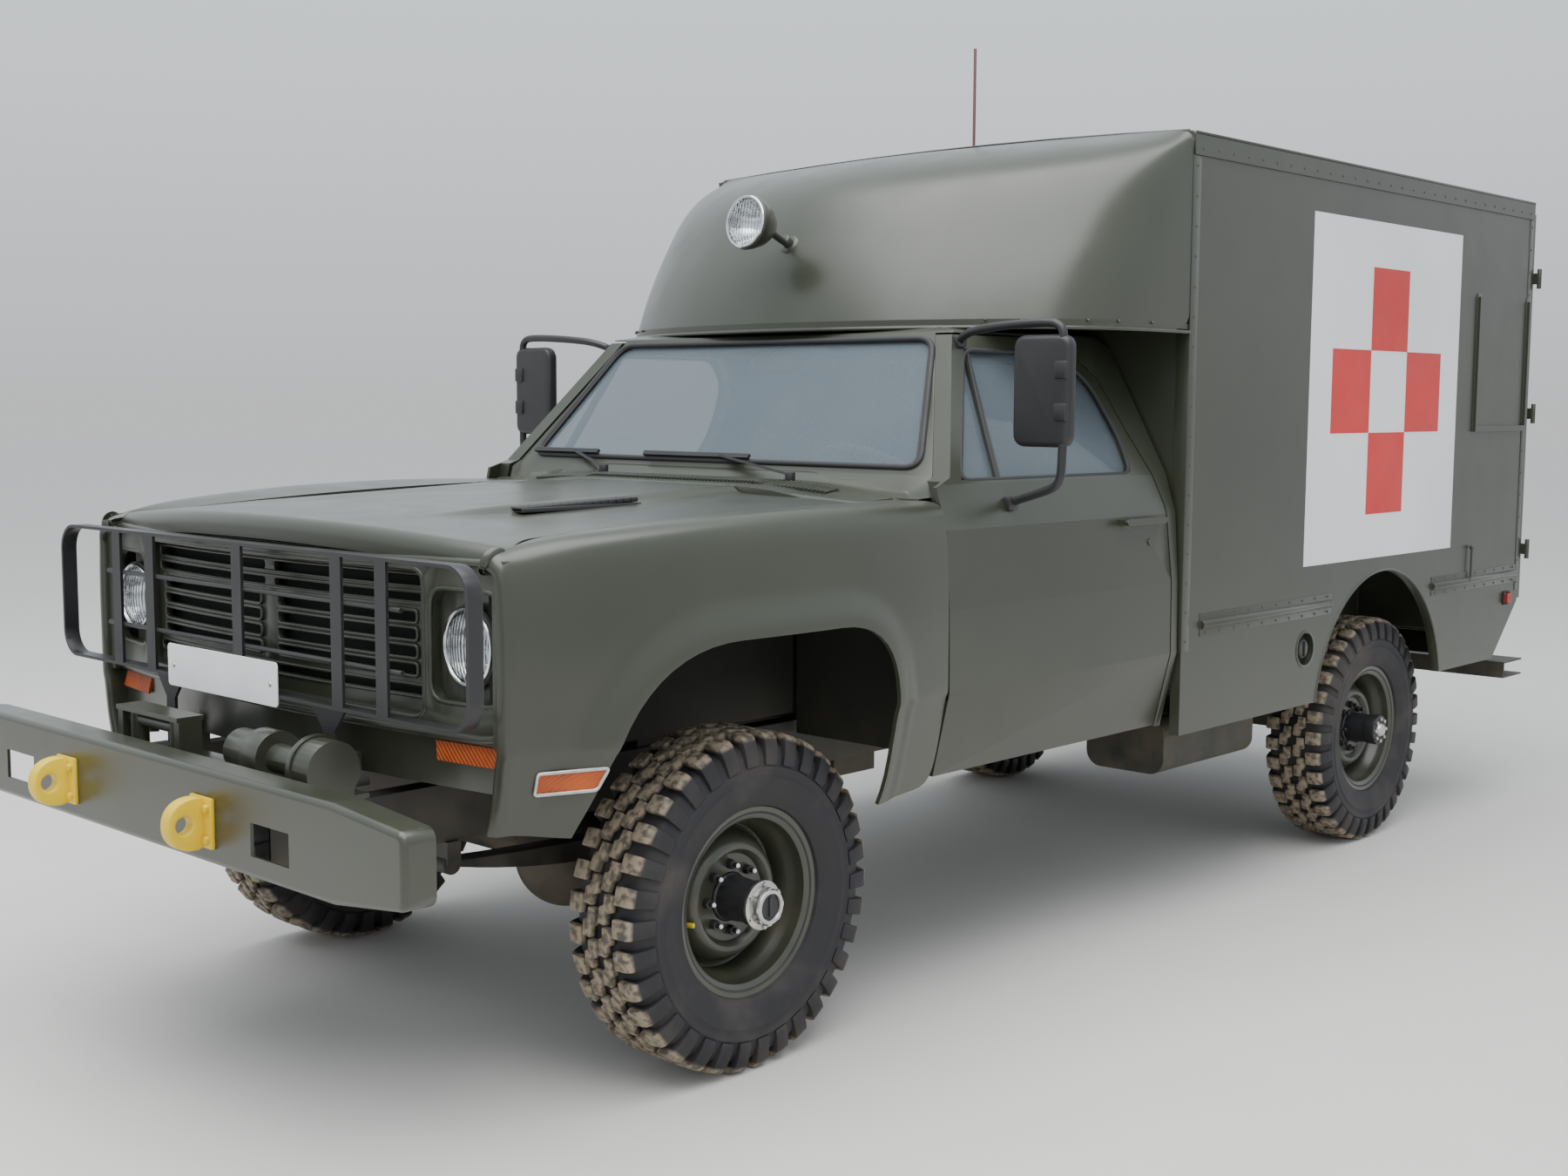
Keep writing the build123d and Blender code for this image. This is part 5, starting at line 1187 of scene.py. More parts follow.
@dataclass
class Nose:
    """Over-cab shell: one smooth sheet from the rim over the windscreen up to the roof."""

    rear: float = ahead(-1.798)
    half: float = BODY_HALF
    floor_low: float = 1.8585
    centre_line: tuple[tuple[float, float], ...] = (
        # distance ahead, height
        (-0.980, 1.850), (-1.010, 1.947), (-1.056, 2.050), (-1.104, 2.130), (-1.170, 2.229), (-1.248, 2.313),
        (-1.350, 2.374), (-1.490, 2.420), (-1.640, 2.449), (-1.798, 2.474),
    )

    def point(self, across: float, rise: float) -> Vector:
        """Point of the sheet.

        Args:
            across: From 0 at the right rear edge, round the front, to 1 at the left rear edge.
            rise: From 0 at the rim to 1 at the roof.

        Returns:
            The point.
        """
        place = rise * (len(self.centre_line) - 1)
        index = min(int(place), len(self.centre_line) - 2)
        share = place - index
        (x0, z0), (x1, z1) = self.centre_line[index:index + 2]
        front, height = ahead(x0 + (x1 - x0) * share), z0 + (z1 - z0) * share
        angle = (across - 0.5) * math.pi
        side = math.copysign(abs(math.sin(angle)) ** 1.25, angle)
        back = max(math.cos(angle), 0.0) ** (2 / (4.0 - 2.4 * rise))
        drop = rise * (0.020 * side * side + 0.037 * abs(side) ** 90)
        return Vector((self.rear + (front - self.rear) * back, self.half * side, height - drop))

    def rim(self, count: int = 64, inset: float = 0.0) -> list[Vector]:
        """Points along the rim, moved inwards by an inset."""
        points = [self.point(index / count, 0.0) for index in range(count + 1)]
        middle = Vector((self.rear, 0.0, 0.0))
        return [point - (point - middle).normalized() * inset for point in points]

    def build(self) -> None:
        """Makes the shell, its floor, its rim and the rivets along the rim's sides."""
        sheet = Form().skin(40, len(self.centre_line) - 1, self.point)
        sheet.done("nose_shell", Finish.BODY, smooth=60, stands_for=["body_nose"],
                   rounds=2)
        edge = [(point.x, point.y, self.floor_low) for point in self.rim(inset=0.006)]
        Form().slab(edge, (0, 0, 0.016)).done("nose_floor", Finish.BODY)
        lip = Form().tube([tuple(point) for point in self.rim()], 0.0055)
        lip.done("nose_lip", Finish.BODY, smooth=60)
        joint = Form()
        for index in range(25):
            point = self.point(0.02 + 0.96 * index / 24, 0.0)
            out = (point - Vector((self.rear, 0, point.z))).normalized() * 0.001
            if abs(point.y) > 0.7:
                joint.ball(tuple(point + out + Vector((0, 0, 0.022))), 0.005, steps=4)
        joint.done("nose_rivets", Finish.BODY)


@dataclass
class Wing:
    """Left or right front wing: a smooth skin with its wheel arch, flare and rolled front edge."""

    sign: int
    name: str
    nose: float = 0.748
    rear: float = -0.644
    corner_flare: float = 0.080
    skin: float = 0.012
    flare: float = 0.019
    flare_reach: float = 0.105
    flare_edge: float = 0.006
    side_from: float = 0.86
    last_section: float = 0.70
    front_drop: float = 0.014
    sections: tuple[tuple[float, ...], ...] = (
        # station, inner y, inner z, crest y, crest z, shoulder y, shoulder z, crease y, bottom y, bottom z
        (0.690, 0.764, 1.322, 0.862, 1.334, 0.902, 1.284, 0.912, 0.872, 0.700),
        (0.250, 0.780, 1.350, 0.945, 1.369, 0.989, 1.315, 1.003, 0.950, 0.640),
        (-0.644, 0.816, 1.372, 0.958, 1.376, 0.989, 1.322, 1.003, 0.948, 0.624),
    )
    arch: tuple[tuple[float, float], ...] = ((0.662, 0.500), (0.385, 1.089), (-0.398, 1.094), (-0.399, 0.500))
    arch_round: float = 0.230

    def arch_line(self, grow: float = 0.0) -> list[Vector]:
        """Outline of the wheel arch, as distance ahead and height.

        Args:
            grow: How far the outline is moved outwards.

        Returns:
            The outline's points.
        """
        low, front, rear, foot = self.arch
        corners = [(low[0] + grow, low[1]), (front[0] + grow * 0.6, front[1] + grow),
                   (rear[0] - grow, rear[1] + grow), (foot[0] - grow, foot[1])]
        return [Vector((p[0], p[1])) for p in rounded([(*corner, 0.0) for corner in corners],
                                                      self.arch_round, steps=10)]

    def values(self, station: float) -> list[float]:
        """Section values at a station, through the three sections.

        Args:
            station: Place along the truck.

        Returns:
            Heights and distances of the section's corners.
        """
        a, b, c = self.sections
        rows = []
        for i in range(1, len(a)):
            total = 0.0
            for row, others in ((a, (b, c)), (b, (a, c)), (c, (a, b))):
                weight = row[i]
                for other in others:
                    weight *= (station - other[0]) / (row[0] - other[0])
                total += weight
            rows.append(total)
        return rows

    def grid(self) -> tuple[list[float], list[float]]:
        """Stations along the wing and how far each is drawn in towards the lamp.

        Returns:
            The stations and their pulls.
        """
        stations = [self.nose - 0.070, self.nose - 0.012, self.nose - 0.001, self.nose - 0.004,
                    self.nose - 0.018, self.nose - 0.045]
        pulls = [0.048, 0.046, 0.036, 0.014, 0.003, 0.0]
        steps = 15
        start = self.nose - 0.080
        for index in range(steps):
            stations.append(start + (self.rear - start) * index / (steps - 1))
            pulls.append(0.0)
        return stations, pulls

    def section(self, station: float, pull: float) -> list[Point]:
        """Points of the skin across one station.

        Args:
            station: Place along the truck.
            pull: How far it is drawn in.

        Returns:
            The points.
        """
        values = self.values(min(station, self.last_section))
        in_y, in_z, crest_y, crest_z, side_y, side_z, crease_y, low_y, low_z = values
        ahead_of_lamp = smoothstep(station, 0.55, self.nose)
        in_y += self.corner_flare * ahead_of_lamp
        in_z, crest_z, side_z = (z - self.front_drop * ahead_of_lamp for z in (in_z, crest_z, side_z))
        half_y = (side_y + crease_y) / 2 + 0.003
        points = [
            (in_y, in_z), (in_y * 0.5 + crest_y * 0.5, in_z * 0.4 + crest_z * 0.6 + 0.002),
            (crest_y - 0.022, crest_z),
            (crest_y + 0.012, crest_z - 0.008), (side_y - 0.006, side_z + 0.018),
            (side_y + 0.002, side_z - 0.030),
            (half_y, 1.190), (half_y + 0.004, 1.080), (crease_y - 0.001, 0.960), (crease_y, 0.892),
            (crease_y - 0.001, 0.872), (crease_y - 0.010, 0.856), (crease_y * 0.55 + low_y * 0.45, 0.770),
            (low_y, low_z),
        ]
        x = ahead(station)
        drawn = []
        for y, z in points:
            top = smoothstep(z, 1.22, 1.31)
            drawn.append((x, y - pull * (1 - 0.7 * top), z - top * pull))
        return drawn

    def outside(self, station: float, z: float) -> float:
        """Distance of the skin from the middle of the truck at a place on the wing's side.

        Args:
            station: Place along the truck.
            z: Height.

        Returns:
            The distance.
        """
        points = [(y, height) for _, y, height in self.section(station, 0.0)]
        y = points[-1][0]
        for (upper_y, upper_z), (lower_y, lower_z) in zip(points[4:], points[5:]):
            if lower_z <= z <= upper_z:
                y = lower_y + (upper_y - lower_y) * (z - lower_z) / (upper_z - lower_z)
        return y + self.flare_at(Vector((station, z)))

    def flare_at(self, here: Vector) -> float:
        """How far the wing stands out near the wheel arch."""
        line = self.arch_line()
        near = min(segment_distance(here, line[i], line[(i + 1) % len(line)]) for i in range(len(line)))
        return self.flare * (1 - smoothstep(near, self.flare_edge, self.flare_reach))

    def build(self) -> None:
        """Makes the wing and its dark inner panel."""
        stations, pulls = self.grid()
        rows = [self.section(station, pull) for station, pull in zip(stations, pulls)]
        last = len(rows) - 1
        width = len(rows[0]) - 1
        form = Form().skin(last, width, lambda u, v: Vector(rows[round(u * last)][round(v * width)]))
        form.refined(3)
        line = self.arch_line()
        for vert in form.mesh.verts:
            here = Vector((vert.co.x - AXLE, vert.co.z))
            if vert.co.y > self.side_from and -0.56 < here.x < 0.72:
                vert.co.y += self.flare_at(here)
        form.thicken(self.skin)
        cutter = Form().slab([(ahead(p.x), 0.60, p.y) for p in line], (0, 0.60, 0))
        form.cut(cutter)
        form.sided(self.sign).done(self.name, Finish.BODY, smooth=50,
                                   stands_for=[self.name.replace("_skin", "")])
        liner = Form().block((ahead(-0.62), 0.462, 0.76), (ahead(0.60), 0.468, 1.33), bevel=0.001, segments=1)
        liner.block((ahead(-0.640), 0.47, 0.70), (ahead(-0.632), 0.955, 1.34), bevel=0.001, segments=1)
        liner.sided(self.sign).done(self.name.replace("skin", "liner"), Finish.CHASSIS)


def segment_distance(point: Vector, start: Vector, end: Vector) -> float:
    """Distance of a point from a straight run."""
    run = end - start
    share = min(max((point - start).dot(run) / max(run.length_squared, 1e-9), 0.0), 1.0)
    return (point - start - run * share).length


@dataclass
class Bonnet:
    """Bonnet skin with its raised, creased middle, rolled front lip and hinge knuckles."""

    rear: float = ahead(-0.494)
    front: float = ahead(0.793)
    corner: float = ahead(0.722)
    front_half: float = 0.761
    rear_half: float = 0.8085
    corner_flare: float = 0.080
    roll: float = 0.034
    crown: tuple[float, float] = (1.358, 1.402)
    plateau: float = 0.016
    hinge_y: float = 0.250
    lip_start: float = 0.94
    lip_depth: float = 0.022
    side_depth: float = 0.020
    sheet: float = 0.004
    outer_drop: tuple[float, float] = (0.036, 0.020)
    crease: tuple[float, float] = (0.335, 0.385)
    crease_bead: float = 0.006

    def point(self, across: float, along: float) -> Vector:
        """Point of the skin.

        Args:
            across: From 0 at the right edge to 1 at the left edge.
            along: From 0 at the rear edge to 1 at the front lip.

        Returns:
            The point.
        """
        run = min(along / self.lip_start, 1.0)
        reach = math.sin(run * math.pi / 2) ** 0.9
        side = 2 * across - 1
        fold = smoothstep(abs(side), 0.985, 1.0)
        share = min(abs(side) / 0.99, 1.0)
        wide = self.rear_half + (self.front_half - self.rear_half) * reach
        wide += self.corner_flare * smoothstep(self.rear + (self.corner - self.rear) * reach, ahead(0.55),
                                               ahead(0.722))
        y = math.copysign(share, side) * wide
        front = bow(y, self.front, self.corner, self.front_half)
        x = self.rear + (front - self.rear) * reach
        height = self.crown[1] + (self.crown[0] - self.crown[1]) * (x - self.rear) / (self.front - self.rear)
        rest = self.profile(abs(y), smoothstep(x, ahead(0.62), ahead(0.30)))
        edge = max(self.roll - (front - x), 0.0)
        lip = self.roll - math.sqrt(max(self.roll ** 2 - edge ** 2, 0.0))
        under = self.lip_depth * max((along - self.lip_start) / (1 - self.lip_start), 0.0)
        return Vector((x, y, height + rest - lip - under - self.side_depth * fold))

    def profile(self, y: float, raised: float) -> float:
        """Drop of the skin below its crown at a distance from the middle.

        Args:
            y: Distance from the middle.
            raised: How far the raised middle has come up, from 0 to 1.

        Returns:
            The drop.
        """
        plain, creased = self.outer_drop
        outer = -(plain + (creased - plain) * raised) * (y / 0.78) ** 2.2
        step = -self.plateau * smoothstep(y, *self.crease) * raised
        hollow = self.crease_bead * math.exp(-((y - 0.345) / 0.03) ** 2) * raised
        return outer + step * (1 - 0.35 * smoothstep(y, 0.45, 0.75)) + hollow

    def build(self) -> None:
        """Makes the skin and the knuckles."""
        skin = Form().skin(150, 110, self.point).thicken(self.sheet)
        skin.done("bonnet_skin", Finish.BODY, "bonnet_lid", smooth=50, stands_for=["bonnet"])
        pin_x, pin_z = self.rear - 0.003, self.crown[1] - 0.008
        knuckles = Form().rod((pin_x, self.hinge_y - 0.03, pin_z), (pin_x, self.hinge_y + 0.03, pin_z),
                              0.006, bevel=0.001)
        knuckles.block((pin_x, self.hinge_y - 0.03, pin_z - 0.006),
                       (pin_x + 0.05, self.hinge_y + 0.03, pin_z - 0.001))
        knuckles.mirrored().done("bonnet_knuckles", Finish.BODY, "bonnet_lid")
        strip = Form()
        for index in range(15):
            x = ahead(-0.085) + index * 0.026
            top = self.surface(x, 0.372)
            strip.block((x - 0.011, 0.345, top), (x + 0.011, 0.400, top + 0.012), bevel=0.003)
        top = self.surface(ahead(0.1), 0.372)
        strip.block((ahead(-0.105), 0.341, top - 0.008), (ahead(0.290), 0.404, top + 0.004), bevel=0.003)
        strip.done("bonnet_rubber_strip", Finish.SEAL, "bonnet_lid")

    def surface(self, x: float, y: float) -> float:
        """Height of the skin at a place away from its edges."""
        height = self.crown[1] + (self.crown[0] - self.crown[1]) * (x - self.rear) / (self.front - self.rear)
        return height + self.profile(abs(y), smoothstep(x, ahead(0.62), ahead(0.30)))


@dataclass
class FrontEnd:
    """Bars, beads and shades of the grille, the headlamps, the lamp frames and the blank plate."""

    insert_front: float = ahead(0.750)
    insert_corner: float = ahead(0.674)
    face_front: float = ahead(0.780)
    face_corner: float = ahead(0.704)
    slots: tuple[float, ...] = (1.152, 1.112, 1.072, 1.032)
    lamp: Point = (ahead(0.712), 0.740, 1.100)

    def along(self, corners: Sequence[tuple[float, float]], radius: float, face: float, corner: float,
              proud: float) -> list[Point]:
        """Rounded outline across the truck, laid on a bowed face.

        Args:
            corners: Corners, as distance across and height.
            radius: Radius of the corners.
            face: Place of the face at the middle.
            corner: Place of the face at its ends.
            proud: How far the outline stands off.

        Returns:
            Points of the outline.
        """
        flat = rounded([(y, z, 0.0) for y, z in corners], radius, steps=4)
        dense = []
        for start, end in zip(flat, flat[1:] + flat[:1]):
            pieces = max(int((end - start).length / 0.09), 1)
            dense += [start.lerp(end, k / pieces) for k in range(pieces)]
        return [(bow(p.x, face, corner) + proud, p.x, p.y) for p in dense]

    def grille(self) -> None:
        """Raised frames of the slots, beads of the surround and the dark shade behind them."""
        frames = Form()
        for z in self.slots:
            for sign in (1, -1):
                inner, outer = sorted((sign * 0.036, sign * 0.564))
                box = [(inner, z - 0.015), (outer, z - 0.015), (outer, z + 0.015), (inner, z + 0.015)]
                frames.bead(self.along(box, 0.012, self.insert_front, self.insert_corner, 0.0015), 0.0042, 2)
        for z, half in ((1.235, 0.5925), (1.196, 0.5925), (0.985, 0.5925)):
            box = [(-half, z - 0.014), (half, z - 0.014), (half, z + 0.014), (-half, z + 0.014)]
            frames.bead(self.along(box, 0.012, self.insert_front, self.insert_corner, 0.0012), 0.0034, 2)
        frames.done("grille_slot_frames", Finish.BODY, smooth=60)
        beads = Form()
        outer = [(-0.868, 0.902), (0.868, 0.902), (0.868, 1.286), (-0.868, 1.286)]
        beads.bead(self.along(outer, 0.075, self.face_front, self.face_corner, -0.002), 0.0105)
        centre = [(-0.615, 0.932), (0.615, 0.932), (0.615, 1.265), (-0.615, 1.265)]
        beads.bead(self.along(centre, 0.035, self.face_front, self.face_corner, -0.003), 0.0065, 2)
        for sign in (1, -1):
            y = sign * 0.740
            box = [(y - 0.106, 0.974), (y + 0.106, 0.974), (y + 0.106, 1.226), (y - 0.106, 1.226)]
            beads.bead(self.along(box, 0.045, self.face_front, self.face_corner, -0.003), 0.006, 2)
        beads.done("grille_beads", Finish.BODY, smooth=60)
        # Painted shade: a near-black sheet behind the slots stands in for the shade inside the grille.
        steps = 16
        front = [(-0.60 + 1.2 * i / steps) for i in range(steps + 1)]
        edge = [(bow(y, self.insert_front, self.insert_corner) - 0.030, y, 0.960) for y in front]
        edge += [(x - 0.004, y, z) for x, y, z in reversed(edge)]
        shade = Form().slab(edge, (0, 0, 0.295))
        shade.done("grille_shade", Finish.SHADOW)

    def headlamps(self) -> None:
        """Sealed-beam headlamps: reflector, ribbed lens, dark gap and painted rim."""
        x, y, z = self.lamp
        place = Matrix.Translation((x, y, z)) @ Matrix.Rotation(-math.pi / 2, 4, "Z")
        dish = [(-0.050, 0.0), (-0.050, 0.018), (-0.044, 0.034), (-0.034, 0.050), (-0.020, 0.064),
                (-0.004, 0.0765),
                (0.000, 0.0775), (-0.004, 0.0795), (-0.024, 0.068), (-0.040, 0.052), (-0.052, 0.030),
                (-0.056, 0.0)]
        lens = [(0.0165, 0.0), (0.0155, 0.020), (0.0125, 0.040), (0.0075, 0.060), (0.001, 0.0765),
                (-0.003, 0.0785),
                (-0.003, 0.074), (0.004, 0.058), (0.009, 0.039), (0.012, 0.020), (0.013, 0.0)]
        rim = [(-0.006, 0.0780), (0.005, 0.0785), (0.0085, 0.0815), (0.008, 0.0860), (0.003, 0.0890),
               (-0.006, 0.0895)]
        gap = [(-0.006, 0.0885), (0.0005, 0.0890), (0.0012, 0.0925), (-0.006, 0.0935)]
        for name, profile, finish, slot, closed in (
            ("headlamp_reflectors", dish, Finish.CHROME, "black_metal", False),
            ("headlamp_lenses", lens, Finish.LENS, "lamp_glass", False),
            ("headlamp_rims", rim, Finish.CHROME, "black_metal", True),
            ("headlamp_gaps", gap, Finish.SEAL, "tyre_rubber", True),
        ):
            form = Form().turned(profile, 64, closed=closed).move(place).mirrored()
            stands = ["headlamps"] if name == "headlamp_lenses" else []
            form.done(name, finish, "truck", slot, smooth=50, stands_for=stands)
        shell = [(-0.006, 0.092), (-0.020, 0.088), (-0.048, 0.062), (-0.068, 0.040), (-0.068, 0.0)]
        Form().turned(shell, 32).move(place).mirrored().done("headlamp_shells", Finish.CHASSIS)
        bulb = Form().rod((x - 0.045, y, z), (x - 0.022, y, z), 0.012, tip=0.010, sides=20, bevel=0.002)
        bulb.mirrored().done("headlamp_bulb_shields", Finish.CHROME)

    def plate(self) -> None:
        """Blank number plate, bolted to the brush guard."""
        x = ahead(0.8425)
        corners = [(x, -0.330, 0.915), (x, 0.180, 0.915), (x, 0.180, 1.022), (x, -0.330, 1.022)]
        Form().slab(rounded(corners, 0.012), (0.004, 0, 0), bevel=0.0008,
                    segments=1).done("number_plate_blank", Finish.PLATE)
        bolts = Form()
        for y in (-0.300, 0.150):
            bolts.rod((x + 0.003, y, 0.968), (x + 0.0065, y, 0.968), 0.0065, tip=0.005, sides=16,
                      bevel=0.0008)
            bolts.rod((x - 0.006, y, 0.968), (x + 0.003, y, 0.968), 0.004, sides=12)
        bolts.done("number_plate_bolts", Finish.STEEL, slot="black_metal")

    def build(self) -> None:
        """Makes every piece of the front end."""
        self.grille()
        self.headlamps()
        self.plate()


@dataclass
class CabShell:
    """The cab's own shell, with the ends of its cowl lowered to the wings."""

    cuts: tuple[float, ...] = (0.40, 0.50, 0.60, 0.70, 0.78)
    drop: float = 0.040

    def build(self, node: bpy.types.Object) -> None:
        """Makes the shell from a copy of the node's mesh.

        Args:
            node: The cab of the frame.
        """
        form = Form()
        form.mesh.from_mesh(node.data)
        form.move(node.matrix_world)
        bmesh.ops.remove_doubles(form.mesh, verts=form.mesh.verts[:], dist=WELD_DISTANCE)
        for y in self.cuts:
            for sign in (1, -1):
                geometry = form.mesh.verts[:] + form.mesh.edges[:] + form.mesh.faces[:]
                bmesh.ops.bisect_plane(form.mesh, geom=geometry, plane_co=(0, sign * y, 0),
                                       plane_no=(0, 1, 0))
        for vert in form.mesh.verts:
            x, y, z = vert.co
            if ahead(-0.695) < x < ahead(-0.49) and 1.385 < z < 1.42:
                vert.co.z -= self.drop * smoothstep(abs(y), 0.38, 0.79)
        shell = form.done("cab_shell", Finish.BODY, smooth=38, stands_for=["cab"])
        soften(shell)


@dataclass
class AmberLamps:
    """Side lamps in pale frames on the wings and turn lamps under the grille."""

    side: tuple[tuple[float, float], ...] = ((0.668, 0.7885), (0.663, 0.8355), (0.508, 0.8355),
                                             (0.534, 0.7885))
    turn: tuple[tuple[float, float], ...] = ((0.650, 0.842), (0.838, 0.842), (0.822, 0.885), (0.640, 0.885))

    def patch(self, corners: Sequence[tuple[float, float]], place: Callable[[float, float], Point]) -> Form:
        """Lens between four corners, laid on a surface.

        Args:
            corners: Corners of the lens.
            place: Gives the point for two values.

        Returns:
            The lens.
        """
        low_a, high_a, high_b, low_b = (Vector((*corner, 0.0)) for corner in corners)

        def point(u: float, v: float) -> Vector:
            """Point of the lens."""
            flat = low_a.lerp(low_b, u).lerp(high_a.lerp(high_b, u), v)
            return Vector(place(flat.x, flat.y))
        return Form().skin(24, 8, point).thicken(0.007)

    def build(self) -> None:
        """Makes the lenses and the frames."""
        wing = Wing(1, "fender_left_skin")
        lens = self.patch(self.side, lambda x, z: (ahead(x), wing.outside(x, z) + 0.0035, z))
        low_a, low_b, high_b, high_a = self.turn
        lens.add(self.patch((low_b, high_b, high_a, low_a),
                            lambda y, z: (bow(y, ahead(0.780),
                                              ahead(0.704)) - 0.0065 - 0.003 * (z - 0.865) / 0.02, y, z)))
        lens.mirrored().done("amber_lamp_lenses", Finish.AMBER, smooth=40,
                             stands_for=["amber_lamps"])
        frames = Form()
        line = []
        for p in rounded([(x, z, 0.0) for x, z in self.side], 0.008, steps=3):
            line.append((ahead(p.x), wing.outside(p.x, p.y) + 0.0025, p.y))
        frames.bead(line, 0.0044)
        frames.mirrored().done("side_lamp_frames", Finish.STEEL, slot="body_green", smooth=60)


@dataclass
class TowingEyes:
    """Two D-shaped lugs with a hole each, bolted to the bumper's face."""

    face: float = 2.8515
    reach: float = 0.0955
    low: float = 0.655
    high: float = 0.773
    thick: float = 0.036
    places: tuple[float, ...] = (0.320, -0.320)

    def build(self) -> None:
        """Makes both lugs with their bolts."""
        both = Form()
        for y in self.places:
            x, low, high = self.face, self.low, self.high
            half = self.thick / 2
            outline = [(x, low), (x + 0.060, low), (x + self.reach, low + 0.032),
                       (x + self.reach, high - 0.032), (x + 0.060, high), (x, high)]
            curve = rounded([(a, y - half, b) for a, b in outline], 0.034, steps=6)
            middle = (low + high) / 2
            hole = [Vector((x + 0.056 + 0.020 * math.cos(turn), y - half, middle + 0.020 * math.sin(turn)))
                    for turn in (FULL_TURN * (k + 0.5) / len(curve) - math.pi * 0.78
                                 for k in range(len(curve)))]
            both.ring(curve, hole, self.thick)
            both.block((x - 0.001, y - 0.046, low + 0.002), (x + 0.010, y + 0.046, high - 0.002),
                       bevel=0.004, segments=2)
            for bolt_y in (y - 0.033, y + 0.033):
                for z in (low + 0.024, high - 0.024):
                    both.rod((x + 0.009, bolt_y, z), (x + 0.020, bolt_y, z), 0.0095, sides=6, bevel=0.0015)
        both.done("towing_eye_lugs", Finish.YELLOW, smooth=40,
                  stands_for=["towing_eyes"])


@dataclass
class Cowl:
    """Panel between the bonnet and the windscreen, with its louvres."""

    front: float = ahead(-0.506)
    rear: float = ahead(-0.733)
    half: float = 0.885
    rear_half: float = 0.824
    wing_top: float = 1.3745
    louvre_half: float = 0.620
    louvre_pitch: float = 0.0155

    def height(self, x: float, y: float = 0.0) -> float:
        """Height of the panel at a place.

        Args:
            x: Place along the truck.
            y: Distance from the middle.

        Returns:
            The height.
        """
        share = (self.front - x) / (self.front - self.rear)
        middle = 1.4025 + 0.010 * share + 0.026 * smoothstep(share, 0.78, 1.0)
        crease = 0.012 * smoothstep(abs(y), 0.330, 0.400) * (1 - smoothstep(share, 0.2, 0.6))
        fall = smoothstep(abs(y), 0.40, 0.86 - 0.02 * share)
        return middle - crease - (middle - crease - self.wing_top) * fall * (1 - 0.55 * smoothstep(share,
                                                                                                   0.55, 1.0))

    def point(self, across: float, along: float) -> Vector:
        """Point of the panel.

        Args:
            across: From 0 at the right edge to 1 at the left edge.
            along: From 0 at the rear edge to 1 at the front edge.

        Returns:
            The point.
        """
        x = self.rear + (self.front - self.rear) * along
        half = self.rear_half + (self.half - self.rear_half) * smoothstep(x, ahead(-0.700), ahead(-0.652))
        y = (2 * across - 1) * half
        edge = 0.010 * smoothstep(abs(y) / half, 0.975, 1.0)
        lip = 0.008 * smoothstep(along, 0.965, 1.0)
        return Vector((x, y, self.height(x, y) - edge - lip))

    def build(self) -> None:
        """Makes the panel and the louvres."""
        panel = Form().skin(90, 40, self.point).thicken(0.002)
        panel.done("cowl_panel", Finish.BODY, smooth=40)
        front, rear = ahead(-0.578), ahead(-0.646)
        reach = self.louvre_half
        # Painted shade: a near-black sheet just under the slats stands in for the shade between them.
        bed = Form().skin(60, 4, lambda u, v: Vector((rear + (front - rear) * v, (2 * u - 1) * reach,
                                                      self.height(rear + (front - rear) * v,
                                                                  (2 * u - 1) * reach) + 0.0026)))
        bed.done("cowl_louvre_painted_shade", Finish.SHADOW)
        slats = Form()
        count = int(2 * self.louvre_half / self.louvre_pitch)
        for index in range(count):
            y = -self.louvre_half + (index + 0.5) * self.louvre_pitch
            slats.rod((front, y + 0.006, self.height(front, y) + 0.0034),
                      (rear, y - 0.006, self.height(rear, y) + 0.0034),
                      0.0044, sides=8)
        slats.done("cowl_louvres", Finish.BODY, smooth=60)


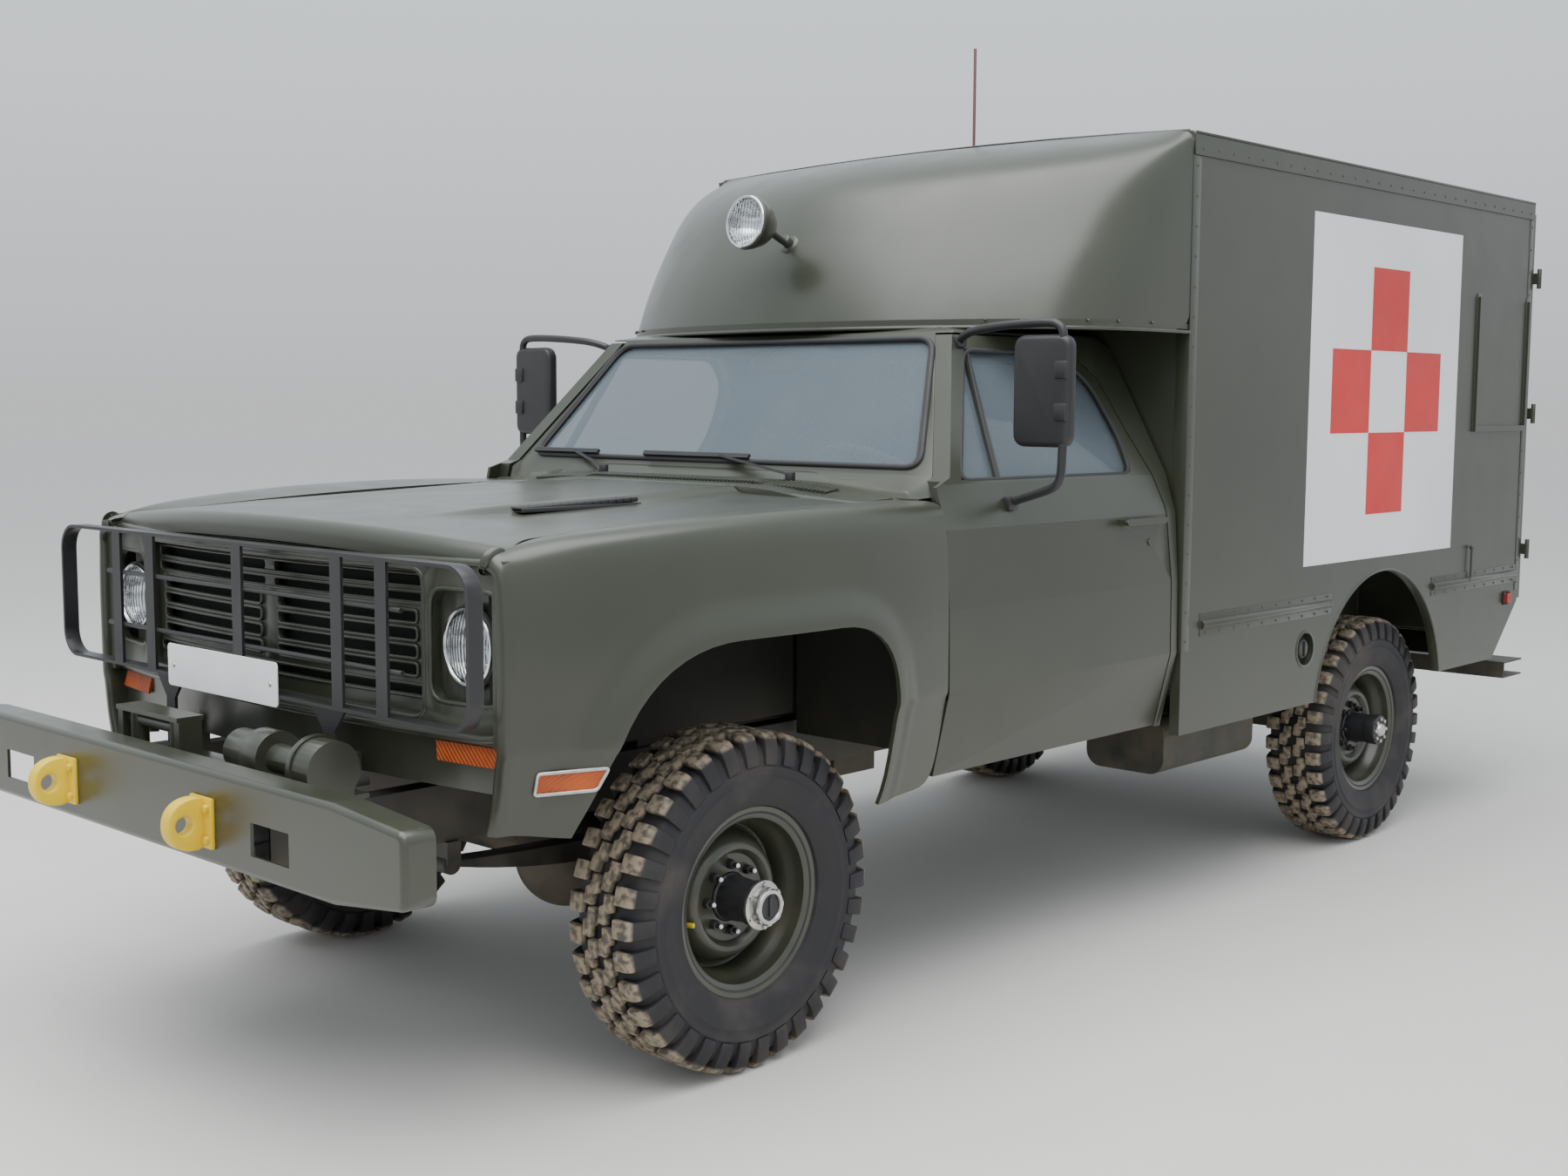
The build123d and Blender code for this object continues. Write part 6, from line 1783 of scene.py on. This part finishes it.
@dataclass
class Glazing:
    """Seals round the glass, the vent window bar and the rear-view mirror."""

    foot: Point = (ahead(-0.728), 0.822, 1.437)
    head: Point = (ahead(-1.011), 0.660, 1.836)
    border: float = 0.026
    window: tuple[tuple[float, float], ...] = ((-0.766, 1.428), (-1.026, 1.786), (-1.482, 1.786),
                                               (-1.592, 1.694), (-1.622, 1.540), (-1.604, 1.426))
    side: tuple[tuple[float, float], ...] = ((0.948, 1.418), (0.716, 1.838))

    def screen(self, up: float, side: float, proud: float) -> Vector:
        """Point on the windscreen's plane.

        Args:
            up: Share from its foot to its head.
            side: Place across the truck.
            proud: Distance in front of the plane.

        Returns:
            The point.
        """
        foot, head = Vector((self.foot[0], 0, self.foot[2])), Vector((self.head[0], 0, self.head[2]))
        rise = head - foot
        normal = Vector((rise.z, 0, -rise.x)).normalized()
        return foot + rise * up + normal * proud + Vector((0, side, 0))

    def door_point(self, x: float, z: float, proud: float) -> Vector:
        """Point on the outside of the door above its belt.

        Args:
            x: Place along the truck.
            z: Height.
            proud: How far it stands off.

        Returns:
            The point.
        """
        (low_y, low_z), (high_y, high_z) = self.side
        slope = (high_y - low_y) / (high_z - low_z)
        normal = Vector((0, 1, -slope)).normalized()
        return Vector((ahead(x), low_y + slope * (z - low_z), z)) + normal * proud

    def build(self) -> None:
        """Makes every piece."""
        length = (Vector(self.head) - Vector(self.foot)).length
        edge = self.border / length
        corners = [(edge, self.foot[1]), (1 - edge, self.head[1]), (1 - edge, -self.head[1]),
                   (edge, -self.foot[1])]
        flat = [(Vector((0, side, up * length))) for up, side in corners]
        line = [self.screen(p.z / length, p.y, 0.001) for p in rounded(flat, 0.060, steps=8)]
        seal = Form().bead(line, 0.0085)
        inner = [self.screen(p.z / length, p.y * 0.986, 0.0) for p in rounded(flat, 0.060, steps=8)]
        seal.bead(inner, 0.005, 2)
        seal.done("windscreen_seal", Finish.SEAL, smooth=60)
        for sign, name in ((1, "left"), (-1, "right")):
            rim = rounded([(x, z, 0.0) for x, z in self.window], 0.045, steps=5)
            form = Form().bead([self.door_point(p.x, p.y, -0.006) for p in rim], 0.0075)
            bar = [self.door_point(-0.940, 1.430, -0.010), self.door_point(-0.985, 1.600, -0.010),
                   self.door_point(-1.048, 1.784, -0.010)]
            form.tube([tuple(p) for p in bar], 0.0065, sides=3)
            form.sided(sign).done(f"door_seal_{name}", Finish.SEAL, f"{name}_door", smooth=60)
        mirror = Form().ball(tuple(self.screen(0.885, 0.0, -0.060)), 0.030, stretch=(0.55, 3.4, 1.1),
                             steps=12)
        mirror.rod(tuple(self.screen(0.90, 0.0, -0.055)), tuple(self.screen(0.965, 0.0, -0.014)), 0.006,
                   sides=12)
        mirror.done("rear_view_mirror", Finish.DARK)


@dataclass
class Spotlight:
    """Bullet-shaped lamp on a short stalk over the windscreen."""

    centre: Point = (ahead(-0.955), 0.0, 2.172)
    foot: Point = (ahead(-1.105), 0.0, 2.118)
    radius: float = 0.082

    def build(self) -> None:
        """Makes the cup, the lens, the stalk and its foot."""
        aim = Matrix.Rotation(-math.pi / 2, 4, "Z") @ Matrix.Rotation(math.radians(6), 4, "X")
        place = Matrix.Translation(self.centre) @ aim
        r = self.radius
        cup = [(0.052, r - 0.002), (0.050, r + 0.001), (0.040, r + 0.0015), (0.020, r - 0.004),
               (-0.010, r - 0.016),
               (-0.036, r - 0.034), (-0.052, r - 0.056), (-0.058, 0.012), (-0.0585, 0.0)]
        form = Form().turned(cup, 48).move(place)
        foot, start = Vector(self.foot), Vector(self.centre) + Vector((-0.050, 0.0, -0.012))
        form.tube([tuple(start), tuple(start.lerp(foot, 0.5) + Vector((0, 0, -0.006))), tuple(foot)],
                  0.0115, sides=4)
        out = Vector((0.82, 0.0, 0.57))
        form.rod(tuple(foot - out * 0.02), tuple(foot + out * 0.012), 0.046, tip=0.030, sides=32, bevel=0.004)
        form.rod(tuple(foot), tuple(foot + out * 0.035), 0.020, tip=0.016, sides=24, bevel=0.003)
        form.done("spotlight_housing", Finish.BODY, stands_for=["spotlight"])
        rim = [(0.046, r - 0.003), (0.056, r - 0.002), (0.0585, r - 0.005), (0.0575, r - 0.010),
               (0.048, r - 0.010)]
        Form().turned(rim, 48, closed=True).move(place).done("spotlight_rim", Finish.CHROME)
        dish = [(0.046, r - 0.009), (0.020, r - 0.026), (-0.006, r - 0.050), (-0.018, 0.0)]
        Form().turned(dish, 40).move(place).done("spotlight_reflector", Finish.CHROME)
        lens = [(0.060, 0.0), (0.0585, 0.030), (0.054, 0.058), (0.049, r - 0.008), (0.047, r - 0.008),
                (0.055, 0.030), (0.057, 0.0)]
        Form().turned(lens, 40).move(place).done("spotlight_lens", Finish.LENS)


@dataclass
class DoorMirror:
    """Door mirror: a bent tube from the door's top to its foot, with a clamped, rounded head."""

    sign: int
    name: str
    radius: float = 0.012
    head_low: float = 1.516
    head_high: float = 1.816
    head_inner: float = 0.979
    head_outer: float = 1.164
    x: float = ahead(-0.950)

    def build(self) -> None:
        """Makes the tube, the head and the glass."""
        x = self.x
        route = [(ahead(-1.012), 0.740, 1.806), (ahead(-0.985), 0.775, 1.828), (x, 0.90, 1.842),
                 (x, 1.060, 1.850),
                 (x, 1.130, 1.845), (x, 1.138, 1.790), (x, 1.138, 1.600), (x, 1.138, 1.470),
                 (x, 1.130, 1.415), (x, 1.070, 1.392), (x, 0.966, 1.362)]
        frame = Form().tube(route, self.radius, sides=5)
        frame.block((x - 0.022, 0.948, 1.342), (x + 0.022, 0.985, 1.378), bevel=0.005)
        frame.block((ahead(-1.032), 0.722, 1.790), (ahead(-0.994), 0.752, 1.822), bevel=0.005)
        for z in (1.610, 1.722):
            frame.block((x - 0.018, 1.118, z - 0.024), (x + 0.020, 1.158, z + 0.024), bevel=0.005)
        head = rounded([(x - 0.022, self.head_inner, self.head_low),
                        (x - 0.022, self.head_outer, self.head_low),
                        (x - 0.022, self.head_outer, self.head_high),
                        (x - 0.022, self.head_inner, self.head_high)], 0.038, 6)
        shell = Form().slab([tuple(p + Vector((-0.006, 0, 0))) for p in head], (0.042, 0, 0), bevel=0.015,
                            segments=4)
        glass = rounded([(x - 0.0285, self.head_inner + 0.009, self.head_low + 0.009),
                         (x - 0.0285, self.head_outer - 0.009, self.head_low + 0.009),
                         (x - 0.0285, self.head_outer - 0.009, self.head_high - 0.009),
                         (x - 0.0285, self.head_inner + 0.009, self.head_high - 0.009)], 0.030, 6)
        pane = Form().slab([tuple(p) for p in glass], (-0.002, 0, 0), bevel=0.0008, segments=1)
        shell.add(frame)
        for form, label, finish, stands in ((shell, "frame", Finish.BLACK, [f"mirror_{self.name}"]),
                                            (pane, "glass", Finish.CHROME, [])):
            form.sided(self.sign).done(f"mirror_{self.name}_{label}", finish, f"{self.name}_door",
                                       "black_metal",
                      stands_for=stands)


@dataclass
class BodyTrim:
    """Rivets, strips, plates and fittings of the ambulance body."""

    front: float = ahead(-1.798)
    rear: float = ahead(-4.450)
    half: float = BODY_HALF
    pitch: float = 0.090
    rivet: float = 0.0052

    def row(self, form: Form, start: Point, end: Point, out: Point = (0, 1, 0)) -> None:
        """Row of domed rivets between two points.

        Args:
            form: Form that takes them in.
            start: First point.
            end: Last point.
            out: Direction that the rivets face.
        """
        start_v, end_v = Vector(start), Vector(end)
        count = max(round((end_v - start_v).length / self.pitch), 1)
        stretch = tuple(0.55 if abs(axis) > 0.5 else 1.0 for axis in out)
        for index in range(count + 1):
            form.ball(tuple(start_v.lerp(end_v, index / count)), self.rivet, stretch=stretch, steps=4)

    def sides(self) -> None:
        """Strips and rivets of both sides."""
        rivets, strips = Form(), Form()
        face = self.half
        edge = face + 0.006
        self.row(rivets, (self.front - 0.045, edge, 2.402), (self.rear + 0.045, edge, 2.402))
        strips.block((self.rear, face + 0.003, 2.4425), (self.front, face + 0.0078, 2.4505), bevel=0.002)
        strips.block((self.front - 0.042, face - 0.001, 0.868), (self.front + 0.002, face + 0.0022, 2.379),
                     bevel=0.001)
        strips.block((self.front - 0.002, face - 0.042, 0.868), (self.front + 0.0025, face + 0.0015, 1.848),
                     bevel=0.001)
        self.row(rivets, (self.front - 0.021, face + 0.0022, 0.900),
                 (self.front - 0.021, face + 0.0022, 2.350))
        strips.block((self.rear, face - 0.001, 0.872), (self.rear + 0.034, face + 0.0022, 2.379), bevel=0.001)
        self.row(rivets, (self.rear + 0.017, face + 0.0022, 0.905), (self.rear + 0.017, face + 0.0022, 2.350))
        for start, end in ((-1.905, -2.790), (-3.605, -4.419)):
            strips.block((ahead(end), face - 0.001, 0.908), (ahead(start), face + 0.0022, 0.980), bevel=0.001)
            self.row(rivets, (ahead(start) - 0.03, face + 0.0022, 0.971),
                     (ahead(end) + 0.03, face + 0.0022, 0.971))
            self.row(rivets, (ahead(start) - 0.03, face + 0.0022, 0.917),
                     (ahead(end) + 0.03, face + 0.0022, 0.917))
        for x in (-3.940, -4.430):
            strips.block((ahead(x) - 0.020, face - 0.001, 1.530), (ahead(x) + 0.020, face + 0.0035, 2.062),
                         bevel=0.001)
        arch = Form()
        line = []
        for step in range(41):
            angle = math.radians(10.0) + math.radians(160.0) * step / 40
            line.append((ahead(-3.200) + 0.516 * math.cos(angle), face - 0.002,
                         0.520 + 0.516 * math.sin(angle)))
        arch.tube(line, 0.0055, smooth=False, sides=3)
        holdback = Form().rod((ahead(-3.945), face, 0.949), (ahead(-3.945), face + 0.016, 0.949), 0.010,
                              bevel=0.002)
        holdback.rod((ahead(-3.945), face + 0.012, 0.945), (ahead(-3.945), face + 0.012, 1.076), 0.0045,
                     sides=12)
        holdback.ball((ahead(-3.945), face + 0.012, 1.076), 0.009, steps=8)
        for form, name in ((rivets, "body_rivets"), (strips, "body_strips"), (arch, "body_arch_rims"),
                           (holdback, "door_holdbacks")):
            form.mirrored().done(name, Finish.BODY, smooth=40)

    def filler(self) -> None:
        """Cap and rim of the fuel filler on the left side, and its twin recess on the right."""
        x, z = ahead(-2.609), 0.801
        place = Matrix.Translation((x, self.half - 0.002, z))
        ring = Form().turned([(-0.004, 0.0555), (0.0035, 0.0555), (0.005, 0.058), (0.0035, 0.0655),
                              (-0.004, 0.0665)], 48,
                             closed=True).move(place)
        ring.mirrored().done("filler_rims", Finish.BODY)
        cap = Form().turned([(-0.022, 0.0), (-0.022, 0.031), (-0.006, 0.033), (-0.003, 0.030),
                             (-0.003, 0.0)], 40)
        cap.block((-0.004, -0.004, -0.026), (0.004, 0.004, 0.026), bevel=0.0015)
        cap.move(place).done("filler_cap", Finish.BLACK)

    def roof(self) -> None:
        """Joint strip across the roof's front and the aerial's base."""
        strip = Form()
        for sign in (1, -1):
            line = [(self.front - 0.004, sign * y, 2.4775 - 0.024 * (y / 1.0) ** 2)
                    for y in (0.0, 0.25, 0.5, 0.75, 0.99)]
            strip.tube(line, 0.0035, smooth=False, sides=2)
        strip.done("roof_front_bead", Finish.BODY)
        base = Form().turned([(0.0, 0.030), (0.006, 0.030), (0.012, 0.020), (0.026, 0.014), (0.030, 0.009),
                              (0.030, 0.0)], 32)
        spot = Matrix.Translation((ahead(-2.034), 0.0, 2.478)) @ Matrix.Rotation(math.pi / 2, 4, "X")
        base.move(spot).done("aerial_base", Finish.SEAL)

    def lamps(self) -> None:
        """Dark frames of the red markers."""
        x = ahead(-4.332)
        marker = Form()
        corners = [(x - 0.026, self.half + 0.004, 0.823), (x + 0.026, self.half + 0.004, 0.823),
                   (x + 0.026, self.half + 0.004, 0.871), (x - 0.026, self.half + 0.004, 0.871)]
        marker.bead(rounded(corners, 0.008, 3), 0.004)
        marker.mirrored().done("marker_frames", Finish.SEAL, smooth=60)

    def build(self) -> None:
        """Makes all the trim."""
        self.sides()
        self.filler()
        self.roof()
        self.lamps()


@dataclass
class Seat:
    """A cushion and back of coated cloth on a steel riser, swollen by a short cloth simulation."""

    name: str
    y: float
    width: float = 0.500
    floor: float = 0.763
    riser: float = 0.953
    inset: float = 0.016
    voxel: float = 0.012
    pressure: float = 4.0
    frames: int = 20
    most_swell: float = 0.013

    def pad(self, label: str, outline: Sequence[tuple[float, float]], fill: float,
            stands: Sequence[str]) -> None:
        """Makes one padded piece.

        Args:
            label: End of its name.
            outline: Its side outline, as place along the truck and height.
            fill: How tight it is; not used.
            stands: Nodes that it replaces.
        """
        low = self.y - self.width / 2 + self.inset
        form = Form().slab([(x, low, z) for x, z in outline], (0, self.width - 2 * self.inset, 0),
                           bevel=0.022, segments=3)
        mesh = bpy.data.meshes.new(f"{self.name}_{label}")
        form.mesh.to_mesh(mesh)
        form.mesh.free()
        pad = bpy.data.objects.new(f"{self.name}_{label}", mesh)
        bpy.context.scene.collection.objects.link(pad)
        remesh = pad.modifiers.new("remesh", "REMESH")
        remesh.mode = "VOXEL"
        remesh.voxel_size = self.voxel
        cloth = pad.modifiers.new("cloth", "CLOTH")
        cloth.settings.use_pressure = True
        cloth.settings.uniform_pressure_force = self.pressure
        cloth.settings.quality = 5
        cloth.settings.effector_weights.gravity = 0.0
        scene = bpy.context.scene
        rest: list[Vector] = []
        for frame in range(1, self.frames + 1):
            scene.frame_set(frame)
            last = bpy.data.meshes.new_from_object(pad.evaluated_get(bpy.context.evaluated_depsgraph_get()))
            rest = rest or [vert.co.copy() for vert in last.vertices]
        for vert, start in zip(last.vertices, rest):
            move = vert.co - start
            if move.length > self.most_swell:
                vert.co = start + move.normalized() * self.most_swell
        scene.frame_set(1)
        pad.modifiers.clear()
        pad.data = last
        last.materials.clear()
        last.materials.append(Finish.SEAT.material())
        last.shade_smooth()
        smoother = pad.modifiers.new("smoother", "SUBSURF")
        smoother.levels = smoother.render_levels = 1
        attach(pad, "truck")
        if stands:
            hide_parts(*stands)
        LOG.info("%s_%s: %d faces", self.name, label, len(last.polygons))

    def build(self, stands: Sequence[str]) -> None:
        """Makes the riser, the cushion, the back and their piping.

        Args:
            stands: Nodes that the cushion stands for.
        """
        riser = Form().block((ahead(-1.655), self.y - 0.215, self.floor),
                             (ahead(-1.115), self.y + 0.215, self.riser - 0.004),
                             bevel=0.012)
        riser.done(f"{self.name}_riser", Finish.CHASSIS)
        top = self.riser + 0.006
        self.pad("cushion", [(ahead(-1.115), top), (ahead(-1.122), top + 0.118), (ahead(-1.548), top + 0.096),
                             (ahead(-1.545), top)], 0.8, stands)
        self.pad("back", [(ahead(-1.590), top + 0.010), (ahead(-1.590), top + 0.110),
                          (ahead(-1.592), top + 0.600),
                          (ahead(-1.664), top + 0.618), (ahead(-1.666), top + 0.010)], 0.7, [])
        piping = Form()
        for side in (-1, 1):
            y = self.y + side * (self.width / 2 - 0.030)
            line = rounded([(ahead(-1.135), y, top + 0.020), (ahead(-1.138), y, top + 0.112),
                            (ahead(-1.535), y, top + 0.092), (ahead(-1.535), y, top + 0.020)], 0.03, 5)
            piping.bead([p + Vector((0, side * 0.014, 0)) for p in line], 0.0042)
        piping.done(f"{self.name}_piping", Finish.SEAL, slot="seat_cloth", smooth=60)


@dataclass
class RedCross:
    """White panels with their red cross on the sides of the body."""

    middle: Point = (ahead(-3.170), BODY_HALF, 1.6785)
    side: float = 1.188
    square: float = 0.290
    thick: float = 0.0012

    def build(self) -> None:
        """Makes the panels."""
        x, y, z = self.middle
        half = self.side / 2
        board = Form().block((x - half, y - 0.0005, z - half), (x + half, y + self.thick, z + half),
                             bevel=0.0004, segments=1)
        board.mirrored().done("white_panels", Finish.WHITE)
        arms = Form()
        half = self.square / 2
        for along, up in ((0, 1), (0, -1), (1, 0), (-1, 0)):
            cx, cz = x + along * self.square, z + up * self.square
            arms.block((cx - half, y + self.thick * 0.5, cz - half),
                       (cx + half, y + 2 * self.thick, cz + half),
                       bevel=0.0004, segments=1)
        arms.mirrored().done("red_squares", Finish.RED)


@dataclass
class Stage:
    """Pale floor, soft light and the photograph's camera."""

    eye: Point = (4.8479, 3.9283, 1.6380)
    yaw: float = 223.11
    pitch: float = -5.88
    roll: float = 0.27
    lens: float = 41.824

    def floor(self) -> None:
        """Plain floor that runs to the horizon."""
        mesh = bmesh.new()
        bmesh.ops.create_grid(mesh, x_segments=1, y_segments=1, size=60.0)
        data = bpy.data.meshes.new("floor")
        mesh.to_mesh(data)
        mesh.free()
        plain = bpy.data.objects.new("floor", data)
        bpy.context.scene.collection.objects.link(plain)
        sheet = Sheet("pale_floor")
        sheet.set(Socket.COLOUR, sheet.mix(sheet.noise(3.0, 3.0), (0.62, 0.60, 0.57), (0.66, 0.64, 0.61)))
        sheet.set(Socket.ROUGHNESS, 0.8)
        data.materials.append(sheet.material)

    def light(self) -> None:
        """Overcast sky with one broad lamp above and one from the front."""
        world = bpy.data.worlds.new("overcast")
        bpy.context.scene.world = world
        world.use_nodes = True
        back = world.node_tree.nodes["Background"]
        tree = world.node_tree
        direction = tree.nodes.new("ShaderNodeTexCoord")
        split = tree.nodes.new("ShaderNodeSeparateXYZ")
        ramp = tree.nodes.new("ShaderNodeValToRGB")
        tree.links.new(direction.outputs["Generated"], split.inputs[0])
        tree.links.new(split.outputs[2], ramp.inputs[0])
        tree.links.new(ramp.outputs[0], back.inputs[0])
        ramp.color_ramp.elements[0].position = 0.0
        ramp.color_ramp.elements[0].color = (0.60, 0.607, 0.62, 1.0)
        ramp.color_ramp.elements[1].position = 0.26
        ramp.color_ramp.elements[1].color = (0.87, 0.945, 1.0, 1.0)
        back.inputs[1].default_value = 1.15
        for name, place, aim, size, power in (
            ("sky_panel", (2.5, 1.0, 8.0), (0.0, 0.0, 1.0), 9.0, 1150.0),
            ("front_panel", (8.0, 7.5, 4.5), (0.5, 0.0, 1.2), 5.0, 30.0),
        ):
            lamp = bpy.data.lights.new(name, "AREA")
            lamp.size = size
            lamp.energy = power
            holder = bpy.data.objects.new(name, lamp)
            holder.location = place
            holder.rotation_euler = (Vector(aim) - Vector(place)).to_track_quat("-Z", "Y").to_euler()
            bpy.context.scene.collection.objects.link(holder)

    def camera(self) -> None:
        """Camera with the photograph's place, aim and lens."""
        yaw, pitch, roll = (math.radians(angle) for angle in (self.yaw, self.pitch, self.roll))
        forward = Vector((math.cos(yaw) * math.cos(pitch), math.sin(yaw) * math.cos(pitch), math.sin(pitch)))
        right = Vector((math.sin(yaw), -math.cos(yaw), 0.0))
        up = right.cross(forward)
        turned_right = math.cos(roll) * right + math.sin(roll) * up
        turned_up = -math.sin(roll) * right + math.cos(roll) * up
        data = bpy.data.cameras.new("photo_camera")
        data.lens = self.lens
        data.sensor_width = 36.0
        data.clip_end = 200.0
        holder = bpy.data.objects.new("photo_camera", data)
        axes = Matrix((turned_right, turned_up, -forward)).transposed().to_4x4()
        holder.matrix_world = Matrix.Translation(self.eye) @ axes
        bpy.context.scene.collection.objects.link(holder)
        bpy.context.scene.camera = holder

    def build(self) -> None:
        """Sets the stage."""
        self.floor()
        self.light()
        self.camera()


def main() -> None:
    """Loads the frame and dresses it."""
    logging.basicConfig(level=logging.INFO, format="%(message)s")
    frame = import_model()
    Stage().build()
    Cladding().build(frame["nodes"])
    RunningGear().build()
    Nose().build()
    for sign, side in ((1, "left"), (-1, "right")):
        Wing(sign, f"fender_{side}_skin").build()
    Bonnet().build()
    FrontEnd().build()
    CabShell().build(frame["nodes"]["cab"])
    AmberLamps().build()
    TowingEyes().build()
    Cowl().build()
    Glazing().build()
    Spotlight().build()
    for sign, side in ((1, "left"), (-1, "right")):
        DoorMirror(sign, side).build()
    BodyTrim().build()
    Seat("driver_seat", 0.390).build(["seats"])
    Seat("passenger_seat", -0.390).build([])
    RedCross().build()


if __name__ == "__main__":
    main()
